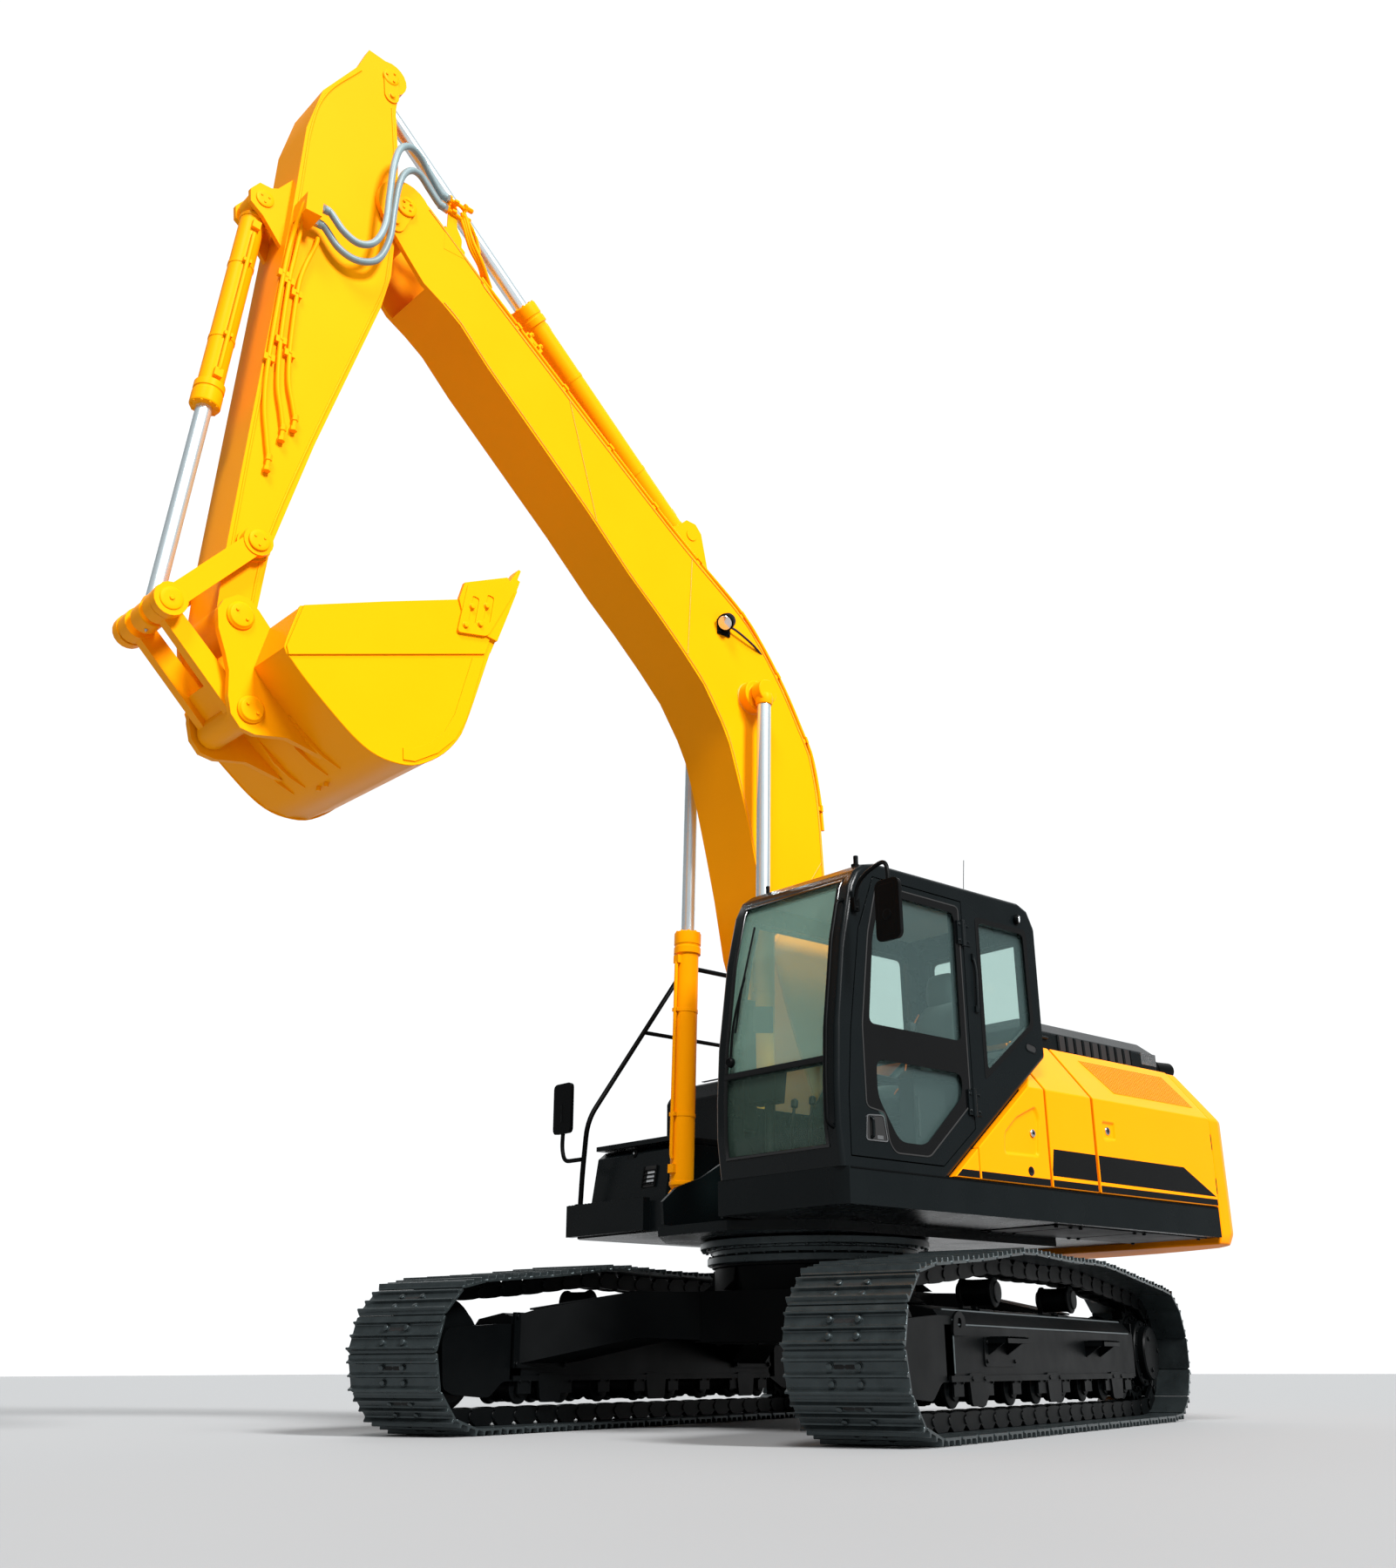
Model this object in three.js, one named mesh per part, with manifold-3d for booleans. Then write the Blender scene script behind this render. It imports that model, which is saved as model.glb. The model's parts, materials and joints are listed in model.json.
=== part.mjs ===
// Crawler excavator of the 26 tonne class, with its real pieces as separate solids.
// Units are millimetres, +Z is up, +X is the forward direction of the tracks.
// The upper machine stands turned about its slewing axis by SWING_DEG.
import * as THREE from 'three';
import { mergeVertices } from 'three/addons/utils/BufferGeometryUtils.js';
import Module from 'manifold-3d';

const wasm = await Module();
wasm.setup();

// ---------------------------------------------------------------- driving dimensions
const ORIGIN_X = 797.6;            // from the slewing axis to the middle of the whole footprint
const ORIGIN_Y = 128.8;
const SWING_DEG = -17.5;         // upper machine about +Z, negative is to the machine's right

const GAUGE = 2590;              // between the middles of the two tracks
const SHOE_W = 600;
const SHOES = 51;
const GROUSER = 26;
const IDLER = [1950, 400];       // x, z of the front idler's axle
const SPROCKET = [-1950, 410];   // x, z of the drive sprocket's axle
const IDLER_R = 374;             // shoe plate radius over the idler
const SPROCKET_R = 384;          // shoe plate radius over the sprocket
const LINK_H = 124;              // shoe plate surface down to the rail on which the rollers run
const CARRIER_X = [650, -600];

const HOUSE_Y = 1400;            // half width of the upper machine
const DECK_Z = 1285;             // top of the revolving frame's skirt
const BELLY_Z = 1100;
const CHAMFER_Z = 1851;          // where the side covers begin to lean in
const COVER_Z = 2190;            // flat top of the machine cover

const CAB_Y0 = 445, CAB_Y1 = 1385;
const BOOM_FOOT = [0, 1840];     // all pins as x, z in the upper machine's frame
const BOOM_TIP = [3473, 6837];
const BOOM_HW = 215;
const LIFT_FOOT = [776, 1267];
const LIFT_ROD = [672, 4414];
const LIFT_Y = 350;
const ARM_HW = 175;
const ARM_TIP = [4215, 3838];
const CROWD_BASE = [1100, 5520];
const CROWD_ROD = [3626, 7784];
const CURL_BASE = [4301, 6496];
const ROCKER = [4165, 4284];
const LINK_TOP = [4577, 3810];
const LINK_LOW = [4106, 3357];
const BUCKET_HW = 560;

// ---------------------------------------------------------------- solids from three.js geometry
function toSolid(geometry) {
  const g = geometry.clone();
  g.deleteAttribute('normal');
  g.deleteAttribute('uv');
  const m = mergeVertices(g, 1e-3);
  const pos = m.attributes.position.array;
  const src = m.index.array;
  const tris = [];
  let volume = 0;
  for (let i = 0; i < src.length; i += 3) {
    const a = src[i], b = src[i + 1], c = src[i + 2];
    if (a === b || b === c || a === c) continue;
    tris.push(a, b, c);
    const [ax, ay, az] = [pos[3 * a], pos[3 * a + 1], pos[3 * a + 2]];
    const [bx, by, bz] = [pos[3 * b], pos[3 * b + 1], pos[3 * b + 2]];
    const [cx, cy, cz] = [pos[3 * c], pos[3 * c + 1], pos[3 * c + 2]];
    volume += ax * (by * cz - bz * cy) + ay * (bz * cx - bx * cz) + az * (bx * cy - by * cx);
  }
  if (volume < 0) {
    for (let i = 0; i < tris.length; i += 3) [tris[i], tris[i + 1]] = [tris[i + 1], tris[i]];
  }
  return new wasm.Manifold(new wasm.Mesh({
    numProp: 3, vertProperties: Float32Array.from(pos), triVerts: Uint32Array.from(tris),
  }));
}

function toGeometry(s) {
  const m = s.getMesh();
  const g = new THREE.BufferGeometry();
  g.setAttribute('position', new THREE.BufferAttribute(Float32Array.from(m.vertProperties), 3));
  g.setIndex(new THREE.BufferAttribute(Uint32Array.from(m.triVerts), 1));
  g.computeVertexNormals();
  return g;
}

const join = (...list) => list.flat().reduce((a, b) => a.add(b));
const cut = (a, ...list) => list.flat().reduce((s, b) => s.subtract(b), a);

function shapeOf(points, holes = []) {
  const s = new THREE.Shape(points.map(([x, y]) => new THREE.Vector2(x, y)));
  for (const h of holes) s.holes.push(new THREE.Path(h.map(([x, y]) => new THREE.Vector2(x, y))));
  return s;
}

// outline in x, z drawn out along y
function prismY(points, y0, y1, holes = []) {
  const g = new THREE.ExtrudeGeometry(shapeOf(points, holes), { depth: y1 - y0, bevelEnabled: false });
  g.rotateX(Math.PI / 2);
  g.translate(0, y1, 0);
  return toSolid(g);
}

// outline in x, y drawn out along z
function prismZ(points, z0, z1, holes = []) {
  const g = new THREE.ExtrudeGeometry(shapeOf(points, holes), { depth: z1 - z0, bevelEnabled: false });
  g.translate(0, 0, z0);
  return toSolid(g);
}

// outline in y, z drawn out along x
function prismX(points, x0, x1, holes = []) {
  const g = new THREE.ExtrudeGeometry(shapeOf(points, holes), { depth: x1 - x0, bevelEnabled: false });
  g.applyMatrix4(new THREE.Matrix4().makeBasis(
    new THREE.Vector3(0, 1, 0), new THREE.Vector3(0, 0, 1), new THREE.Vector3(1, 0, 0)));
  g.translate(x0, 0, 0);
  return toSolid(g);
}

function box(x0, x1, y0, y1, z0, z1) {
  const g = new THREE.BoxGeometry(x1 - x0, y1 - y0, z1 - z0);
  g.translate((x0 + x1) / 2, (y0 + y1) / 2, (z0 + z1) / 2);
  return toSolid(g);
}

// round bar from point p to point q
function rod(p, q, r, sides = 12, r2 = r) {
  const a = new THREE.Vector3(...p), b = new THREE.Vector3(...q);
  const dir = b.clone().sub(a);
  const g = new THREE.CylinderGeometry(r2, r, dir.length(), sides);
  g.applyQuaternion(new THREE.Quaternion().setFromUnitVectors(new THREE.Vector3(0, 1, 0), dir.normalize()));
  const mid = a.add(b).multiplyScalar(0.5);
  g.translate(mid.x, mid.y, mid.z);
  return toSolid(g);
}

const pinY = ([x, z], y0, y1, r, sides = 16) => rod([x, y0, z], [x, y1, z], r, sides);

// turned profile of r, z about a vertical axis at x, y
function turnZ(profile, sides = 32) {
  const g = new THREE.LatheGeometry(profile.map(([r, z]) => new THREE.Vector2(r, z)), sides);
  g.rotateX(Math.PI / 2);
  return toSolid(g);
}

// turned profile of r, y about an axle along y at x, z
function turnY(profile, [x, z], sides = 24) {
  const g = new THREE.LatheGeometry(profile.map(([r, y]) => new THREE.Vector2(r, y)), sides);
  g.translate(x, 0, z);
  return toSolid(g);
}

// closed solid between two rings with the same number of corners
function loft(a, b) {
  const n = a.length;
  const pos = [...a, ...b].flat();
  const idx = [];
  for (let i = 0; i < n; i++) {
    const j = (i + 1) % n;
    idx.push(i, j, n + j, i, n + j, n + i);
  }
  for (let i = 1; i < n - 1; i++) idx.push(0, i + 1, i, n, n + i, n + i + 1);
  const g = new THREE.BufferGeometry();
  g.setAttribute('position', new THREE.BufferAttribute(new Float32Array(pos), 3));
  g.setIndex(idx);
  return toSolid(g);
}

// round tube along a smooth curve through the points
function tube(points, r, sides = 8, steps = 24, tension = 0.5) {
  const curve = new THREE.CatmullRomCurve3(points.map((p) => new THREE.Vector3(...p)), false, 'catmullrom', tension);
  const ring = [];
  for (let i = 0; i < sides; i++) {
    const a = (2 * Math.PI * i) / sides;
    ring.push(new THREE.Vector2(r * Math.cos(a), r * Math.sin(a)));
  }
  return toSolid(new THREE.ExtrudeGeometry(new THREE.Shape(ring), { steps, extrudePath: curve, bevelEnabled: false }));
}

// bar of straight runs, its corners filled by short overlapping pieces
function bentBar(points, r, sides = 8) {
  const parts = [];
  for (let i = 0; i < points.length - 1; i++) {
    parts.push(rod(points[i], points[i + 1], r, sides));
    if (i > 0) {
      const g = new THREE.SphereGeometry(r * 1.02, sides, 6);
      g.translate(...points[i]);
      parts.push(toSolid(g));
    }
  }
  return join(parts);
}

const mirrorY = (points3) => points3.map(([x, y, z]) => [x, -y, z]);
function disc([x, z], r, n = 24) {
  const out = [];
  for (let i = 0; i < n; i++) out.push([x + r * Math.cos((2 * Math.PI * i) / n), z + r * Math.sin((2 * Math.PI * i) / n)]);
  return out;
}

// ---------------------------------------------------------------- materials
const mat = (color, roughness, metalness = 0) => new THREE.MeshStandardMaterial({ color, roughness, metalness });
const YELLOW = mat(0xf7b50a, 0.35);
const CHARCOAL = mat(0x2b2d2f, 0.35, 0.3);
const BLACK = mat(0x0d0e0f, 0.5, 0.1);
const STEEL = mat(0x1a1c1d, 0.45, 0.6);
const CHROME = mat(0xcfd4d8, 0.12, 1);
const GLASS = new THREE.MeshStandardMaterial({ color: 0x9fb5a6, roughness: 0.05, transparent: true, opacity: 0.35 });
const SEAT = mat(0x3d4644, 0.9);
const HOSE = mat(0x7f9396, 0.6);
const CASTING = mat(0x33363a, 0.6, 0.5);

// ---------------------------------------------------------------- groups
const excavator = new THREE.Group();
excavator.position.set(-ORIGIN_X, -ORIGIN_Y, 0);
const under = new THREE.Group();
const upper = new THREE.Group();
upper.rotation.z = (SWING_DEG * Math.PI) / 180;
excavator.add(under, upper);

function piece(group, name, solid, material) {
  const mesh = new THREE.Mesh(toGeometry(solid), material);
  mesh.name = name;
  group.add(mesh);
}

// ================================================================ UNDERCARRIAGE
// line of the shoe plates, seen from the side, with its outward normals
function shoeLine(arcSteps) {
  const pts = [];
  const arc = ([cx, cz], r, a0, a1) => {
    for (let i = 0; i <= arcSteps; i++) {
      const a = ((a0 + ((a1 - a0) * i) / arcSteps) * Math.PI) / 180;
      pts.push([cx + r * Math.cos(a), cz + r * Math.sin(a)]);
    }
  };
  arc(IDLER, IDLER_R, -90, 94);
  for (const p of [[1300, 824], [950, 862], [650, 893], [300, 887], [0, 883], [-300, 887], [-600, 893], [-950, 872], [-1300, 842]]) pts.push(p);
  arc(SPROCKET, SPROCKET_R, 87, 270);
  return pts;
}

function walk(line) {
  const n = line.length;
  const s = [0];
  for (let i = 0; i < n; i++) {
    const [a, b] = [line[i], line[(i + 1) % n]];
    s.push(s[i] + Math.hypot(b[0] - a[0], b[1] - a[1]));
  }
  const normalAt = (i) => {
    const [a, b] = [line[(i + n - 1) % n], line[(i + 1) % n]];
    const d = Math.hypot(b[0] - a[0], b[1] - a[1]);
    return [(b[1] - a[1]) / d, -(b[0] - a[0]) / d];
  };
  const normals = line.map((_, i) => normalAt(i));
  const at = (d, h) => {
    const t = ((d % s[n]) + s[n]) % s[n];
    let i = 0;
    while (s[i + 1] < t) i++;
    const f = (t - s[i]) / (s[i + 1] - s[i]);
    const [a, b] = [line[i], line[(i + 1) % n]];
    const [u, v] = [normals[i], normals[(i + 1) % n]];
    let nx = u[0] + (v[0] - u[0]) * f, nz = u[1] + (v[1] - u[1]) * f;
    const seg = Math.hypot(b[0] - a[0], b[1] - a[1]);
    if (seg > 1000) { nx = (b[1] - a[1]) / seg; nz = -(b[0] - a[0]) / seg; }
    const l = Math.hypot(nx, nz);
    return [a[0] + (b[0] - a[0]) * f + (nx / l) * h, a[1] + (b[1] - a[1]) * f + (nz / l) * h];
  };
  return { length: s[n], at, offset: (h) => line.map((p, i) => [p[0] + normals[i][0] * h, p[1] + normals[i][1] * h]) };
}

function trackLoop(yc) {
  const fine = walk(shoeLine(14));
  const pitch = fine.length / SHOES;
  const outer = [];
  for (let i = 0; i < SHOES; i++) {
    for (const [f, h] of [[0.02, 0], [0.06, GROUSER], [0.13, GROUSER], [0.18, 0]]) outer.push(fine.at((i + f) * pitch, h));
  }
  const shoes = prismY(outer, yc - SHOE_W / 2, yc + SHOE_W / 2, [fine.offset(-12)]);
  const rail = (y0, y1) => prismY(fine.offset(-6), y0, y1, [fine.offset(-LINK_H)]);
  return join(shoes, rail(yc - 95, yc - 50), rail(yc + 50, yc + 95));
}

function trackFrame(side) {
  const yc = (side * GAUGE) / 2;
  const Y = (y) => side * y;
  const span = (a, b) => [Math.min(Y(a), Y(b)), Math.max(Y(a), Y(b))];
  const parts = [];
  const sec = [[1150, 270], [1440, 270], [1440, 520], [1385, 590], [1215, 620], [1150, 600]].map(([y, z]) => [Y(y), z]);
  if (side < 0) sec.reverse();
  parts.push(prismX(sec, -1590, 1500));
  // fork that carries the idler
  const fork = [[1400, 262], [1400, 560], [1575, 560], [2050, 530], [2095, 470], [2070, 230], [1990, 200], [1680, 180], [1560, 262]];
  parts.push(prismY(fork, ...span(1400, 1440)), prismY(fork, ...span(1150, 1190)));
  // bracket that carries the final drive
  const rear = [[-1500, 272], [-1500, 598], [-1720, 640], [-2060, 600], [-2140, 480], [-2140, 330], [-2040, 220], [-1720, 190]];
  parts.push(prismY(rear, ...span(1150, 1184)));
  // lower rollers, hung from the frame
  for (let i = 0; i < 8; i++) {
    const x = -1400 + i * 395;
    parts.push(rod([x, yc - 120, 236], [x, yc + 120, 236], 84, 12));
  }
  // carrier rollers on posts
  for (const x of CARRIER_X) {
    parts.push(rod([x, yc - 105, 697], [x, yc + 105, 697], 68, 12));
    parts.push(box(x - 55, x + 55, ...span(1195, 1225), 560, 740));
    parts.push(rod([x, Y(1190), 697], [x, yc, 697], 40, 12));
  }
  // steps on the outside of the frame
  for (const x of [820, -760]) parts.push(box(x - 150, x + 150, ...span(1436, 1560), 440, 470), box(x + 110, x + 150, ...span(1436, 1540), 380, 442), box(x - 150, x - 110, ...span(1436, 1540), 380, 442));
  return join(parts);
}

function sprocketSolid(side) {
  const yc = (side * GAUGE) / 2;
  const teeth = [];
  const n = 21;
  for (let i = 0; i < n; i++) {
    for (const [f, r] of [[0, 262], [0.3, 262], [0.42, 302], [0.58, 302]]) {
      const a = (2 * Math.PI * (i + f)) / n;
      teeth.push([SPROCKET[0] + r * Math.cos(a), SPROCKET[1] + r * Math.sin(a)]);
    }
  }
  const gear = prismY(teeth, yc - 36, yc + 36);
  const y = (v) => side * v;
  return join(gear,
    rod([SPROCKET[0], y(1184.5), SPROCKET[1]], [SPROCKET[0], y(1400), SPROCKET[1]], 205, 20),
    rod([SPROCKET[0], y(1390), SPROCKET[1]], [SPROCKET[0], y(1462), SPROCKET[1]], 165, 20));
}

function idlerSolid(side) {
  const yc = (side * GAUGE) / 2;
  return join(
    turnY([[0, yc - 95], [244, yc - 95], [244, yc - 44], [292, yc - 36], [292, yc + 36], [244, yc + 44], [244, yc + 95], [0, yc + 95]], IDLER, 24),
    rod([IDLER[0], yc - 104.5, IDLER[1]], [IDLER[0], yc + 104.5, IDLER[1]], 110, 16));
}

// X-frame: middle box, pedestal and four legs
function carbodySolid() {
  const parts = [
    prismZ([[-640, -430], [-450, -620], [450, -620], [640, -430], [640, 430], [450, 620], [-450, 620], [-640, 430]], 470, 745),
    turnZ([[0, 700], [640, 700], [610, 760], [610, 899.7], [0, 899.7]], 32),
  ];
  for (const sx of [1, -1]) {
    for (const sy of [1, -1]) {
      const ring = (x0, x1, y, z0, z1) => [[sx * x0, sy * y, z0], [sx * x1, sy * y, z0], [sx * x1, sy * y, z1], [sx * x0, sy * y, z1]];
      const a = ring(1010, 1470, 1149.6, 348, 605);
      const b = ring(430, 860, 720, 492, 745);
      const c = ring(150, 620, 420, 478, 744);
      parts.push(loft(a, b), loft(b, c));
    }
  }
  return join(parts);
}

for (const [side, word] of [[1, 'left'], [-1, 'right']]) {
  piece(under, `track_${word}`, trackLoop((side * GAUGE) / 2), STEEL);
  piece(under, `track_frame_${word}`, trackFrame(side), BLACK);
  piece(under, `sprocket_${word}`, sprocketSolid(side), BLACK);
  piece(under, `idler_${word}`, idlerSolid(side), BLACK);
}
piece(under, 'carbody', carbodySolid(), BLACK);
piece(under, 'slew_ring_lower', turnZ([[0, 900], [655, 900], [655, 945], [625, 955], [625, 979.7], [0, 979.7]], 40), CASTING);

// ================================================================ UPPER MACHINE
piece(upper, 'slew_ring_upper', turnZ([[0, 980.3], [640, 980.3], [640, 992], [698, 992], [698, 1035], [660, 1044.7], [0, 1044.7]], 40), CASTING);

// ---- revolving frame: skirted deck, belly plate, boom girders
function revolvingFrame() {
  const deck = prismZ([
    [-2318, 1398], [-2318, -1398], [740, -1398], [800, -1340], [800, -300], [1000, -290], [1000, 290],
    [1185, 420], [1195, 1290], [1160, 1398],
  ], BELLY_Z, DECK_Z);
  const belly = prismZ([[-1500, 700], [-1500, -700], [600, -700], [1000, -300], [1000, 300], [600, 700]], 1045, BELLY_Z + 1);
  // open channel between the girders under the boom
  let body = cut(join(deck, belly),
    box(120, 1300, -248, 248, BELLY_Z, 1500),
    box(560, 1300, -430, -248, BELLY_Z, 1500),
    box(560, 1300, 248, 430, BELLY_Z, 1500));
  const girder = [[-628, 1110], [1000, 1110], [1010, 1240], [900, 1330], [700, 1400], [420, 1560], [150, 1900], [80, 1985], [0, 2010], [-80, 1985], [-150, 1900], [-420, 1560], [-628, 1470]];
  body = join(body, prismY(girder, 246, 268), prismY(girder, -268, -246));
  const hinge = pinY(BOOM_FOOT, -292, 292, 50);
  body = join(body, hinge);
  for (const s of [1, -1]) {
    const [a, b] = s > 0 ? [260, 412] : [-412, -260];
    body = join(body, pinY(LIFT_FOOT, a, b, 45));
    const [c, d] = s > 0 ? [262, 300] : [-300, -262];
    body = join(body, pinY(LIFT_FOOT, c, d, 54, 20));
  }
  // step plate in front of the toolbox
  const step = prismX([[-1398, 1110], [-1398, 1305], [-620, 1305], [-620, 1110]], 798, 850);
  body = join(body, step);
  // bolts' pads that the cab stands on are left to the deck
  return body;
}
piece(upper, 'revolving_frame', revolvingFrame(), CHARCOAL);

// ---- counterweight
function counterweightSolid() {
  const plan = [];
  plan.push([-2322, 1400], [-2440, 1398], [-2530, 1360], [-2600, 1290]);
  for (let i = 0; i <= 8; i++) {
    const a = (24.5 - (49 * i) / 8) * (Math.PI / 180);
    plan.push([-2930 * Math.cos(a), 2930 * Math.sin(a)]);
  }
  plan.push([-2600, -1290], [-2530, -1360], [-2440, -1398], [-2322, -1400]);
  const at = (k, dy, z) => plan.map(([x, y]) => [-2322 + (x + 2322) * k, Math.sign(y) * Math.max(0, Math.abs(y) - dy), z]);
  const ccw = (ring) => ring.slice().reverse();
  return join(
    loft(ccw(at(0.93, 25, 1060)), ccw(at(1, 0, 1130))),
    loft(ccw(at(1, 0, 1130)), ccw(at(0.985, 0, CHAMFER_Z))),
    loft(ccw(at(0.985, 0, CHAMFER_Z)), ccw(at(0.86, 282, 2189.8))));
}
piece(upper, 'counterweight', counterweightSolid(), YELLOW);

// ---- side covers with the leaning upper part
const SECTION = [[1405, DECK_Z + 6], [1405, CHAMFER_Z], [1120, 2195], [1082, 2152], [1352, 1830], [1352, DECK_Z + 6]];
const sideCover = (x0, x1, side = 1) => {
  const s = SECTION.map(([y, z]) => [side * y, z]);
  return prismX(side > 0 ? s : s.reverse(), x0, x1);
};
// slanted joint under the cab, from the deck up to the cab's rear wall
const BELOW_SLANT = prismY([[394.6, 1239], [-612, 2034.3], [-612, 2260], [-3000, 2260], [-3000, 1239]], 1000, 1500);
piece(upper, 'left_front_trim', sideCover(114, 330).intersect(BELOW_SLANT), YELLOW);
piece(upper, 'battery_door', sideCover(-530, 108).intersect(BELOW_SLANT), YELLOW);
piece(upper, 'left_middle_panel', sideCover(-998, -550).intersect(BELOW_SLANT), YELLOW);
piece(upper, 'cooling_door', sideCover(-2316, -1020), YELLOW);
piece(upper, 'pump_door', sideCover(-2316, -1432, -1), YELLOW);

// ---- cover over the engine and the wall in front of it
function machineCover() {
  const top = prismZ([[-2316, -1076], [-1422, -1076], [-1422, -552], [-640, -552], [-640, 1076], [-2316, 1076]], 2150, COVER_Z,
    [[[-2250, -520], [-1000, -520], [-1000, 940], [-2250, 940]]]);
  const wall = box(-700, -640, -552, 1340, DECK_Z + 0.6, 1830);
  const wallTop = prismX([[-552, 1829], [1340, 1829], [1070, 2151], [-552, 2151]], -700, -640);
  return join(top, wall, wallTop);
}
piece(upper, 'machine_cover', machineCover(), YELLOW);

function hoodSolid() {
  const plan = (d) => [[-2440 + d, -720 + d], [-2440 + d, 985 - d], [-930 - d, 985 - d], [-930 - d, -720 + d]];
  const ring = (d, z) => plan(d).map(([x, y]) => [x, y, z]);
  const outer = join(loft(ring(0, COVER_Z + 5), ring(0, 2340)), loft(ring(0, 2340), ring(85, 2425)));
  const inner = join(loft(ring(30, COVER_Z - 5), ring(30, 2325)), loft(ring(30, 2325), ring(105, 2395)));
  return cut(outer, inner);
}
piece(upper, 'engine_hood', hoodSolid(), CHARCOAL);
piece(upper, 'exhaust_pipe', cut(join(rod([-2452, 900, 2262], [-2700, 905, 2275], 56, 16), box(-2600, -2520, 868, 932, 2190.4, 2240)), rod([-2560, 902.2, 2267.7], [-2710, 905.2, 2275.5], 48, 16)), BLACK);
piece(upper, 'engine', box(-2120, -1280, -540, 640, DECK_Z + 1, 2060), CASTING);

// ---- tanks and toolbox on the right
function blockRounded(x0, x1, y0, y1, z0, z1, c) {
  return prismX([[y0, z0], [y0, z1 - c], [y0 + c * 0.35, z1 - c * 0.3], [y0 + c, z1], [y1, z1], [y1, z0]], x0, x1);
}
function fuelTank() {
  const side = prismY([[-757, DECK_Z + 0.6], [-757, 2185], [-190, 2185], [-60, 2150], [10, 2040], [15, DECK_Z + 0.6]], -1390, -560);
  return side.intersect(blockRounded(-800, 100, -1390, -560, 1200, 2190, 120));
}
piece(upper, 'fuel_tank', fuelTank(), CHARCOAL);
piece(upper, 'hydraulic_tank', prismX([[-1400, DECK_Z + 0.6], [-1400, 1848], [-1116, 2189], [-560, 2189], [-560, DECK_Z + 0.6]], -1408, -761), YELLOW);
const TOOLBOX = [[22, DECK_Z + 0.6], [22, 1672], [560, 1672], [640, 1610], [690, 1330], [690, DECK_Z + 0.6]];
const TOOLBOX_IN = [[45, 1320], [45, 1700], [535, 1700], [615, 1600], [662, 1330], [662, 1320]];
piece(upper, 'toolbox', cut(prismY(TOOLBOX, -1345, -600), prismY(TOOLBOX_IN, -1320, -625), box(0, 800, -1400, -500, 1655, 1700)), CHARCOAL);
piece(upper, 'toolbox_lid', join(box(22, 655, -1346, -598, 1660, 1690), box(24, 600, -1330, -615, 1689, 1700)), CHARCOAL);

// ---- guard rails beside the toolbox and tank, mirror on its arm
function guardRail() {
  const y = -1300;
  const p = [[790, y - 30, 1240], [780, y - 30, 1500], [762, y - 10, 1850], [-60, y, 2980], [-140, y, 3020], [-640, y, 3020], [-720, y, 2960], [-730, y, 2150]];
  const main = bentBar(p.map(([a, b, c]) => [a, b, c]), 17, 8);
  const low = bentBar([[292, y, 2495], [-725, y, 2495]], 15, 8);
  const mid = rod([-60, y, 2975], [-60, y, 2150], 15, 8);
  const arm = bentBar([[788, y - 30, 1600], [800, y - 200, 1600], [790, y - 245, 1690], [780, y - 245, 1900]], 14, 8);
  const plate = loft(
    [[762, y - 335, 1800], [762, y - 335, 2105], [762, y - 160, 2105], [762, y - 160, 1800]],
    [[800, y - 345, 1785], [800, y - 345, 2120], [800, y - 150, 2120], [800, y - 150, 1785]]);
  let all = join(main, low, mid, arm, plate);
  // the feet stop on the deck and on the tank
  all = cut(all, box(700, 850, -1420, -1200, 1200, 1305.4), box(-800, 100, -1420, -1000, 2000, 2185.8));
  return all;
}
piece(upper, 'guard_rail', guardRail(), BLACK);

// ---- cab
const FRONT = [[1190, DECK_Z + 0.6], [1216, 1500], [1216, 1700], [1200, 2000], [1130, 2500], [1055, 2800], [1000, 2900]];
const CAB_OUT = [...FRONT, [930, 2950], [830, 2975], [-460, 2985], [-555, 2950], [-600, 2870], [-600, DECK_Z + 0.6]];
const CAB_IN = [[1120, 1350], [1146, 1500], [1146, 1700], [1130, 2000], [1060, 2490], [985, 2780], [900, 2870], [800, 2905], [-450, 2912], [-530, 2860], [-540, 1350]];
const DOOR = [[1122, 1345], [395, 1345], [107, 1568], [105, 2880], [865, 2880], [1000, 2560], [1090, 2000], [1122, 1650]];
const grow = (pts, d) => {
  const n = pts.length;
  const cx = pts.reduce((s, p) => s + p[0], 0) / n, cz = pts.reduce((s, p) => s + p[1], 0) / n;
  const out = [];
  for (let i = 0; i < n; i++) {
    const [a, b, c] = [pts[(i + n - 1) % n], pts[i], pts[(i + 1) % n]];
    const e1 = [b[0] - a[0], b[1] - a[1]], e2 = [c[0] - b[0], c[1] - b[1]];
    const l1 = Math.hypot(...e1), l2 = Math.hypot(...e2);
    let n1 = [e1[1] / l1, -e1[0] / l1], n2 = [e2[1] / l2, -e2[0] / l2];
    const flip = (n1[0] * (b[0] - cx) + n1[1] * (b[1] - cz)) + (n2[0] * (b[0] - cx) + n2[1] * (b[1] - cz)) < 0 ? -1 : 1;
    n1 = [n1[0] * flip, n1[1] * flip]; n2 = [n2[0] * flip, n2[1] * flip];
    const k = 1 + n1[0] * n2[0] + n1[1] * n2[1];
    out.push([b[0] + ((n1[0] + n2[0]) * d) / k, b[1] + ((n1[1] + n2[1]) * d) / k]);
  }
  return out;
};
const SIDE_WIN = [[-35, 2800], [-490, 2800], [-500, 2230], [-30, 1880]];
const RIGHT_WIN = [[1030, 1700], [1030, 2200], [960, 2560], [890, 2790], [-430, 2800], [-440, 2150], [120, 1700]];
const REAR_WIN = [560, 1270, 2130, 2780];
const WS = [525, 1305];
const WS_BAR = [1822, 1858];
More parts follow.
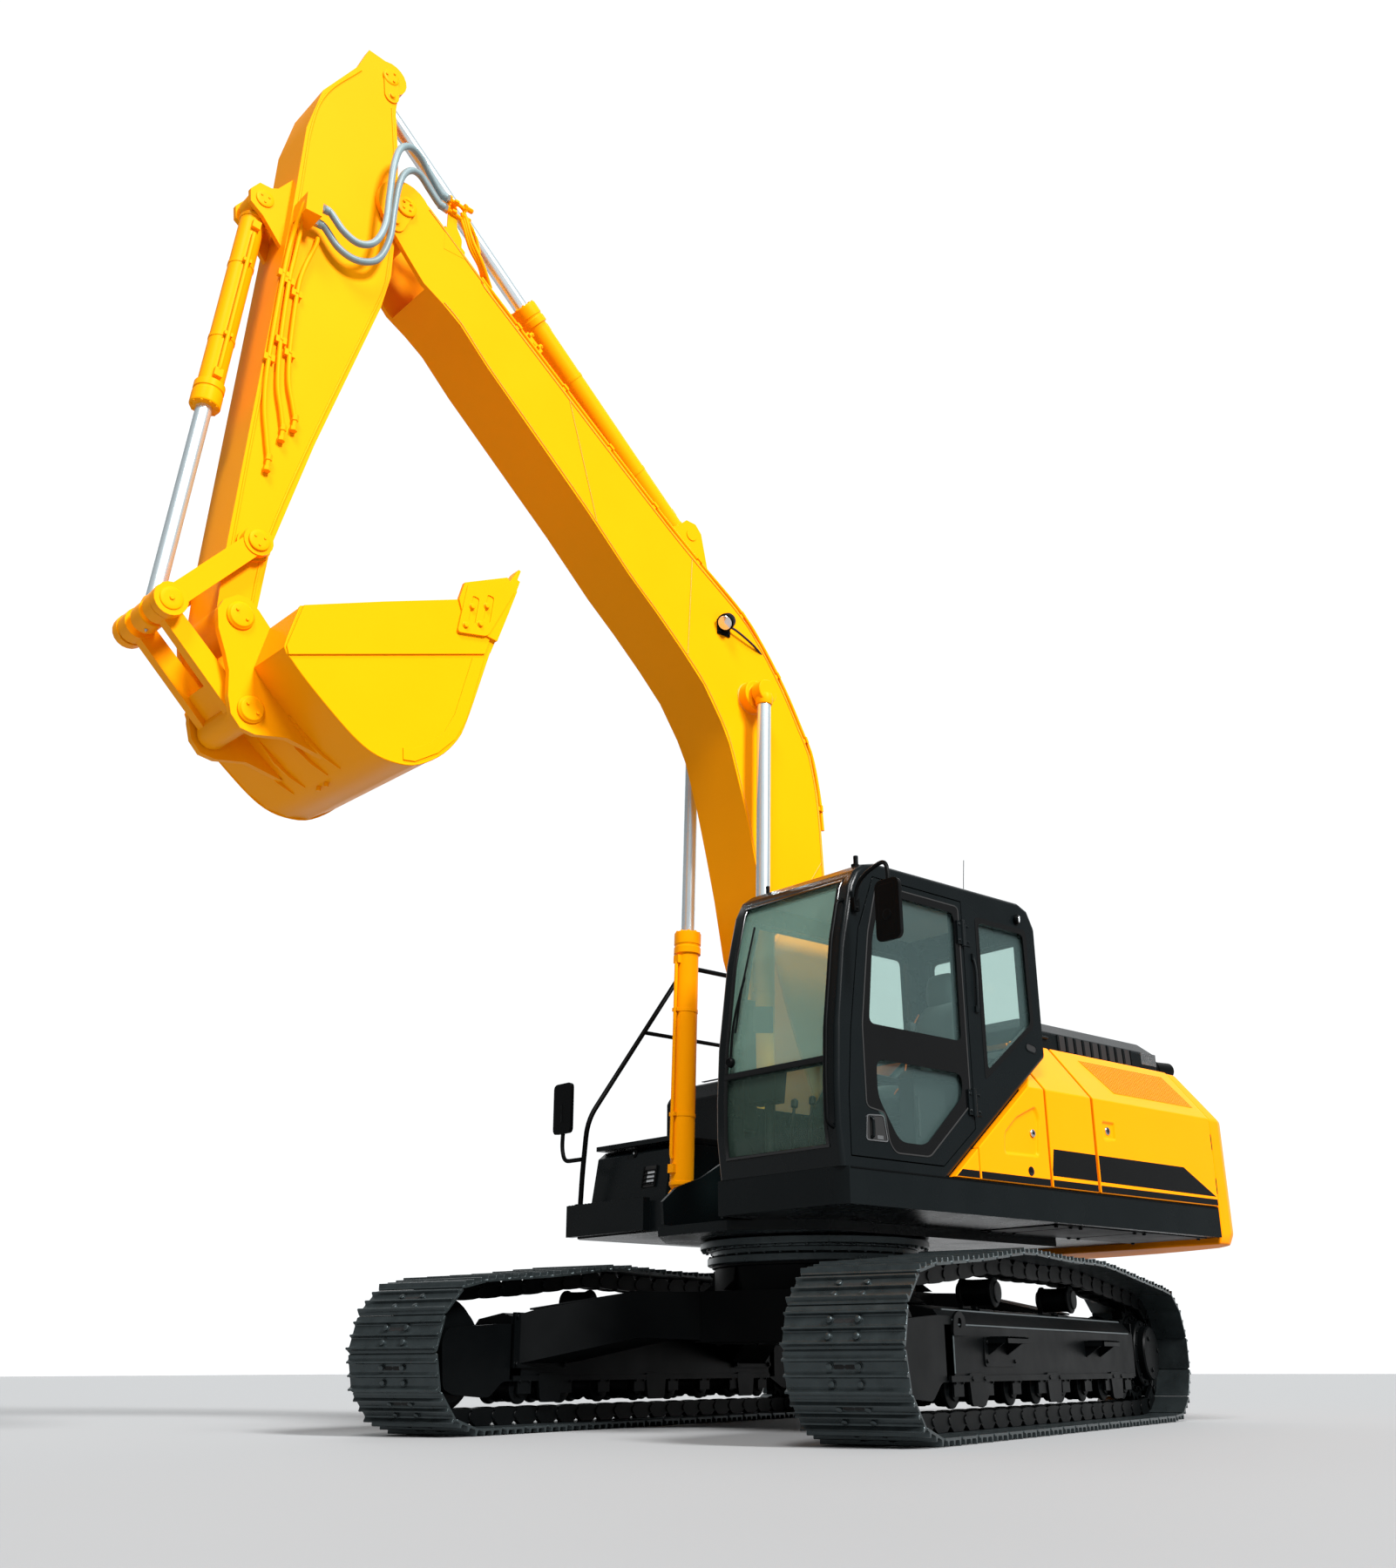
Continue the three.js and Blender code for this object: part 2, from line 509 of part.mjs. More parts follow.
// the cab's lower rear corner on the left stands back behind the side covers
const cornerBehindCovers = (d) => prismY([[355 + 1.6 * d, 1200], [355 + 1.6 * d, DECK_Z + 0.6], [-600 + 1.6 * d, 2040], [-700, 2040 + 1.6 * d], [-700, 1200]], 1000, 1500)
  .intersect(prismX([[1340 - d, 1200], [1500, 1200], [1500, 2060 + 2 * d], [1142 - d, 2060 + 2 * d], [1142 - d, 2060], [1340 - d, 1824]], -720, 420));
function cabShell() {
  return cut(prismY(CAB_OUT, CAB_Y0, CAB_Y1),
    cornerBehindCovers(0),
    prismY(CAB_IN, CAB_Y0 + 60, CAB_Y1 - 60).subtract(cornerBehindCovers(24)),
    box(950, 1400, WS[0], WS[1], 1385, WS_BAR[0]),
    box(900, 1400, WS[0], WS[1], WS_BAR[1], 2850),
    prismY(grow(DOOR, 7), 1300, 1420),
    prismY(SIDE_WIN, 1300, 1420),
    prismY(RIGHT_WIN, 400, 520),
    box(-700, -500, REAR_WIN[0], REAR_WIN[1], REAR_WIN[2], REAR_WIN[3]));
}
piece(upper, 'cab_shell', cabShell(), CHARCOAL);
const strip = (back, thick) => [...FRONT.map(([x, z]) => [x - back, z]), ...FRONT.slice().reverse().map(([x, z]) => [x - back - thick, z])];
const screen = prismY(strip(22, 10), WS[0] + 0.6, WS[1] - 0.6);
piece(upper, 'windscreen', screen.intersect(box(800, 1400, 400, 1500, WS_BAR[1] + 0.6, 2849.4)), GLASS);
piece(upper, 'windscreen_lower', screen.intersect(box(800, 1400, 400, 1500, 1385.6, WS_BAR[0] - 0.6)), GLASS);
piece(upper, 'left_rear_glass', prismY(grow(SIDE_WIN, -0.8), 1352, 1362), GLASS);
piece(upper, 'right_glass', prismY(grow(RIGHT_WIN, -0.8), 468, 478), GLASS);
piece(upper, 'rear_glass', box(-580, -570, REAR_WIN[0] + 0.8, REAR_WIN[1] - 0.8, REAR_WIN[2] + 0.8, REAR_WIN[3] - 0.8), GLASS);

const DOOR_UP = [[965, 2035], [165, 2035], [160, 2815], [815, 2815], [905, 2540]];
const DOOR_LOW = [[945, 1880], [165, 1880], [168, 1715], [520, 1415], [770, 1413], [955, 1650]];
piece(upper, 'cab_door', join(
  cut(prismY(DOOR, 1327, 1385), prismY(DOOR_UP, 1300, 1420), prismY(DOOR_LOW, 1300, 1420)),
  rod([112, 1396, 2620], [112, 1396, 2760], 14, 10), rod([112, 1396, 1640], [112, 1396, 1780], 14, 10)), CHARCOAL);
piece(upper, 'door_glass_upper', prismY(grow(DOOR_UP, -0.8), 1352, 1362), GLASS);
piece(upper, 'door_glass_lower', prismY(grow(DOOR_LOW, -0.8), 1352, 1362), GLASS);

piece(upper, 'seat_base', join(
  box(-60, 420, 640, 1190, 1350.6, 1400), box(20, 360, 740, 1090, 1399, 1640),
  box(-40, 470, 560, 690, 1350.6, 1930), box(-40, 470, 1150, 1265, 1350.6, 1905),
  box(-40, 440, 680, 760, 1480, 1560), box(-40, 440, 1080, 1160, 1480, 1560)), CHARCOAL);
piece(upper, 'seat', join(
  prismY([[-70, 1640.6], [-110, 1700], [-170, 1760], [-290, 2330], [-250, 2400], [-190, 2400], [-150, 2330], [-60, 1830], [420, 1850], [470, 1790], [455, 1680], [400, 1640.6]], 700, 1130),
  prismY([[-270, 2370], [-300, 2440], [-300, 2560], [-230, 2590], [-190, 2540], [-190, 2390]], 800, 1030)), SEAT);
piece(upper, 'front_console', join(box(980, 1100, 640, 760, 1350.6, 1380), box(1010, 1070, 660, 740, 1375, 1700), box(990, 1085, 585, 790, 1690, 1890)), CHARCOAL);
piece(upper, 'left_mirror', join(
  bentBar([[1040, 1404, 2690], [1042, 1440, 2800], [1062, 1560, 2852], [1085, 1680, 2840], [1086, 1685, 2620]], 12, 8),
  box(1012, 1056, 1385.5, 1414, 2650, 2725),
  loft([[1062, 1606, 2432], [1062, 1606, 2746], [1062, 1764, 2746], [1062, 1764, 2432]],
    [[1100, 1598, 2420], [1100, 1598, 2758], [1100, 1772, 2758], [1100, 1772, 2420]])), BLACK);

// ================================================================ BOOM
function boomSolid() {
  const outline = [
    [3560, 6990], [3440, 7015], [3300, 6930], [3164, 6824], [2867, 6580], [2812, 6523], [1396, 5454], [774, 5034],
    [570, 4841], [358, 4564], [200, 4300], [118, 4148], [60, 3880], [38, 3650], [20, 3300], [-60, 2400], [-125, 1920],
    [-120, 1780], [-60, 1715], [30, 1705], [120, 1760], [190, 1860], [380, 2330], [536, 2759], [610, 3140], [680, 3430],
    [757, 3728], [860, 4045], [930, 4180], [1080, 4400], [1260, 4580], [1480, 4780], [1700, 4965], [2040, 5290],
    [2500, 5700], [2830, 5990], [3040, 6200], [3170, 6290], [3310, 6370], [3430, 6500], [3620, 6720],
  ];
  let b = join(prismY(outline, -BOOM_HW, BOOM_HW),
    prismY(disc(BOOM_TIP, 185), -BOOM_HW, BOOM_HW),
    pinY(BOOM_FOOT, -240, 240, 135, 20));
  b = cut(b, prismY(disc(BOOM_TIP, 520, 28), -ARM_HW - 8, ARM_HW + 8), pinY(BOOM_FOOT, -400, 400, 54));
  // ears for the crowd cylinder's foot
  const ear = [[900, 5060], [1010, 5560], [1060, 5615], [1140, 5620], [1200, 5560], [1430, 5430], [1400, 5380]];
  b = join(b, prismY(ear, 92, 122), prismY(ear, -122, -92), pinY(CROWD_BASE, -128, 128, 42),
    pinY(BOOM_TIP, -236, 236, 50));
  for (const s of [1, -1]) {
    b = join(b, s > 0 ? pinY(LIFT_ROD, BOOM_HW - 5, 288, 100, 20) : pinY(LIFT_ROD, -288, -BOOM_HW + 5, 100, 20));
  }
  // pad and block where the steel pipes end and the hoses begin
  b = join(b, box(3040, 3190, 190, 262, 6690, 6880), box(3080, 3190, 190, 262, 6870, 7085));
  return b;
}
piece(upper, 'boom', boomSolid(), YELLOW);

// ================================================================ ARM
function armSolid() {
  const outline = [
    [4115, 3800], [4068, 4305], [3882, 5010], [3558, 6080], [3508, 6332], [3500, 6800], [3530, 7227], [3570, 7560], [3560, 7740],
    [3620, 7885], [3787, 7904], [3851, 7727], [4057, 7405], [4132, 7077], [4160, 6469], [4263, 4933], [4307, 4171], [4315, 3800],
  ];
  let a = join(prismY(outline, -ARM_HW, ARM_HW),
    pinY(BOOM_TIP, -ARM_HW, ARM_HW, 165, 20),
    pinY(ARM_TIP, -190, 190, 108, 20),
    prismY(disc(CROWD_ROD, 115, 20), -ARM_HW, ARM_HW));
  a = cut(a, pinY(BOOM_TIP, -400, 400, 54), pinY(ARM_TIP, -400, 400, 52),
    prismY(disc(CROWD_ROD, 440, 24), -118, 118));
  // ears for the curl cylinder's foot
  const ear = [[4120, 6760], [4230, 6610], [4270, 6590], [4340, 6590], [4390, 6520], [4380, 6440], [4300, 6380], [4130, 6180]];
  a = join(a, prismY(ear, 78, 108), prismY(ear, -108, -78), pinY(CURL_BASE, -114, 114, 38));
  a = join(a, pinY(ROCKER, -256, 256, 42), pinY(ROCKER, -192, 192, 95, 20));
  // block where the hoses meet the arm's own pipes
  a = join(a, box(4050, 4150, ARM_HW - 5, 330, 6370, 6490));
  return a;
}
piece(upper, 'arm', armSolid(), YELLOW);

// ================================================================ BUCKET AND LINKAGE
const BUCKET_OUT = [
  [4051, 3828], [4113, 3585], [4085, 3547], [3998, 3461], [3860, 3345], [3710, 3231], [3597, 3171], [3482, 3150], [3349, 3165],
  [3215, 3245], [3120, 3350], [3060, 3480], [2934, 3926], [2819, 4281],
];
function bucketSolid() {
  const t = 24;
  const inner = [
    [4100, 3860], [4028, 3800], [4080, 3600], [4060, 3562], [3980, 3485], [3845, 3370], [3697, 3257], [3590, 3197], [3482, 3176], [3358, 3190],
    [3234, 3264], [3143, 3364], [3084, 3488], [2958, 3932], [2860, 4236], [2835, 4330], [3000, 4420], [4120, 4100],
  ];
  let b = cut(prismY(BUCKET_OUT, -BUCKET_HW, BUCKET_HW), prismY(inner, -BUCKET_HW + t, BUCKET_HW - t));
  // side cutters
  const cutter = [[3110, 4020], [3160, 4160], [3130, 4270], [2860, 4395], [2790, 4330], [2860, 4120], [2905, 3990]];
  b = join(b, prismY(cutter, BUCKET_HW - 4, BUCKET_HW + 22), prismY(cutter, -BUCKET_HW - 22, -BUCKET_HW + 4));
  // lip plate and teeth
  b = join(b, prismY([[2958, 3930], [2930, 3920], [2790, 4330], [2822, 4345]], -BUCKET_HW, BUCKET_HW));
  for (let i = 0; i < 5; i++) {
    const y = -BUCKET_HW + 55 + i * ((2 * (BUCKET_HW - 55)) / 4);
    const tip = loft(
      [[2850, y - 45, 4150], [2890, y - 45, 4165], [2890, y + 45, 4165], [2850, y + 45, 4150]].map(([x, yy, z]) => [x - 8, yy, z + 60]),
      [[2742, y - 34, 4492], [2756, y - 34, 4497], [2756, y + 34, 4497], [2742, y + 34, 4492]]);
    const nose = loft(
      [[2822, y - 48, 4190], [2905, y - 48, 4215], [2905, y + 48, 4215], [2822, y + 48, 4190]],
      [[2750, y - 42, 4420], [2800, y - 42, 4435], [2800, y + 42, 4435], [2750, y + 42, 4420]]);
    b = join(b, tip, nose);
  }
  // ears with the bucket's two pins
  const ear = [[4240, 3950], [4310, 3900], [4335, 3840], [4320, 3740], [4270, 3620], [4240, 3530], [4230, 3400], [4205, 3310], [4150, 3250],
    [4070, 3235], [3900, 3262], [3690, 3212], [3760, 3275], [3990, 3475], [4060, 3560], [4070, 3700], [4045, 3820], [4120, 3900], [4180, 3950]];
  b = join(b, prismY(ear, 202, 240), prismY(ear, -240, -202));
  b = join(b, pinY(ARM_TIP, -262, 262, 47), pinY(LINK_LOW, 198, 262, 45), pinY(LINK_LOW, -262, -198, 45));
  return b;
}
piece(upper, 'bucket', bucketSolid(), YELLOW);

function bar([x0, z0], [x1, z1], w0, w1, y0, y1) {
  const d = Math.hypot(x1 - x0, z1 - z0);
  const nx = -(z1 - z0) / d, nz = (x1 - x0) / d;
  return prismY([[x0 + nx * w0, z0 + nz * w0], [x1 + nx * w1, z1 + nz * w1], [x1 - nx * w1, z1 - nz * w1], [x0 - nx * w0, z0 - nz * w0]], y0, y1);
}
for (const [s, word] of [[1, 'left'], [-1, 'right']]) {
  const Y = (a, b) => [Math.min(s * a, s * b), Math.max(s * a, s * b)];
  const rocker = join(
    cut(join(bar(ROCKER, LINK_TOP, 58, 58, ...Y(204, 240)), pinY(ROCKER, ...Y(200, 246), 82, 20)), pinY(ROCKER, -300, 300, 45.5)),
    pinY(LINK_TOP, ...Y(200, 252), 88, 20), pinY(LINK_TOP, ...Y(100, 210), 42));
  piece(upper, `rocker_${word}`, rocker, YELLOW);
}
function linkSolid() {
  const lerp = (t) => [LINK_TOP[0] + (LINK_LOW[0] - LINK_TOP[0]) * t, LINK_TOP[1] + (LINK_LOW[1] - LINK_TOP[1]) * t];
  let s = join(
    pinY(LINK_TOP, 104, 190, 84, 20), pinY(LINK_TOP, -190, -104, 84, 20),
    bar(lerp(0.05), LINK_LOW, 52, 60, 112, 172), bar(lerp(0.05), LINK_LOW, 52, 60, -172, -112),
    pinY(LINK_LOW, -188, 188, 82, 20),
    bar(lerp(0.66), lerp(0.95), 30, 30, -130, 130));
  return cut(s, pinY(LINK_TOP, -400, 400, 45.5));
}
piece(upper, 'bucket_link', linkSolid(), YELLOW);

// ================================================================ CYLINDERS
// barrel from its foot pin, blind-bored for its rod; rod from its far eye
function cylinderPair(foot, eye, yc, spec) {
  const d = Math.hypot(eye[0] - foot[0], eye[1] - foot[1]);
  const u = [(eye[0] - foot[0]) / d, (eye[1] - foot[1]) / d];
  const on = (s) => [foot[0] + u[0] * s, yc, foot[1] + u[1] * s];
  const barrel = cut(join(
    rod(on(60), on(spec.barrel), spec.r, 18),
    rod(on(spec.barrel - 130), on(spec.barrel + 0.5), spec.r + 13, 18),
    pinY(foot, yc - spec.w, yc + spec.w, spec.footR, 20)),
  pinY(foot, yc - 200, yc + 200, spec.pin + 3.5), rod(on(spec.barrel - spec.bore), on(spec.barrel + 20), spec.rod + 4, 14));
  const rodSolid = join(
    rod(on(d - spec.rodLen), on(d - 20), spec.rod, 14),
    pinY(eye, yc - spec.w + 2, yc + spec.w - 2, spec.eyeR, 20));
  return [barrel, rodSolid];
}
const LIFT = { barrel: 1672, bore: 1530, r: 73, rod: 44, rodLen: 1600, w: 42, footR: 82, eyeR: 78, pin: 45 };
for (const [s, word] of [[1, 'left'], [-1, 'right']]) {
  const [barrel, r] = cylinderPair(LIFT_FOOT, LIFT_ROD, s * LIFT_Y, LIFT);
  piece(upper, `boom_cylinder_${word}`, barrel, YELLOW);
  piece(upper, `boom_rod_${word}`, r, CHROME);
}
{
  const [barrel, r] = cylinderPair(CROWD_BASE, CROWD_ROD, 0, { barrel: 1830, bore: 1640, r: 84, rod: 50, rodLen: 1690, w: 70, footR: 88, eyeR: 90, pin: 42 });
  piece(upper, 'arm_cylinder', barrel, YELLOW);
  piece(upper, 'arm_rod', r, CHROME);
}
{
  const [barrel, r] = cylinderPair(CURL_BASE, LINK_TOP, 0, { barrel: 1415, bore: 1200, r: 70, rod: 44, rodLen: 1325, w: 58, footR: 76, eyeR: 78, pin: 38 });
  piece(upper, 'bucket_cylinder', barrel, YELLOW);
  piece(upper, 'bucket_rod', r, CHROME);
}

// ================================================================ HOSES FROM BOOM TO ARM
const HOSES = [
  [[3192, 238, 7052], [3240, 239, 7052], [3330, 252, 7130], [3420, 270, 7210], [3510, 292, 7225], [3590, 312, 7150], [3628, 320, 6990], [3640, 322, 6760], [3650, 320, 6540], [3705, 316, 6390], [3800, 312, 6330], [3900, 306, 6365], [3990, 300, 6452], [4048, 300, 6455]],
  [[3192, 216, 6992], [3240, 218, 6992], [3320, 228, 7050], [3400, 242, 7105], [3470, 256, 7095], [3530, 266, 7020], [3560, 270, 6900], [3575, 270, 6720], [3588, 266, 6500], [3650, 260, 6330], [3770, 254, 6262], [3890, 246, 6290], [3990, 235, 6395], [4048, 235, 6398]],
];
HOSES.forEach((path, i) => piece(upper, `arm_hose_${i + 1}`, tube(path, 21, 8, 26), HOSE));

export default excavator;
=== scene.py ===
"""Looks of the crawler excavator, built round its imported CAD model.
Local coordinates are the millimetres of the CAD source: HOUSE for the upper machine, before it is
turned about the slewing axis, and UNDER for the undercarriage."""
import json
import math

import bmesh
import bpy
from mathutils import Matrix, Vector
from mathutils.geometry import tessellate_polygon

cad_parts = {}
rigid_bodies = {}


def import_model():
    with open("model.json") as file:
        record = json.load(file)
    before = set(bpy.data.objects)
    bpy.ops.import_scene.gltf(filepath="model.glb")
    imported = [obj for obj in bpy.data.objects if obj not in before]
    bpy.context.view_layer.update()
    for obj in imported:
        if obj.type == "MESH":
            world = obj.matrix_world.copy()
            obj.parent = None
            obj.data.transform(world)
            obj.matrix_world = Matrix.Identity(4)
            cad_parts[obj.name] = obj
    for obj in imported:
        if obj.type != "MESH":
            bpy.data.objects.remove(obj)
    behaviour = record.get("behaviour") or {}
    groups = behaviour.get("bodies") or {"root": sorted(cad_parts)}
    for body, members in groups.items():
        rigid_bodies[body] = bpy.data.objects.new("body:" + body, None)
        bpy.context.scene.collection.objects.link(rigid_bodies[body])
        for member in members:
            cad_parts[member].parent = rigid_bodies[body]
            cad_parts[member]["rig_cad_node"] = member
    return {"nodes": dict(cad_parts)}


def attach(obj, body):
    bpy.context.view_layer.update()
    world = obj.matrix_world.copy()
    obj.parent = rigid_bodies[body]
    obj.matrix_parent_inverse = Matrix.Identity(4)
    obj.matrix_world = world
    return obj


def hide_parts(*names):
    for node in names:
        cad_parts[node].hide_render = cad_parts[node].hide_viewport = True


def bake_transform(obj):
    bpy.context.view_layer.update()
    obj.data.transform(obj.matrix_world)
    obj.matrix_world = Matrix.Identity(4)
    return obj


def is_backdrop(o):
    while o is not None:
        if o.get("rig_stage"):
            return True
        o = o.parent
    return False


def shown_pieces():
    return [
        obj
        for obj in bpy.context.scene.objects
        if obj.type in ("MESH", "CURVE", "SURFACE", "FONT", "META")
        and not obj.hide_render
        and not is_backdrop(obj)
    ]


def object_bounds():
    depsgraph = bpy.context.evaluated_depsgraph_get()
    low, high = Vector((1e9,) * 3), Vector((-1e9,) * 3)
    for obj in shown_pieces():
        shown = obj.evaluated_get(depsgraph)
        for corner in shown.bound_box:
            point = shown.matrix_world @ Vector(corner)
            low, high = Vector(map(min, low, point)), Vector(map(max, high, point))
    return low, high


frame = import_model()
cad_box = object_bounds()
NODES = frame["nodes"]

# ---------------------------------------------------------------- frames
ORIGIN = (797.6, 128.8)
SWING = math.radians(-17.5)
SHIFT = Matrix.Translation((-ORIGIN[0] / 1000, -ORIGIN[1] / 1000, 0))
MM = Matrix.Scale(0.001, 4)
UNDER = SHIFT @ MM
HOUSE = SHIFT @ Matrix.Rotation(SWING, 4, "Z") @ MM

BOOM_FOOT, BOOM_TIP = (0, 1840), (3473, 6837)
LIFT_FOOT, LIFT_ROD = (776, 1267), (672, 4414)
CROWD_BASE, CROWD_ROD = (1100, 5520), (3626, 7784)
CURL_BASE, LINK_TOP = (4301, 6496), (4577, 3810)
ROCKER, LINK_LOW, ARM_TIP = (4165, 4284), (4106, 3357), (4215, 3838)

# ---------------------------------------------------------------- camera
YAW, PITCH, ROLL = math.radians(211.012), math.radians(21.573), math.radians(-0.161)
forward = Vector((math.cos(YAW) * math.cos(PITCH), math.sin(YAW) * math.cos(PITCH), math.sin(PITCH)))
right0 = Vector((math.sin(YAW), -math.cos(YAW), 0))
up0 = right0.cross(forward)
right = right0 * math.cos(ROLL) + up0 * math.sin(ROLL)
up = right.cross(forward)
cam = bpy.data.objects.new("camera", bpy.data.cameras.new("camera"))
bpy.context.scene.collection.objects.link(cam)
cam.matrix_world = Matrix((
    (right.x, up.x, -forward.x, 8.8768 - ORIGIN[0] / 1000),
    (right.y, up.y, -forward.y, 4.4872 - ORIGIN[1] / 1000),
    (right.z, up.z, -forward.z, 0.3292),
    (0, 0, 0, 1)))
cam.data.sensor_fit = "AUTO"
cam.data.sensor_width = 36
cam.data.lens = 1775.94 / 1800 * 36
cam.data.shift_x = (801 - 796.52) / 1800
cam.data.shift_y = (867.91 - 900) / 1800
cam.data.clip_start = 0.05
cam.data.clip_end = 300
bpy.context.scene.camera = cam


# ---------------------------------------------------------------- materials
def material(name, color, rough=0.4, metal=0.0, coat=0.0, var=0.05, scale=5.0, rvar=0.06, bump=0.0,
             bump_scale=300.0, dust=0.0, spec=0.5, alpha=None, tint=None):
    m = bpy.data.materials.new(name)
    m.use_nodes = True
    nt = m.node_tree
    b = nt.nodes["Principled BSDF"]
    tc = nt.nodes.new("ShaderNodeTexCoord")
    big = nt.nodes.new("ShaderNodeTexNoise")
    big.inputs["Scale"].default_value = scale
    big.inputs["Detail"].default_value = 4
    nt.links.new(tc.outputs["Object"], big.inputs["Vector"])
    mix = nt.nodes.new("ShaderNodeMix")
    mix.data_type = "RGBA"
    lo = [max(0, c * (1 - var)) for c in color]
    hi = [min(1, c * (1 + var)) for c in color]
    mix.inputs["A"].default_value = (*lo, 1)
    mix.inputs["B"].default_value = (*hi, 1)
    nt.links.new(big.outputs["Fac"], mix.inputs["Factor"])
    out = mix.outputs["Result"]
    if dust:
        fine = nt.nodes.new("ShaderNodeTexNoise")
        fine.inputs["Scale"].default_value = scale * 9
        fine.inputs["Detail"].default_value = 6
        nt.links.new(tc.outputs["Object"], fine.inputs["Vector"])
        ramp = nt.nodes.new("ShaderNodeMapRange")
        ramp.inputs["From Min"].default_value = 0.5
        ramp.inputs["From Max"].default_value = 0.8
        ramp.inputs["To Min"].default_value = 0
        ramp.inputs["To Max"].default_value = dust
        nt.links.new(fine.outputs["Fac"], ramp.inputs["Value"])
        mix2 = nt.nodes.new("ShaderNodeMix")
        mix2.data_type = "RGBA"
        mix2.inputs["B"].default_value = (0.16, 0.15, 0.13, 1)
        nt.links.new(ramp.outputs["Result"], mix2.inputs["Factor"])
        nt.links.new(out, mix2.inputs["A"])
        out = mix2.outputs["Result"]
    nt.links.new(out, b.inputs["Base Color"])
    rr = nt.nodes.new("ShaderNodeMapRange")
    rr.inputs["To Min"].default_value = max(0.02, rough - rvar)
    rr.inputs["To Max"].default_value = min(1, rough + rvar)
    nt.links.new(big.outputs["Fac"], rr.inputs["Value"])
    nt.links.new(rr.outputs["Result"], b.inputs["Roughness"])
    b.inputs["Metallic"].default_value = metal
    b.inputs["Specular IOR Level"].default_value = spec
    if tint:
        b.inputs["Specular Tint"].default_value = (*tint, 1)
    if coat:
        b.inputs["Coat Weight"].default_value = coat
        b.inputs["Coat Roughness"].default_value = 0.08
    if bump:
        n = nt.nodes.new("ShaderNodeTexNoise")
        n.inputs["Scale"].default_value = bump_scale
        n.inputs["Detail"].default_value = 2
        nt.links.new(tc.outputs["Object"], n.inputs["Vector"])
        bp = nt.nodes.new("ShaderNodeBump")
        bp.inputs["Strength"].default_value = bump
        bp.inputs["Distance"].default_value = 0.002
        nt.links.new(n.outputs["Fac"], bp.inputs["Height"])
        nt.links.new(bp.outputs["Normal"], b.inputs["Normal"])
    if alpha is not None:
        b.inputs["Alpha"].default_value = alpha
    return m


def glass(name, tint, keep, painted_reflection):
    m = bpy.data.materials.new(name)
    m.use_nodes = True
    nt = m.node_tree
    b = nt.nodes["Principled BSDF"]
    # the opaque share, keep, has a diffuse colour that paints the reflection seen on the pane; the rest is clear tinted
    # glass
    b.inputs["Base Color"].default_value = (*painted_reflection, 1)
    b.inputs["Roughness"].default_value = 0.03
    b.inputs["Specular IOR Level"].default_value = 0.9
    b.inputs["Coat Weight"].default_value = 1.0
    b.inputs["Coat Roughness"].default_value = 0.01
    t = nt.nodes.new("ShaderNodeBsdfTransparent")
    t.inputs["Color"].default_value = (*tint, 1)
    mx = nt.nodes.new("ShaderNodeMixShader")
    mx.inputs["Fac"].default_value = keep
    nt.links.new(t.outputs["BSDF"], mx.inputs[1])
    nt.links.new(b.outputs["BSDF"], mx.inputs[2])
    nt.links.new(mx.outputs["Shader"], nt.nodes["Material Output"].inputs["Surface"])
    return m


def weave(name, a, b_, scale=900.0):
    m = material(name, a, rough=0.92, var=0.12, scale=30, rvar=0.03, spec=0.2)
    nt = m.node_tree
    b = nt.nodes["Principled BSDF"]
    tc = nt.nodes.new("ShaderNodeTexCoord")
    heights = []
    for i, axis in enumerate(("X", "Z")):
        w = nt.nodes.new("ShaderNodeTexWave")
        w.bands_direction = axis
        w.inputs["Scale"].default_value = scale / 3
        w.inputs["Distortion"].default_value = 0.4
        nt.links.new(tc.outputs["Object"], w.inputs["Vector"])
        heights.append(w)
    mul = nt.nodes.new("ShaderNodeMath")
    mul.operation = "MULTIPLY"
    nt.links.new(heights[0].outputs["Fac"], mul.inputs[0])
    nt.links.new(heights[1].outputs["Fac"], mul.inputs[1])
    bp = nt.nodes.new("ShaderNodeBump")
    bp.inputs["Strength"].default_value = 0.5
    bp.inputs["Distance"].default_value = 0.001
    nt.links.new(mul.outputs["Value"], bp.inputs["Height"])
    nt.links.new(bp.outputs["Normal"], b.inputs["Normal"])
    b.inputs["Sheen Weight"].default_value = 0.3
    return m


YELLOW = material("yellow_paint", (0.94, 0.325, 0.001), rough=0.40, coat=0.0, var=0.03, scale=2.5, bump=0.02, bump_scale=260, spec=0.10, tint=(1, 0.62, 0.04))
YELLOW_CAST = material("yellow_paint_cast", (0.92, 0.25, 0.001), rough=0.45, var=0.05, scale=9, bump=0.22, bump_scale=90, spec=0.08, tint=(1, 0.62, 0.04))
# body panels: the boom's yellow paint made darker and more orange, painted shade for the machine's body
BODY_PAINTED_SHADE = material("yellow_paint_body", (0.93, 0.262, 0.001), rough=0.38, coat=0.0, var=0.03, scale=2.5, bump=0.02, bump_scale=260, spec=0.16, tint=(1, 0.62, 0.04))
WELD = material("yellow_weld", (0.88, 0.29, 0.001), rough=0.42, var=0.08, scale=30, bump=0.8, bump_scale=160, spec=0.3)
CHARCOAL = material("charcoal_paint", (0.0034, 0.0050, 0.0056), rough=0.27, var=0.12, scale=4, bump=0.02, spec=0.16)
BLACK = material("black_paint", (0.0012, 0.0016, 0.0018), rough=0.42, var=0.25, scale=5, rvar=0.1, bump=0.08, bump_scale=150, spec=0.07)
TRACK = material("track_steel", (0.046, 0.058, 0.061), rough=0.31, metal=0.72, var=0.35, scale=14, rvar=0.12, bump=0.3, bump_scale=120, dust=0.01, spec=0.4)
PLASTIC = material("black_plastic", (0.009, 0.011, 0.011), rough=0.55, var=0.15, scale=12, bump=0.3, bump_scale=700, spec=0.3)
GLOSS = material("gloss_black", (0.0018, 0.002, 0.0022), rough=0.16, var=0.1, scale=4, spec=0.4)
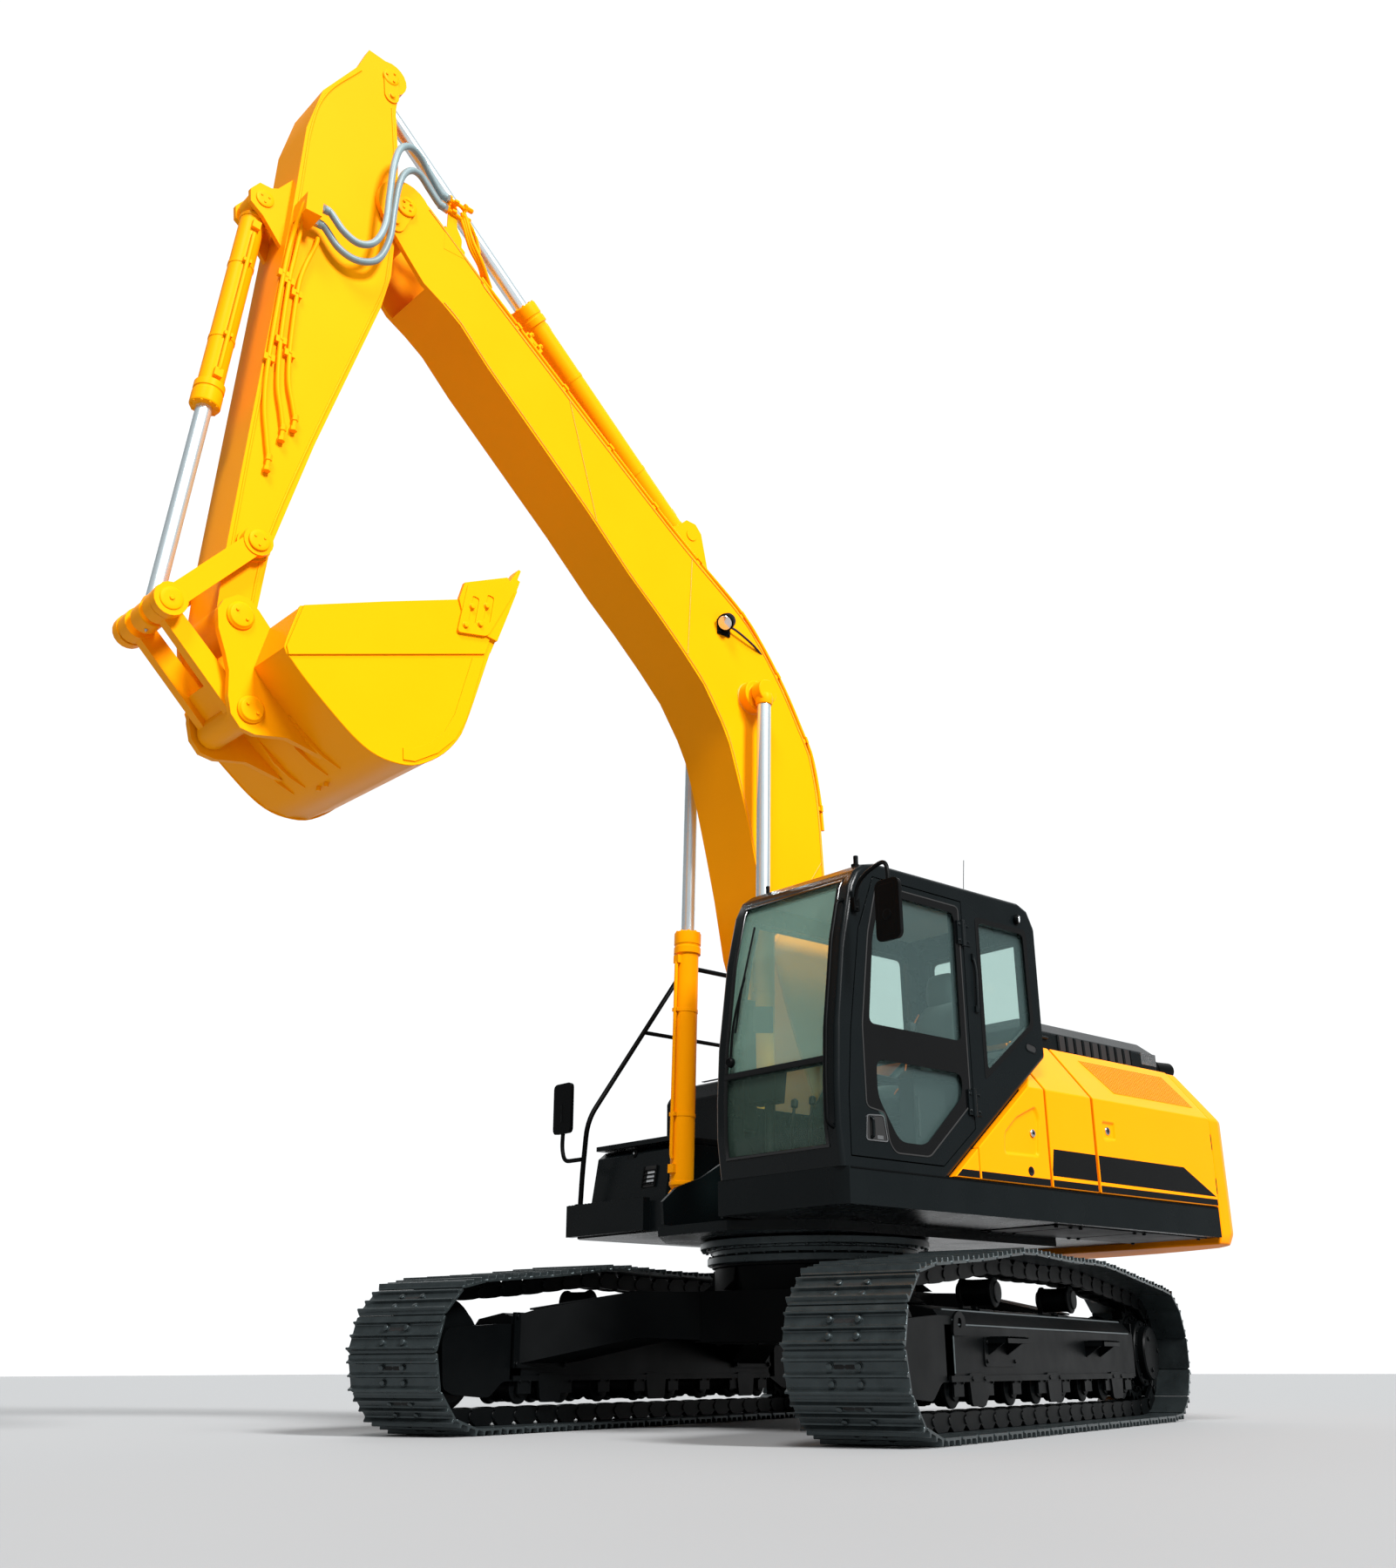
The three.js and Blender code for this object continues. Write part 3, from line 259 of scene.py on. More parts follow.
# bright steel for the side frames' edge welds: painted highlights on the frame's edges
PAINTED_EDGE_HIGHLIGHT = material("worn_edge", (0.10, 0.12, 0.125), rough=0.34, metal=0.6, var=0.3, scale=40)
RUBBER = material("black_rubber", (0.006, 0.006, 0.006), rough=0.7, var=0.2, scale=20, bump=0.2, bump_scale=400)
# chrome rods: partly diffuse and tinted pale blue, a painted reflection of the bright sky on the chrome
CHROME_PAINTED_REFLECTION = material("hard_chrome", (0.74, 0.84, 0.88), rough=0.26, metal=0.78, var=0.02, scale=3, rvar=0.01)
STEEL = material("bright_steel", (0.52, 0.53, 0.54), rough=0.26, metal=1.0, var=0.08, scale=20, bump=0.1, bump_scale=200)
ZINC = material("zinc_bolt", (0.45, 0.44, 0.40), rough=0.35, metal=0.9, var=0.1, scale=40)
HOSE = material("hose_grey", (0.19, 0.26, 0.275), rough=0.42, var=0.12, scale=20, bump=0.25, bump_scale=500)
HOSE_BLACK = material("hose_black", (0.008, 0.008, 0.009), rough=0.5, var=0.15, scale=20, bump=0.3, bump_scale=500)
# near-black fill for holes, slots and recesses: painted shade in the openings
PAINTED_SHADE_FILL = material("dark_void", (0.0025, 0.0025, 0.0027), rough=0.8, var=0.1, scale=3)
AMBER = material("amber_lens", (0.9, 0.25, 0.01), rough=0.15, coat=0.7, var=0.05, scale=9)
LENS = material("lamp_lens", (0.75, 0.78, 0.8), rough=0.08, coat=0.8, var=0.05, scale=30, metal=0.6)
MIRROR = material("mirror_face", (0.75, 0.77, 0.8), rough=0.03, metal=1.0, var=0.01, scale=2, rvar=0.01)
FABRIC = weave("seat_fabric", (0.055, 0.075, 0.072), (0.08, 0.1, 0.1))
PIPING = material("seat_piping", (0.75, 0.16, 0.01), rough=0.7, var=0.08, scale=60, bump=0.3, bump_scale=900)
HEADLINER = material("headliner", (0.20, 0.24, 0.24), rough=0.85, var=0.06, scale=20, bump=0.3, bump_scale=900)
GLASS = glass("cab_glass", (0.88, 0.95, 0.93), 0.13, (0.16, 0.24, 0.24))
# upper and lower front panes: one glass given a brighter and a darker painted reflection
GLASS_FRONT_PAINTED_REFLECTION = glass("cab_glass_front", (0.97, 1.0, 0.98), 0.22, (0.42, 0.70, 0.58))
GLASS_LOWER_PAINTED_REFLECTION = glass("cab_glass_front_lower", (0.86, 0.95, 0.90), 0.07, (0.30, 0.46, 0.38))
RED = material("red_reflector", (0.6, 0.01, 0.01), rough=0.15, coat=0.6, var=0.05, scale=9)


# ---------------------------------------------------------------- mesh making
class Geo:
    def __init__(self):
        self.v, self.f, self.mi = [], [], []

    def add(self, vs, fs, mi=0):
        o = len(self.v)
        self.v += [tuple(p) for p in vs]
        self.f += [tuple(i + o for i in f) for f in fs]
        self.mi += [mi] * len(fs)
        return self

    def box(self, x0, x1, y0, y1, z0, z1, mi=0):
        vs = [(x, y, z) for x in (x0, x1) for y in (y0, y1) for z in (z0, z1)]
        return self.add(vs, [(0, 1, 3, 2), (4, 6, 7, 5), (0, 4, 5, 1), (2, 3, 7, 6), (0, 2, 6, 4), (1, 5, 7, 3)], mi)

    def slab(self, c, u, v, w, mi=0):
        """box round centre c with half-edges u, v, w"""
        c, u, v, w = Vector(c), Vector(u), Vector(v), Vector(w)
        vs = [c + a * u + b * v + d * w for a in (-1, 1) for b in (-1, 1) for d in (-1, 1)]
        return self.add(vs, [(0, 1, 3, 2), (4, 6, 7, 5), (0, 4, 5, 1), (2, 3, 7, 6), (0, 2, 6, 4), (1, 5, 7, 3)], mi)

    def prism(self, pts, axis, a, b, mi=0, holes=()):
        put = {"y": lambda p, t: (p[0], t, p[1]), "x": lambda p, t: (t, p[0], p[1]), "z": lambda p, t: (p[0], p[1], t)}[axis]
        loops = [list(pts)] + [list(h) for h in holes]
        flat = [p for l in loops for p in l]
        n = len(flat)
        vs = [put(p, a) for p in flat] + [put(p, b) for p in flat]
        fs = []
        if holes:
            tris = tessellate_polygon([[Vector((p[0], p[1], 0)) for p in l] for l in loops])
            fs += [tuple(t) for t in tris] + [tuple(i + n for i in reversed(t)) for t in tris]
        else:
            fs += [tuple(range(n)), tuple(reversed(range(n, 2 * n)))]
        o = 0
        for l in loops:
            m = len(l)
            fs += [(o + i, o + (i + 1) % m, n + o + (i + 1) % m, n + o + i) for i in range(m)]
            o += m
        return self.add(vs, fs, mi)

    def ring(self, outer, inner, axis, a, b, mi=0):
        """flat border between two outlines with the same number of corners"""
        put = {"y": lambda p, t: (p[0], t, p[1]), "x": lambda p, t: (t, p[0], p[1]), "z": lambda p, t: (p[0], p[1], t)}[axis]
        n = len(outer)
        vs = [put(p, a) for p in outer] + [put(p, a) for p in inner] + [put(p, b) for p in inner] + [put(p, b) for p in outer]
        fs = []
        for k in range(4):
            o, q = k * n, ((k + 1) % 4) * n
            fs += [(o + i, o + (i + 1) % n, q + (i + 1) % n, q + i) for i in range(n)]
        return self.add(vs, fs, mi)

    def loft(self, rings, mi=0, closed=False):
        n = len(rings[0])
        vs = [p for r in rings for p in r]
        fs = []
        m = len(rings)
        for k in range(m if closed else m - 1):
            a, b = k * n, ((k + 1) % m) * n
            fs += [(a + i, a + (i + 1) % n, b + (i + 1) % n, b + i) for i in range(n)]
        if not closed:
            fs += [tuple(range(n)), tuple(reversed(range((m - 1) * n, m * n)))]
        return self.add(vs, fs, mi)

    def frame(self, d):
        d = Vector(d).normalized()
        a = Vector((0, 0, 1)) if abs(d.z) < 0.9 else Vector((1, 0, 0))
        u = a.cross(d).normalized()
        return d, u, d.cross(u)

    def turn(self, c, d, profile, n=24, mi=0, start=0.0):
        """profile of (radius, distance along d from c) turned about d; ends closed"""
        c = Vector(c)
        d, u, v = self.frame(d)
        rings = []
        for r, h in profile:
            r = max(r, 0.01)
            rings.append([c + d * h + u * (r * math.cos(start + 2 * math.pi * i / n)) + v * (r * math.sin(start + 2 * math.pi * i / n)) for i in range(n)])
        return self.loft(rings, mi)

    def rod(self, p, q, r, n=20, mi=0, chamfer=0.0, r2=None):
        p, q = Vector(p), Vector(q)
        L = (q - p).length
        r2 = r if r2 is None else r2
        if chamfer:
            prof = [(r - chamfer, 0), (r, chamfer), (r2, L - chamfer), (r2 - chamfer, L)]
        else:
            prof = [(r, 0), (r2, L)]
        return self.turn(p, q - p, prof, n, mi)

    def pin(self, xz, y0, y1, r, n=28, mi=0, chamfer=3.0):
        return self.rod((xz[0], y0, xz[1]), (xz[0], y1, xz[1]), r, n, mi, chamfer)

    def bolt(self, p, d, r=14, h=10, mi=0, washer=True):
        if washer:
            self.turn(p, d, [(r * 1.35, 0), (r * 1.35, h * 0.22), (r * 1.2, h * 0.28)], 14, mi)
        return self.turn(Vector(p) + Vector(d).normalized() * h * 0.2, d, [(r, 0), (r, h * 0.8), (r * 0.85, h)], 6, mi)

    def dome(self, p, d, r=18, h=12, n=14, mi=0):
        prof = [(r, 0)] + [(r * math.cos(a), h * math.sin(a)) for a in (0.25, 0.6, 0.95, 1.3)]
        return self.turn(p, d, prof, n, mi)

    def tube(self, pts, r, n=10, mi=0, steps=None, smooth=True, closed_ends=True):
        pts = [Vector(p) for p in pts]
        if smooth and len(pts) > 2:
            pts = spline(pts, steps or 6 * (len(pts) - 1))
        rings = []
        t0 = (pts[1] - pts[0]).normalized()
        d, u, v = self.frame(t0)
        for i, p in enumerate(pts):
            if i == 0:
                t = pts[1] - pts[0]
            elif i == len(pts) - 1:
                t = pts[-1] - pts[-2]
            else:
                t = (pts[i + 1] - pts[i]).normalized() + (pts[i] - pts[i - 1]).normalized()
            t.normalize()
            u = (u - t * u.dot(t)).normalized()
            w = t.cross(u)
            rings.append([p + u * (r * math.cos(2 * math.pi * k / n)) + w * (r * math.sin(2 * math.pi * k / n)) for k in range(n)])
        return self.loft(rings, mi)

    def bent(self, pts, r, n=10, mi=0, fillet=60, arc=5):
        """tube of straight runs whose corners are rounded"""
        pts = [Vector(p) for p in pts]
        out = [pts[0]]
        for i in range(1, len(pts) - 1):
            a, b, c = pts[i - 1], pts[i], pts[i + 1]
            f = min(fillet, (a - b).length * 0.45, (c - b).length * 0.45)
            s, e = b + (a - b).normalized() * f, b + (c - b).normalized() * f
            for k in range(arc + 1):
                t = k / arc
                out.append(s * (1 - t) ** 2 + b * 2 * t * (1 - t) + e * t * t)
        out.append(pts[-1])
        return self.tube(out, r, n, mi, smooth=False)


def spline(pts, steps):
    """even points along a curve through pts"""
    P = [2 * pts[0] - pts[1]] + pts + [2 * pts[-1] - pts[-2]]
    dense = []
    for i in range(1, len(P) - 2):
        for k in range(12):
            t = k / 12
            a, b, c, d = P[i - 1], P[i], P[i + 1], P[i + 2]
            dense.append(0.5 * ((2 * b) + (c - a) * t + (2 * a - 5 * b + 4 * c - d) * t * t + (3 * b - a - 3 * c + d) * t ** 3))
    dense.append(pts[-1])
    S = [0]
    for i in range(1, len(dense)):
        S.append(S[-1] + (dense[i] - dense[i - 1]).length)
    out, j = [], 0
    for k in range(steps + 1):
        s = S[-1] * k / steps
        while j < len(S) - 2 and S[j + 1] < s:
            j += 1
        f = 0 if S[j + 1] == S[j] else (s - S[j]) / (S[j + 1] - S[j])
        out.append(dense[j].lerp(dense[j + 1], min(1, f)))
    return out


def finish_mesh(name, me, mats, body, bevel=0.0, segs=2, angle=40.0, smooth=32.0, subdiv=0, slot=None):
    if len(me.materials):
        me.materials.clear()
    for m in mats:
        me.materials.append(m)
    ob = bpy.data.objects.new(name, me)
    bpy.context.scene.collection.objects.link(ob)
    if bevel or subdiv:
        if bevel:
            mod = ob.modifiers.new("edge", "BEVEL")
            mod.width = bevel * 0.001
            mod.segments = segs
            mod.limit_method = "ANGLE"
            mod.angle_limit = math.radians(angle)
            mod.use_clamp_overlap = True
            mod.miter_outer = "MITER_ARC"
        if subdiv:
            mod = ob.modifiers.new("sub", "SUBSURF")
            mod.levels = mod.render_levels = subdiv
        dg = bpy.context.evaluated_depsgraph_get()
        new = bpy.data.meshes.new_from_object(ob.evaluated_get(dg))
        ob.modifiers.clear()
        old, ob.data = ob.data, new
        bpy.data.meshes.remove(old)
        new.name = name
        me = new
    me.polygons.foreach_set("use_smooth", [True] * len(me.polygons))
    me.set_sharp_from_angle(angle=math.radians(smooth))
    if bevel:
        mod = ob.modifiers.new("flat", "WEIGHTED_NORMAL")
        mod.keep_sharp = True
        mod.weight = 90
        dg = bpy.context.evaluated_depsgraph_get()
        new = bpy.data.meshes.new_from_object(ob.evaluated_get(dg))
        ob.modifiers.clear()
        old, ob.data = ob.data, new
        bpy.data.meshes.remove(old)
        new.name = name
        me = new
    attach(ob, body)
    return ob


def make(geo, name, mats, body, M=HOUSE, **kw):
    me = bpy.data.meshes.new(name)
    me.from_pydata([tuple(p) for p in geo.v], [], geo.f)
    me.polygons.foreach_set("material_index", geo.mi)
    bm = bmesh.new()
    bm.from_mesh(me)
    bmesh.ops.recalc_face_normals(bm, faces=bm.faces)
    bm.to_mesh(me)
    bm.free()
    me.transform(M)
    return finish_mesh(name, me, mats, body, **kw)


BACK = {"H": HOUSE.inverted(), "U": UNDER.inverted()}


def refined(node, name, mats, body, bevel=6.0, segs=2, angle=28.0, smooth=32.0, cutters=(), wide=0.0, pick=None, merge=True, **kw):
    """softened copy of a CAD node, which it replaces; cutters are taken out of it first, and the
    edges chosen by pick get the wide rounding before the rest get theirs"""
    src = NODES[node].data
    bm = bmesh.new()
    bm.from_mesh(src)
    bmesh.ops.remove_doubles(bm, verts=bm.verts, dist=2e-5)
    if merge:
        bmesh.ops.dissolve_limit(bm, angle_limit=math.radians(0.6), verts=bm.verts, edges=bm.edges)
    bm.normal_update()
    vs = [v.co.copy() for v in bm.verts]
    bm.verts.index_update()
    fs = [[v.index for v in f.verts] for f in bm.faces]
    bm.free()
    me = bpy.data.meshes.new(name)
    me.from_pydata(vs, [], fs)
    me.validate()
    if cutters:
        ob = bpy.data.objects.new("work", me)
        bpy.context.scene.collection.objects.link(ob)
        tools = []
        for c in cutters:
            cm = bpy.data.meshes.new("cutter")
            cm.from_pydata([tuple(p) for p in c.v], [], c.f)
            bm = bmesh.new()
            bm.from_mesh(cm)
            bmesh.ops.recalc_face_normals(bm, faces=bm.faces)
            bm.to_mesh(cm)
            bm.free()
            cm.transform(HOUSE)
            t = bpy.data.objects.new("cutter", cm)
            bpy.context.scene.collection.objects.link(t)
            tools.append(t)
            mod = ob.modifiers.new("cut", "BOOLEAN")
            mod.operation = "DIFFERENCE"
            mod.solver = "EXACT"
            mod.object = t
        dg = bpy.context.evaluated_depsgraph_get()
        new = bpy.data.meshes.new_from_object(ob.evaluated_get(dg))
        bpy.data.objects.remove(ob)
        for t in tools:
            bpy.data.objects.remove(t)
        bm = bmesh.new()
        bm.from_mesh(new)
        bmesh.ops.remove_doubles(bm, verts=bm.verts, dist=2e-5)
        bmesh.ops.dissolve_limit(bm, angle_limit=math.radians(0.6), verts=bm.verts, edges=bm.edges)
        bm.to_mesh(new)
        bm.free()
        me = new
    if pick:
        ob = bpy.data.objects.new("work", me)
        bpy.context.scene.collection.objects.link(ob)
        att = me.attributes.new("bevel_weight_edge", "FLOAT", "EDGE")
        inv = HOUSE.inverted()
        co = [inv @ v.co for v in me.vertices]
        att.data.foreach_set("value", [1.0 if pick(co[e.vertices[0]], co[e.vertices[1]]) else 0.0 for e in me.edges])
        mod = ob.modifiers.new("wide", "BEVEL")
        mod.width = wide * 0.001
        mod.segments = 4
        mod.limit_method = "WEIGHT"
        mod.use_clamp_overlap = False
        dg = bpy.context.evaluated_depsgraph_get()
        new = bpy.data.meshes.new_from_object(ob.evaluated_get(dg))
        bpy.data.objects.remove(ob)
        att = new.attributes.get("bevel_weight_edge")
        if att:
            new.attributes.remove(att)
        me = new
    me.name = name
    ob = finish_mesh(name, me, mats, body, bevel=bevel, segs=segs, angle=angle, smooth=smooth, **kw)
    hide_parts(node)
    return ob


def skin(node, mat):
    d = NODES[node].data
    d.materials.clear()
    d.materials.append(mat)


def circle(c, r, n=24, start=0.0):
    return [(c[0] + r * math.cos(start + 2 * math.pi * i / n), c[1] + r * math.sin(start + 2 * math.pi * i / n)) for i in range(n)]


def oval(c, half, r, n=8, tilt=0.0):
    """slot outline: two half circles of radius r, centres half apart from c"""
    out = []
    for s in (1, -1):
        for i in range(n + 1):
            a = (-90 + 180 * i / n) if s > 0 else (90 + 180 * i / n)
            a = math.radians(a)
            x, y = s * half + r * math.cos(a), r * math.sin(a)
            out.append((c[0] + x * math.cos(tilt) - y * math.sin(tilt), c[1] + x * math.sin(tilt) + y * math.cos(tilt)))
    return out


def strip_ring(pts, w0, w1):
    """outline grown by w0 and shrunk by w1: used for raised borders"""
    def grown(d):
        n = len(pts)
        area = sum(pts[i][0] * pts[(i + 1) % n][1] - pts[(i + 1) % n][0] * pts[i][1] for i in range(n))
        s = 1 if area > 0 else -1
        out = []
        for i in range(n):
            a, b, c = pts[i - 1], pts[i], pts[(i + 1) % n]
            e1, e2 = (b[0] - a[0], b[1] - a[1]), (c[0] - b[0], c[1] - b[1])
            l1, l2 = math.hypot(*e1) or 1, math.hypot(*e2) or 1
            n1, n2 = (s * e1[1] / l1, -s * e1[0] / l1), (s * e2[1] / l2, -s * e2[0] / l2)
            k = max(0.3, 1 + n1[0] * n2[0] + n1[1] * n2[1])
            out.append((b[0] + (n1[0] + n2[0]) * d / k, b[1] + (n1[1] + n2[1]) * d / k))
        return out
    return grown(w0), grown(-w1)


def rounded(pts, r, n=5):
    """polygon with its corners rounded"""
    out = []
    m = len(pts)
    for i in range(m):
        a, b, c = Vector(pts[i - 1]), Vector(pts[i]), Vector(pts[(i + 1) % m])
        f = min(r, (a - b).length * 0.45, (c - b).length * 0.45)
        s, e = b + (a - b).normalized() * f, b + (c - b).normalized() * f
        for k in range(n + 1):
            t = k / n
            p = s * (1 - t) ** 2 + b * 2 * t * (1 - t) + e * t * t
            out.append((p.x, p.y))
    return out

# ================================================================ free hoses from boom to arm
HOSES = [
    [(3192, 238, 7052), (3240, 239, 7052), (3330, 252, 7130), (3420, 270, 7210), (3510, 292, 7225), (3590, 312, 7150),
     (3628, 320, 6990), (3640, 322, 6760), (3650, 320, 6540), (3705, 316, 6390), (3800, 312, 6330), (3900, 306, 6365),
     (3990, 300, 6452), (4048, 300, 6455)],
    [(3192, 216, 6992), (3240, 218, 6992), (3320, 228, 7050), (3400, 242, 7105), (3470, 256, 7095), (3530, 266, 7020),
     (3560, 270, 6900), (3575, 270, 6720), (3588, 266, 6500), (3650, 260, 6330), (3770, 254, 6262), (3890, 246, 6290),
     (3990, 235, 6395), (4048, 235, 6398)],
]
for i, pts in enumerate(HOSES):
    line = spline([Vector(p) for p in pts], 96)
    g = Geo().tube(line, 21, 20, smooth=False)
    ob = make(g, f"boom_to_arm_hose_{i + 1}", [HOSE], "boom", smooth=50, slot="hose_rubber")
    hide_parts(f"arm_hose_{i + 1}")
    row = [HOUSE @ p for p in line]
    length = sum((b - a).length for a, b in zip(row, row[1:]))
    ob.parent = None
    tuple(row[0])
    tuple(row[-1])
    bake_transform(ob)
    tuple(row[0])
    [tuple(p) for p in row]
    print("hose", i + 1, round(length, 4))

g = Geo()
for i, pts in enumerate(HOSES):
    p, q = Vector(pts[0]), Vector(pts[1])
    d = (q - p).normalized()
    g.turn(p - d * 1, d, [(24, 0), (27, 2), (27, 20), (24, 22)], 6, 1)
    g.turn(p + d * 20, d, [(25, 0), (25.5, 4), (24, 8), (25.5, 14), (24, 20), (25.5, 26), (23, 30)], 20, 0)
make(g, "hose_fittings_on_boom", [HOSE, ZINC], "boom", smooth=40)
g = Geo()
for i, pts in enumerate(HOSES):
    p, q = Vector(pts[-1]), Vector(pts[-2])
    d = (q - p).normalized()
    g.turn(p - d * 1, d, [(24, 0), (27, 2), (27, 20), (24, 22)], 6, 1)
    g.turn(p + d * 20, d, [(25, 0), (25.5, 4), (24, 8), (25.5, 14), (24, 20), (25.5, 26), (23, 30)], 20, 0)
make(g, "hose_fittings_on_arm", [HOSE, ZINC], "arm", smooth=40)

# ================================================================ undercarriage
GAUGE, SHOES = 2590, 51
IDLER, SPROCKET = (1950, 400), (-1950, 410)


def shoe_line(n):
    pts = []

    def arc(c, r, a0, a1):
        for i in range(n + 1):
            a = math.radians(a0 + (a1 - a0) * i / n)
            pts.append(Vector((c[0] + r * math.cos(a), c[1] + r * math.sin(a))))
    arc(IDLER, 374, -90, 94)
    for p in [(1300, 824), (950, 862), (650, 893), (300, 887), (0, 883), (-300, 887), (-600, 893), (-950, 872), (-1300, 842)]:
        pts.append(Vector(p))
    arc(SPROCKET, 384, 87, 270)
    return pts


LINE = shoe_line(40)
RUN = [0.0]
for i, p in enumerate(LINE):
    RUN.append(RUN[-1] + (LINE[(i + 1) % len(LINE)] - p).length)
PITCH = RUN[-1] / SHOES


def on_line(d):
    d %= RUN[-1]
    i = 0
    while RUN[i + 1] < d:
        i += 1
    f = (d - RUN[i]) / (RUN[i + 1] - RUN[i])
    return LINE[i].lerp(LINE[(i + 1) % len(LINE)], f)


K = PITCH / 190
SHOE = [(-7 * K, -9), (-9 * K, -3), (-5 * K, 2), (2 * K, 4), (6 * K, 25.5), (14 * K, 25.5), (20 * K, 5), (27 * K, 1), (62 * K, 1), (67 * K, 5),
        (71 * K, 21), (79 * K, 21), (84 * K, 5), (90 * K, 1), (127 * K, 1), (132 * K, 5), (136 * K, 21), (144 * K, 21), (149 * K, 5), (155 * K, 1), (170 * K, 0),
        (178 * K, -5), (180 * K, -11), (172 * K, -12), (10 * K, -11)]
for side, word in ((1, "left"), (-1, "right")):
    yc = side * GAUGE / 2
    g, bolts, chain = Geo(), Geo(), Geo()
    for i in range(SHOES):
        a, b = on_line(i * PITCH), on_line((i + 1) * PITCH)
        t = (b - a).normalized()
        n = Vector((t.y, -t.x))

        def at(s, y, h, a=a, t=t, n=n):
            p = a + t * s + n * h
            return (p.x, y, p.y)
        m = len(SHOE)
        # the plate's corners are clipped at both ends
        rings = []
        for yy, cut_ in ((-300, 10 * K), (-288, 0), (288, 0), (300, 10 * K)):
            rings.append([at(min(max(s, -9 * K + cut_), 180 * K - cut_), yc + yy, h) for s, h in SHOE])
        g.loft(rings)
        for s0 in (41 * K, 112 * K):
            for y0 in (-70, 70):
                p = at(s0, yc + y0, 1)
                bolts.turn(p, (n.x, 0, n.y), [(19, 0), (19, 3), (15.5, 3.4), (15.5, 13), (13, 15)], 12)
        for y0 in (-21, 21):
            o = [(76 * K + 0, 0)]
            ring = oval((109 * K, yc + y0 * 0), 0, 0.1)
        # the shoe's mud holes: dark ovals in painted shade, flush with the plate
        for y0 in (-27, 27):
            c = oval((0, 0), 16, 11, 5, math.pi / 2)
            low = [at(108 * K + u * 0.9, yc + y0 * 1.0 + v, 0.6) for u, v in c]
            high = [at(108 * K + u * 0.9, yc + y0 * 1.0 + v, 1.7) for u, v in c]
            bolts.loft([low, high], 1)
        for y0 in (-72, 72):
            prof = [(-20, -62), (-8, -92), (14, -100), (60, -104), (130, -104), (176, -100), (198, -92), (205, -66), (196, -42), (176, -30), (150, -12), (40, -12), (14, -30), (-8, -42)]
            off = 10 if y0 > 0 else -10
            lo = [at(s * K, yc + y0 - 14, h) for s, h in prof]
            hi = [at(s * K, yc + y0 + 14, h) for s, h in prof]
            chain.loft([lo, hi])
        p, q = at(0, yc - 92, -64), at(0, yc + 92, -64)
        chain.rod(p, q, 22, 12)
        chain.rod(at(0, yc - 60, -64), at(0, yc + 60, -64), 33, 14)
    ob = make(g, f"track_shoes_{word}", [TRACK], "undercarriage", UNDER, bevel=1.6, segs=1, angle=25, smooth=40, slot="track_steel")
    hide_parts(f"track_{word}")
    make(bolts, f"track_bolts_{word}", [TRACK, PAINTED_SHADE_FILL], "undercarriage", UNDER, smooth=40, slot="track_steel")
    make(chain, f"track_chain_{word}", [BLACK], "undercarriage", UNDER, bevel=2.5, segs=1, smooth=40, slot="track_steel")

    # final drive and its sprocket
    s = side
    g = Geo()
    teeth = []
    for i in range(21):
        for f, r in ((0.02, 262), (0.16, 259), (0.3, 262), (0.38, 282), (0.45, 300), (0.55, 300), (0.62, 282)):
            a = 2 * math.pi * (i + f) / 21
            teeth.append((SPROCKET[0] + r * math.cos(a), SPROCKET[1] + r * math.sin(a)))
    g.prism(teeth, "y", yc - 34, yc + 34)
    c = (SPROCKET[0], s * 1184.5, SPROCKET[1])
    g.turn(c, (0, s, 0), [(190, 0), (205, 8), (205, 62), (236, 66), (236, 150), (228, 156), (200, 158), (200, 212), (192, 220), (165, 224),
                          (165, 262), (158, 272), (120, 276), (60, 277)], 48)
    for k in range(20):
        a = 2 * math.pi * k / 20
        g.bolt((SPROCKET[0] + 218 * math.cos(a), s * (1184.5 + 155), SPROCKET[1] + 218 * math.sin(a)), (0, s, 0), 12, 13)
    for k in range(12):
        a = 2 * math.pi * (k + 0.5) / 12
        g.bolt((SPROCKET[0] + 182 * math.cos(a), s * (1184.5 + 218), SPROCKET[1] + 182 * math.sin(a)), (0, s, 0), 9, 10)
    for a in (0.9, 3.0, 5.1):
        g.bolt((SPROCKET[0] + 110 * math.cos(a), s * (1184.5 + 275), SPROCKET[1] + 110 * math.sin(a)), (0, s, 0), 14, 9)
    ob = make(g, f"final_drive_{word}", [BLACK], "undercarriage", UNDER, bevel=3, segs=2, angle=50, slot="black_paint")
    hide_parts(f"sprocket_{word}")

    g = Geo()
    g.turn((IDLER[0], yc - 95, IDLER[1]), (0, 1, 0), [(150, -6), (205, -3), (238, 0), (244, 4), (244, 50), (288, 58), (292, 64), (292, 126), (288, 132), (244, 140), (244, 186), (238, 190), (205, 193), (150, 196)], 56)
    g.turn((IDLER[0], yc - 104.5, IDLER[1]), (0, 1, 0), [(104, 0), (110, 5), (110, 204), (104, 209)], 32)
    for k in range(6):
        a = 2 * math.pi * k / 6
        for e in (-1, 1):
            g.bolt((IDLER[0] + 80 * math.cos(a), yc + e * 104, IDLER[1] + 80 * math.sin(a)), (0, e, 0), 10, 6)
    ob = make(g, f"front_idler_{word}", [BLACK], "undercarriage", UNDER, bevel=2, segs=2, angle=50, slot="black_paint")
    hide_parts(f"idler_{word}")

    # side frame
    g = Geo()
    Y = lambda y: s * y

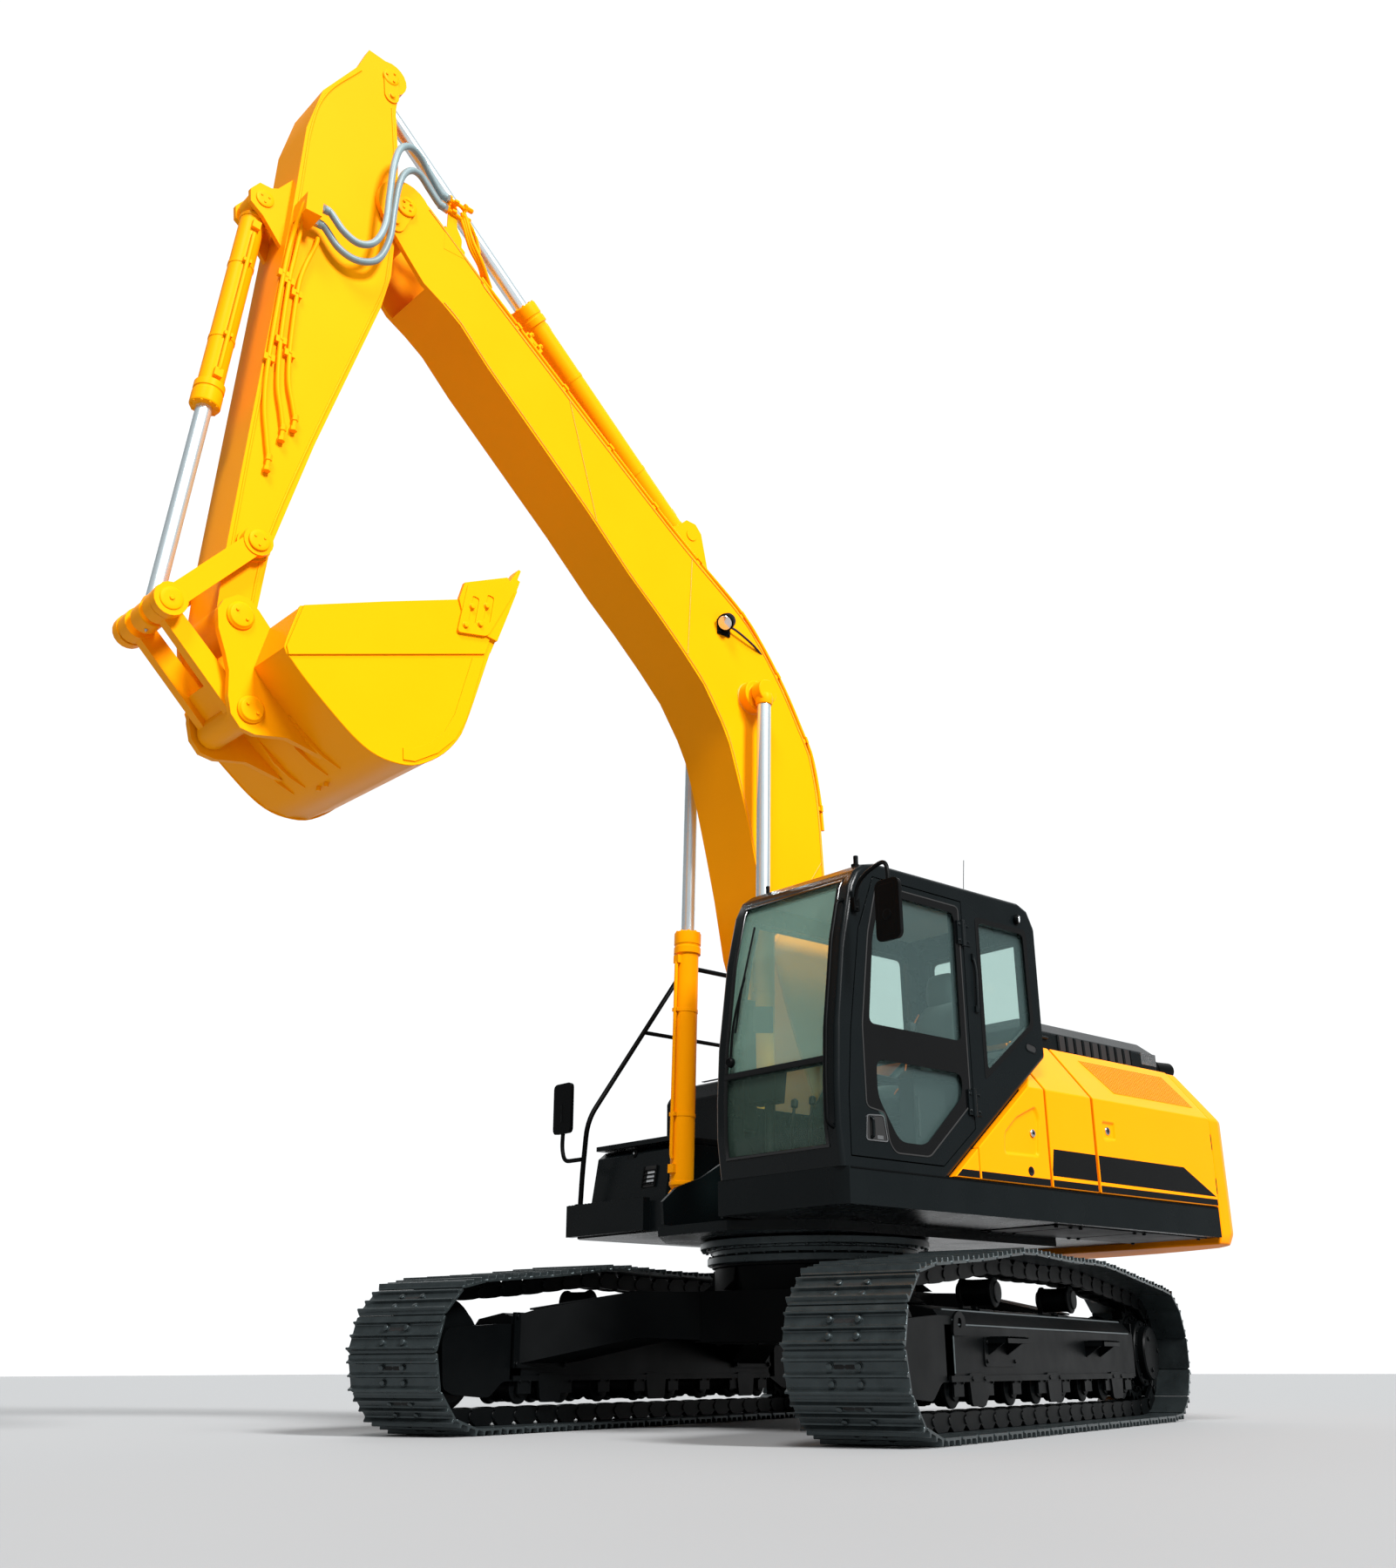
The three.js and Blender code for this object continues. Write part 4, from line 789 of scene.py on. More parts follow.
    def span(a, b):
        return min(Y(a), Y(b)), max(Y(a), Y(b))
    g.prism([(Y(y), z) for y, z in [(1150, 270), (1440, 270), (1440, 520), (1385, 590), (1215, 620), (1150, 600)]], "x", -1590, 1500)
    fork = rounded([(1400, 262), (1400, 560), (1575, 560), (2050, 530), (2095, 470), (2070, 230), (1990, 200), (1680, 180), (1560, 262)], 30)
    slot_ = oval((1950, 400), 60, 44, 8)
    g.prism(fork, "y", *span(1400, 1440))
    g.prism(fork, "y", *span(1150, 1190))
    rear = rounded([(-1500, 272), (-1500, 598), (-1720, 640), (-2060, 600), (-2140, 480), (-2140, 330), (-2040, 220), (-1720, 190)], 40)
    g.prism(rear, "y", *span(1150, 1184))
    # lower flange, upper rib and end plates of the box
    g.box(-1500, 1480, *span(1436, 1456), 262, 290)
    g.box(-1500, 1480, *span(1140, 1152), 262, 290)
    g.box(-1594, -1580, *span(1154, 1436), 275, 585)
    # access cover of the tensioner with its bolts
    cover = rounded([(560, 330), (1010, 330), (1010, 470), (560, 470)], 30)
    g.prism(cover, "y", *span(1439, 1447))
    for x, z in ((590, 355), (980, 355), (590, 445), (980, 445)):
        g.bolt((x, Y(1446), z), (0, s, 0), 10, 8)
    # guards between the lower rollers
    for x in (-1150, 0, 1130):
        gd = rounded([(x - 120, 300), (x + 120, 300), (x + 95, 150), (x - 95, 150)], 30)
        g.prism(gd, "y", *span(1436, 1452))
        g.prism(gd, "y", *span(1139, 1155))
        for dx in (-80, 80):
            g.bolt((x + dx, Y(1451), 275), (0, s, 0), 12, 9)
    for x in (650, -600):
        br = rounded([(x - 60, 560), (x + 60, 560), (x + 52, 690), (x + 30, 742), (x - 30, 742), (x - 52, 690)], 16)
        g.prism(br, "y", *span(1196, 1224))
        g.box(x - 90, x + 90, *span(1200, 1330), 560, 612)
        for dx in (-68, 68):
            g.bolt((x + dx, Y(1300), 612), (0, 0, 1), 12, 10)
    for x in (820, -760):
        g.box(x - 150, x + 150, *span(1436, 1560), 462, 470)
        g.box(x - 150, x + 150, *span(1548, 1560), 440, 470)
        g.box(x - 150, x - 140, *span(1436, 1556), 440, 466)
        g.box(x + 140, x + 150, *span(1436, 1556), 440, 466)
        for k in range(6):
            g.box(x - 140 + 48 * k, x - 132 + 48 * k, *span(1446, 1550), 469, 473)
        for e in (-1, 1):
            xx = x + e * 130
            g.prism([(Y(1438), 380), (Y(1538), 445), (Y(1538), 462), (Y(1438), 462)], "x", xx - 8, xx + 8)
    # jacking and lifting eye plates
    g.prism(rounded([(1240, 470), (1420, 470), (1400, 560), (1330, 590), (1260, 560)], 24), "y", *span(1438, 1452), holes=[circle((1330, 530), 24, 16)])
    ob = make(g, f"side_frame_{word}", [BLACK], "undercarriage", UNDER, bevel=4, segs=2, slot="black_paint")
    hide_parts(f"track_frame_{word}")
    g = Geo()
    for i in range(8):
        x = -1400 + i * 395
        g.turn((x, yc - 132, 236), (0, 1, 0), [(40, 0), (58, 3), (60, 14), (84, 18), (94, 22), (94, 40), (84, 44), (84, 96), (70, 104), (70, 160), (84, 168), (84, 220), (94, 224), (94, 242), (84, 246), (60, 250), (58, 261), (40, 264)], 28)
        for e in (-1, 1):
            yy = yc + e * 134
            g.box(x - 62, x + 62, min(yy, yy + e * 14), max(yy, yy + e * 14), 196, 276)
            for dx in (-44, 44):
                g.bolt((x + dx, yy + e * 14, 260), (0, e, 0), 9, 7)
    for x in (650, -600):
        g.turn((x, yc - 112, 697), (0, 1, 0), [(30, 0), (52, 2), (55, 12), (68, 16), (76, 20), (76, 34), (68, 38), (66, 80), (66, 144), (68, 186), (76, 190), (76, 204), (68, 208), (55, 212), (52, 222), (30, 224)], 28)
        g.rod((x, Y(1226), 697), (x, yc, 697), 38, 20)
    make(g, f"track_rollers_{word}", [BLACK], "undercarriage", UNDER, bevel=2, segs=1, angle=50, slot="black_paint")
    # weld beads along the frame's edges, in bright steel: painted highlights on the edges
    g = Geo()
    for a, b in (((-1500, Y(1441), 521), (1400, Y(1441), 521)), ((-1500, Y(1386), 591), (1400, Y(1386), 591)), ((1400, Y(1441), 545), (1400, Y(1441), 300))):
        g.rod(a, b, 5, 8)
    make(g, f"side_frame_welds_{word}", [PAINTED_EDGE_HIGHLIGHT], "undercarriage", UNDER, smooth=60, slot="black_paint")

# carbody, its legs and turntable
g = Geo()
g.prism([(-640, -430), (-450, -620), (450, -620), (640, -430), (640, 430), (450, 620), (-450, 620), (-640, 430)], "z", 470, 745)
g.turn((0, 0, 700), (0, 0, 1), [(640, 0), (640, 8), (610, 60), (610, 180), (626, 186), (626, 199.7)], 72)
for sx in (1, -1):
    for sy in (1, -1):
        def ring(x0, x1, y, z0, z1):
            return [(sx * x0, sy * y, z0), (sx * x1, sy * y, z0), (sx * x1, sy * y, z1), (sx * x0, sy * y, z1)]
        a = ring(1010, 1470, 1149.6, 348, 605)
        m1 = ring(905, 1372, 1105, 366, 634)
        b = ring(430, 860, 720, 492, 745)
        c = ring(150, 620, 420, 478, 744)
        g.loft([a, m1, b, c])
        # welded plate over the leg and its edge
        g.loft([ring(940, 1390, 1110, 636, 646), ring(452, 838, 724, 744, 752)])
        # foot flange where the leg meets the side frame
        g.loft([ring(985, 1492, 1149.6, 330, 622), ring(985, 1492, 1134, 330, 622)])
        for xx, zz in ((1010, 350), (1470, 350), (1470, 600), (1010, 600)):
            g.bolt((sx * xx, sy * 1134, zz), (0, -sy, 0), 14, 12)
for k in range(36):
    a = 2 * math.pi * k / 36
    g.bolt((584 * math.cos(a), 584 * math.sin(a), 880), (0, 0, 1), 14, 12)
for k in range(8):
    a = 2 * math.pi * (k + 0.5) / 8
    u, v = (math.cos(a), math.sin(a)), (-math.sin(a), math.cos(a))
    g.loft([[(u[0] * r + v[0] * w, u[1] * r + v[1] * w, z) for r, z in ((608, 746), (606, 876), (622, 880), (634, 800), (700, 750))] for w in (-8, 8)])
# bottom guard with its bolts and drain holes
g.box(-560, 560, -420, 420, 458, 471)
for x in (-520, 520):
    for y in (-380, -130, 130, 380):
        g.bolt((x, y, 458), (0, 0, -1), 13, 9)
for x in (-240, 0, 240):
    g.turn((x, 0, 456), (0, 0, 1), [(60, 0), (60, 3)], 24)
ob = make(g, "carbody_frame", [BLACK], "undercarriage", UNDER, bevel=5, segs=2, slot="black_paint")
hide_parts("carbody")
g = Geo()
g.turn((0, 0, 900), (0, 0, 1), [(648, 0), (655, 5), (655, 40), (650, 45), (628, 52), (625, 56), (625, 79.7)], 96)
for k in range(40):
    a = 2 * math.pi * k / 40
    g.bolt((640 * math.cos(a), 640 * math.sin(a), 944), (0, 0, 1), 9, 9)
ob = make(g, "slewing_ring_inner", [TRACK], "undercarriage", UNDER, bevel=1.5, segs=1, slot="bare_casting")
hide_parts("slew_ring_lower")
g = Geo()
g.turn((0, 0, 980.3), (0, 0, 1), [(636, 0), (640, 3), (640, 11), (694, 12), (698, 16), (698, 50), (694, 55), (660, 64.4)], 96)
for k in range(44):
    a = 2 * math.pi * k / 44
    g.bolt((680 * math.cos(a), 680 * math.sin(a), 991.6), (0, 0, -1), 10, 10)
ob = make(g, "slewing_ring_outer", [TRACK], "house", HOUSE, bevel=1.5, segs=1, slot="bare_casting")
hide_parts("slew_ring_upper")

# ================================================================ revolving frame and counterweight
refined("revolving_frame", "revolving_frame_plates", [CHARCOAL], "house", bevel=5, segs=2, slot="charcoal_paint")
refined("counterweight", "counterweight_casting", [YELLOW_CAST], "house", bevel=16, segs=3, angle=20, slot="body_yellow")

CW = lambda x, y, z: (x, y, z)
g = Geo()
# skirt's bright upper edge, kick strips and bolts along the skirt
for y in (1401, -1401):
    sg = 1 if y > 0 else -1
    a, b = sorted((sg * 1398.2, sg * 1402))
    g.box(-2300, 1150 if sg > 0 else 735, a, b, 1277, 1285)
make(g, "skirt_edge_strips", [BLACK], "house", bevel=1, segs=1, slot="charcoal_paint")
g = Geo()
# belly covers seen from below
for x0, x1 in ((-2250, -1560), (-1540, -900), (-880, -660)):
    for y0, y1 in ((-1330, -760), (760, 1330)):
        g.box(x0, x1, y0, y1, 1094, 1101)
        for x in (x0 + 40, x1 - 40):
            for y in (y0 + 40, y1 - 40):
                g.bolt((x, y, 1094), (0, 0, -1), 12, 8)
make(g, "belly_covers", [BLACK], "house", bevel=1.2, segs=1, slot="black_paint")
# treads on the step plate and deck walkway
g = Geo()
for k in range(22):
    g.box(803, 846, -1385 + 34 * k, -1371 + 34 * k, 1304, 1308)
for k in range(9):
    g.box(700, 790, -1330 + 80 * k, -1316 + 80 * k, 1284, 1288)
make(g, "step_treads", [BLACK], "house", bevel=1, segs=1, slot="black_paint")

# counterweight's two lifting eyes, rear lamps and inset panel line
g = Geo()
for y in (-560, 560):
    g.turn((-2600, y, 2186), (0, 0, 1), [(70, 0), (70, 8), (62, 12), (40, 12)], 28)
    # the eye's hole: a disc in painted shade
    g.turn((-2600, y, 2186), (0, 0, 1), [(36, 0), (36, 13), (20, 13.5)], 24, 1)
make(g, "counterweight_lifting_eyes", [YELLOW_CAST, PAINTED_SHADE_FILL], "house", bevel=2, segs=2, angle=50, slot="body_yellow")
g = Geo()
for sg in (1, -1):
    a = math.asin(sg * 1000 / 2930)
    for k, mi in ((0, 0), (1, 1)):
        yy = sg * (930 + 90 * k)
        xx = -2930 * math.cos(math.asin(yy / 2930)) + 14
        n_ = Vector((-math.cos(math.asin(yy / 2930)), math.sin(math.asin(yy / 2930)), 0))
        g.turn((xx, yy, 1420), n_, [(40, -8), (40, 4), (30, 10), (4, 12)], 24, mi)
make(g, "counterweight_rear_lamps", [RED, AMBER], "house", smooth=50)
# ================================================================ side covers
POCKET = rounded([(-112, 1444), (-127, 1566), (-248, 1666), (-445, 1749), (-475, 1688), (-441, 1449)], 26)


def inset(pts, k):
    return strip_ring(pts, 0, k)[1]


mid_ = (sum(p[0] for p in POCKET) / len(POCKET), sum(p[1] for p in POCKET) / len(POCKET))
pocket_cut = Geo().loft([[(x, 1409, z) for x, z in POCKET], [(mid_[0] + (x - mid_[0]) * 0.88, 1391, mid_[1] + (z - mid_[1]) * 0.88) for x, z in POCKET]])
outer = rounded([(-92, 1420), (-110, 1590), (-255, 1700), (-470, 1790), (-505, 1705), (-470, 1420)], 30)
refined("battery_door", "battery_door_panel", [BODY_PAINTED_SHADE], "battery_door", bevel=7, segs=3, cutters=[pocket_cut], slot="body_yellow")
latch_cut = Geo().loft([[(x, 1409, z) for x, z in [(-1095, 1612), (-1095, 1722), (-1226, 1722), (-1226, 1612)]],
                        [(x, 1392, z) for x, z in [(-1107, 1624), (-1107, 1712), (-1216, 1712), (-1216, 1624)]]])
refined("cooling_door", "cooling_door_panel", [BODY_PAINTED_SHADE], "cooling_door", bevel=8, segs=3, cutters=[latch_cut], slot="body_yellow")
refined("left_middle_panel", "left_middle_side_panel", [BODY_PAINTED_SHADE], "house", bevel=8, segs=3, slot="body_yellow")
refined("left_front_trim", "left_front_trim_panel", [BODY_PAINTED_SHADE], "house", bevel=6, segs=3, slot="body_yellow")
latch_r = Geo().loft([[(x, -1409, z) for x, z in [(-1500, 1612), (-1500, 1722), (-1630, 1722), (-1630, 1612)]],
                      [(x, -1392, z) for x, z in [(-1512, 1624), (-1512, 1712), (-1618, 1712), (-1618, 1624)]]])
refined("pump_door", "pump_door_panel", [BODY_PAINTED_SHADE], "pump_door", bevel=8, segs=3, cutters=[latch_r], slot="body_yellow")


def clip_x(poly, lo, hi):
    """part of a polygon between two x values"""
    def half(pts, keep, x0):
        out = []
        for i, p in enumerate(pts):
            q = pts[(i + 1) % len(pts)]
            if keep(p):
                out.append(p)
            if keep(p) != keep(q):
                t = (x0 - p[0]) / (q[0] - p[0])
                out.append((x0, p[1] + (q[1] - p[1]) * t))
        return out
    return half(half(poly, lambda p: p[0] >= lo, lo), lambda p: p[0] <= hi, hi)


STRIPE = [(-579, 1511), (-549, 1358), (-2296, 1352), (-1947, 1512)]
BAND = [(330, 1336), (330, 1296), (-2309, 1298), (-2309, 1335)]
for body, lo, hi, slanted in (("house", -992, -556, False), ("cooling_door", -2308, -1026, False), ("battery_door", -524, 100, False), ("house", 120, 322, True)):
    g = Geo()
    for poly in (STRIPE, BAND):
        part = clip_x(poly, lo, hi)
        if slanted and poly is BAND:
            part = [(120, 1336), (120, 1297), (314, 1297), (264, 1336)]
        if len(part) >= 3 and max(p[0] for p in part) - min(p[0] for p in part) > 5:
            g.prism(part, "y", 1404.5, 1406.2)
    make(g, f"black_side_stripe_{body}_{int(abs(lo))}", [GLOSS], body, slot="black_paint")
for lo, hi, body in ((-2308, -1438, "pump_door"),):
    g = Geo()
    for poly in (STRIPE, BAND):
        part = clip_x(poly, lo, hi)
        g.prism(part, "y", -1406.2, -1404.5)
    make(g, "black_side_stripe_right", [GLOSS], body, slot="black_paint")

# air intake mesh on the leaning part of both engine doors
def lean(y, z, off):
    """point on the leaning face: y measured from its lower edge, off outwards"""
    d = Vector((1120 - 1405, 2195 - 1851)).normalized()
    n = Vector((d.y, -d.x))
    p = Vector((1405, 1851)) + d * y + n * off
    return p.x, p.y


for sg, body, x_a, x_b in ((1, "cooling_door", -1255, -2225), (-1, "pump_door", -1500, -2250)):
    g = Geo()
    s0, s1 = 92, 372
    top_a, top_b, low_a, low_b = x_a, x_b + 45, x_a - 90, x_b

    def at(x, s, off, sg=sg):
        y, z = lean(s, 0, off)
        return (x, sg * y, z)
    # backing sheet in painted shade behind the bars, for the dark space seen through the mesh
    g.loft([[at(low_a, s0, 0.6), at(low_b, s0, 0.6), at(top_b, s1, 0.6), at(top_a, s1, 0.6)],
            [at(low_a, s0, -3), at(low_b, s0, -3), at(top_b, s1, -3), at(top_a, s1, -3)]], 1)
    n_x = 38
    for k in range(n_x + 1):
        f = k / n_x
        xl, xt = low_a + (low_b - low_a) * f, top_a + (top_b - top_a) * f
        g.loft([[at(xl - 3.2, s0, 4), at(xl + 3.2, s0, 4), at(xl + 3.2, s0, 0), at(xl - 3.2, s0, 0)],
                [at(xt - 3.2, s1, 4), at(xt + 3.2, s1, 4), at(xt + 3.2, s1, 0), at(xt - 3.2, s1, 0)]])
    n_s = 22
    for k in range(n_s + 1):
        s_ = s0 + (s1 - s0) * k / n_s
        f = k / n_s
        xa, xb = low_a + (top_a - low_a) * f, low_b + (top_b - low_b) * f
        g.loft([[at(xa + 4, s_ - 2.2, 3.4), at(xa + 4, s_ + 2.2, 3.4), at(xa + 4, s_ + 2.2, 0), at(xa + 4, s_ - 2.2, 0)],
                [at(xb - 4, s_ - 2.2, 3.4), at(xb - 4, s_ + 2.2, 3.4), at(xb - 4, s_ + 2.2, 0), at(xb - 4, s_ - 2.2, 0)]])
    make(g, f"air_intake_mesh_{body}", [BODY_PAINTED_SHADE, PAINTED_SHADE_FILL], body, slot="body_yellow")
    g = Geo()
    xx = -1160 if sg > 0 else -1565
    g.turn((xx, sg * 1391, 1668), (0, sg, 0), [(24, 0), (24, 6), (20, 8)], 24)
    g.turn((xx, sg * 1398, 1668), (0, sg, 0), [(9, 0), (9, 2)], 16, 1)
    g.box(xx - 2, xx + 2, *sorted((sg * 1399, sg * 1401)), 1654, 1682, 1)
    make(g, f"{body}_lock", [STEEL, GLOSS], body, bevel=1, segs=1)
g = Geo()
g.turn((-404, 1391, 1587), (0, 1, 0), [(22, 0), (22, 9), (17, 12)], 24)
g.turn((-404, 1402, 1587), (0, 1, 0), [(9, 0), (9, 2)], 16, 1)
g.turn((-349, 1404, 1369), (0, 1, 0), [(26, 0), (26, 4), (18, 7)], 20, 1)
make(g, "battery_door_lock", [STEEL, GLOSS], "battery_door")

# hinges and gutters of the engine doors, seen from behind and above
g = Geo()
for z in (1420, 1700):
    g.rod((-2319, 1396, z - 50), (-2319, 1396, z + 50), 9, 14)
    g.rod((-2319, -1396, z - 50), (-2319, -1396, z + 50), 9, 14)
make(g, "side_door_hinge_pins", [BLACK], "house")

# ================================================================ machine cover, hood, exhaust and engine
refined("machine_cover", "machine_cover_plate", [BODY_PAINTED_SHADE], "house", bevel=8, segs=3, slot="body_yellow")
refined("engine_hood", "engine_hood_shell", [CHARCOAL], "engine_hood", bevel=26, segs=4, angle=20, slot="charcoal_paint")
# dark sheets in painted shade for the openings of the hood's louvre slots
g = Geo()
for sg, y in ((1, 985.4), (-1, -720.4)):
    a, b = sorted((y - sg * 3, y + sg * 1.4))
    for k in range(9):
        x = -1330 - 92 * k
        g.prism(rounded([(x, 2238), (x - 58, 2238), (x - 50, 2338), (x + 8, 2338)], 9), "y", a, b)
for k in range(7):
    y = -560 + 190 * k
    g.prism(rounded([(y, 2232), (y + 120, 2232), (y + 120, 2330), (y, 2330)], 9), "x", -2441.4, -2437)
make(g, "hood_louvre_slots", [PAINTED_SHADE_FILL], "engine_hood")
g = Geo()
for sg, y in ((1, 985.4), (-1, -720.4)):
    a, b = sorted((y - sg * 1, y + sg * 7))
    for k in range(10):
        x = -1302 - 92 * k
        g.prism([(x, 2234), (x - 12, 2234), (x - 4, 2340), (x + 8, 2340)], "y", a, b)
# hood handle, hinge knuckles and cap
g.bent([(-1180, 965, 2300), (-1180, 1004, 2300), (-1080, 1004, 2300), (-1080, 965, 2300)], 8, 10, fillet=16)
g.box(-1300, -1220, 940, 975, 2190.5, 2206)
make(g, "hood_louvre_bars", [CHARCOAL], "engine_hood", bevel=1.5, segs=2, slot="charcoal_paint")
g = Geo()
for y in (-500, 760):
    g.rod((-922, y - 60, 2202), (-922, y + 60, 2202), 10, 16)
    g.box(-928, -880, y - 40, y + 40, 2190.3, 2200)
make(g, "hood_hinges", [BLACK], "house", bevel=1.5, segs=1)
g = Geo()
d = Vector((-248, 5, 13)).normalized()
g.turn((-2452, 900, 2262), d, [(52, 0), (56, 4), (56, 244), (54, 248), (48, 248), (48, 120), (20, 118)], 40)
g.turn((-2452, 900, 2262), d, [(60, 20), (62, 22), (62, 34), (60, 36)], 40)
g.turn((-2452, 900, 2262), d, [(60, 60), (62, 62), (62, 70), (60, 72)], 40)
g.box(-2600, -2520, 868, 932, 2190.4, 2225)
ob = make(g, "exhaust_tail_pipe", [BLACK], "house", bevel=1.5, segs=2, angle=50, slot="black_paint")
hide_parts("exhaust_pipe")
g = Geo()
g.box(-2430, -2250, 985, 990, 2262, 2345)
for k in range(7):
    g.box(-2422 + 25 * k, -2410 + 25 * k, 989, 993, 2270, 2338)
make(g, "exhaust_heat_shield", [STEEL], "engine_hood", bevel=1.5, segs=2)
g = Geo()
g.box(-2120, -1280, -540, 640, 1286, 1700)
g.box(-2060, -1340, -300, 420, 1700, 1960)
g.box(-2040, -1360, -220, 340, 1960, 2058)
for k in range(6):
    g.turn((-2000 + 120 * k, 60, 2055), (0, 0, 1), [(34, -12), (34, 3), (26, 5)], 18)
    g.tube([(-2000 + 120 * k, 120, 2030), (-2000 + 120 * k, 300, 2035), (-1990 + 120 * k, 400, 1990), (-1980 + 120 * k, 430, 1850)], 10, 10)
g.turn((-2119, 60, 1500), (1, 0, 0), [(200, 0), (215, 4), (215, 24), (200, 30)], 40)
g.turn((-1700, 500, 1820), (1, 0, 0), [(70, -130), (85, -120), (85, 60), (110, 70), (118, 90), (118, 120), (80, 150)], 32)
g.turn((-1560, -420, 1760), (0, 0, 1), [(80, -60), (88, -50), (88, 180), (80, 190)], 32)
ob = make(g, "engine_block", [TRACK], "house", bevel=10, segs=2, slot="bare_casting")
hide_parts("engine")

# ================================================================ tanks, toolbox, rails
refined("fuel_tank", "fuel_tank_body", [CHARCOAL], "house", bevel=22, segs=4, slot="charcoal_paint")
refined("hydraulic_tank", "hydraulic_tank_body", [BODY_PAINTED_SHADE], "house", bevel=14, segs=3, slot="body_yellow")
refined("toolbox", "toolbox_body", [CHARCOAL], "house", bevel=7, segs=3, slot="charcoal_paint")
refined("toolbox_lid", "toolbox_lid_panel", [CHARCOAL], "toolbox_lid", bevel=5, segs=3, slot="charcoal_paint")
g = Geo()
g.turn((-300, -800, 2184), (0, 0, 1), [(70, 0), (74, 3), (74, 30), (66, 38), (30, 41)], 36)
for k in range(12):
    a = 2 * math.pi * k / 12
    g.box(-300 + 74 * math.cos(a) - 4, -300 + 74 * math.cos(a) + 4, -800 + 74 * math.sin(a) - 4, -800 + 74 * math.sin(a) + 4, 2190, 2212)
g.turn((-1080, -860, 2188), (0, 0, 1), [(95, 0), (95, 10), (88, 14), (50, 15)], 36, 0)
for k in range(6):
    a = 2 * math.pi * k / 6
    g.bolt((-1080 + 78 * math.cos(a), -860 + 78 * math.sin(a), 2200), (0, 0, 1), 8, 8, 1)
make(g, "tank_caps", [BLACK, ZINC], "house", bevel=2, segs=2, angle=50, slot="black_paint")
g = Geo()
# sight glass, drain and non-slip pads
g.box(-420, -380, -1394, -1389, 1500, 1900)
g.box(-412, -388, -1396, -1393, 1520, 1880, 1)
for k in range(8):
    g.box(-720 + 80 * k, -690 + 80 * k, -1180, -640, 2184, 2188.5)
make(g, "tank_pads_and_gauge", [BLACK, AMBER], "house", bevel=1.5, segs=1)
g = Geo()
for k in range(7):
    g.box(60 + 80 * k, 80 + 80 * k, -1310, -640, 1699, 1703)
g.bent([(652, -1010, 1640), (672, -1010, 1640), (672, -930, 1640), (652, -930, 1640)], 7, 10, fillet=12)
make(g, "toolbox_lid_treads_and_handle", [BLACK], "toolbox_lid", bevel=1, segs=1)
g = Geo()
# barred work lamp and lock on the box's sloping front
# the recess behind the lamp's bars in painted shade
g.slab((669, -770, 1452), (4, 0, 0.8), (0, 62, 0), (-12, 0, 66), 1)
g.slab((671, -762, 1450), (4, 0, 0.8), (0, 34, 0), (-8, 0, 44), 2)
for z_ in (1412, 1438, 1464, 1490):
    g.slab((679 - (z_ - 1450) * 0.18, -770, z_), (4, 0, 0.8), (0, 62, 0), (-0.8, 0, 4.4), 0)
g.slab((676, -832, 1452), (5, 0, 0.8), (0, 5, 0), (-12, 0, 66), 0)
g.slab((676, -708, 1452), (5, 0, 0.8), (0, 5, 0), (-12, 0, 66), 0)
g.turn((640, -960, 1612), (1, 0, 0.18), [(26, -8), (26, 4), (20, 9), (8, 10)], 24, 0)
g.turn((649, -960, 1614), (1, 0, 0.18), [(7, 0), (7, 2.5)], 14, 2)
make(g, "toolbox_lamp_and_lock", [BLACK, PAINTED_SHADE_FILL, LENS], "house", bevel=1.5, segs=1, slot="black_paint")

y = -1300
g = Geo()
g.bent([(790, y - 30, 1306), (780, y - 30, 1500), (762, y - 10, 1850), (-60, y, 2980), (-140, y, 3020), (-640, y, 3020), (-720, y, 2960), (-730, y, 2186)], 17, 16, fillet=110, arc=7)
g.rod((292, y, 2495), (-725, y, 2495), 14, 14)
g.rod((-60, y, 2975), (-60, y, 2186), 14, 14)
g.bent([(788, y - 30, 1600), (800, y - 200, 1600), (790, y - 245, 1690), (780, y - 245, 1900)], 14, 14, fillet=60)
for x, z in ((790, 1306), (-730, 2186), (-60, 2186)):
    yy = y - 30 if x > 0 else y
    g.turn((x, yy, z - 0.5), (0, 0, 1), [(38, 0), (38, 8), (30, 10)], 24)
plate = [(p[0], p[1]) for p in rounded([(y - 345, 1785), (y - 150, 1785), (y - 150, 2120), (y - 345, 2120)], 40, 6)]
g.loft([[(766, a, b) for a, b in inset(plate, 12)], [(772, a, b) for a, b in inset(plate, 2)], [(796, a, b) for a, b in plate], [(800, a, b) for a, b in inset(plate, 4)]])
face = inset(plate, 9)
g.loft([[(763.5, a, b) for a, b in inset(plate, 18)], [(767, a, b) for a, b in inset(plate, 16)]], 1)
g.rod((783, y - 245, 1860), (783, y - 245, 1980), 20, 16)
ob = make(g, "guard_rail_and_right_mirror", [BLACK, MIRROR], "house", smooth=40, slot="black_paint")
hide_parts("guard_rail")

# ================================================================ cab
FRONT = [(1190, 1285.6), (1216, 1500), (1216, 1700), (1200, 2000), (1130, 2500), (1055, 2800), (1000, 2900)]
CAB_OUT = FRONT + [(930, 2950), (830, 2975), (-460, 2985), (-555, 2950), (-600, 2870), (-600, 1285.6)]


def on_outline(p, tol=1.5):
    for a, b in zip(CAB_OUT, CAB_OUT[1:] + CAB_OUT[:1]):
        a, b = Vector(a), Vector(b)
        d = b - a
        t = max(0, min(1, (Vector((p.x, p.z)) - a).dot(d) / d.length_squared))
        if (a + d * t - Vector((p.x, p.z))).length < tol:
            return True
    return False


def cab_edge(p, q):
    if abs(p.y - q.y) > 1 or min(abs(p.y - 1385), abs(p.y - 445)) > 1:
        return False
    if p.z < 1290 and q.z < 1290:
        return False
    if p.y > 1300 and (p.x < -595 and q.x < -595) and max(p.z, q.z) < 2045:
        return False
    return on_outline(p) and on_outline(q)


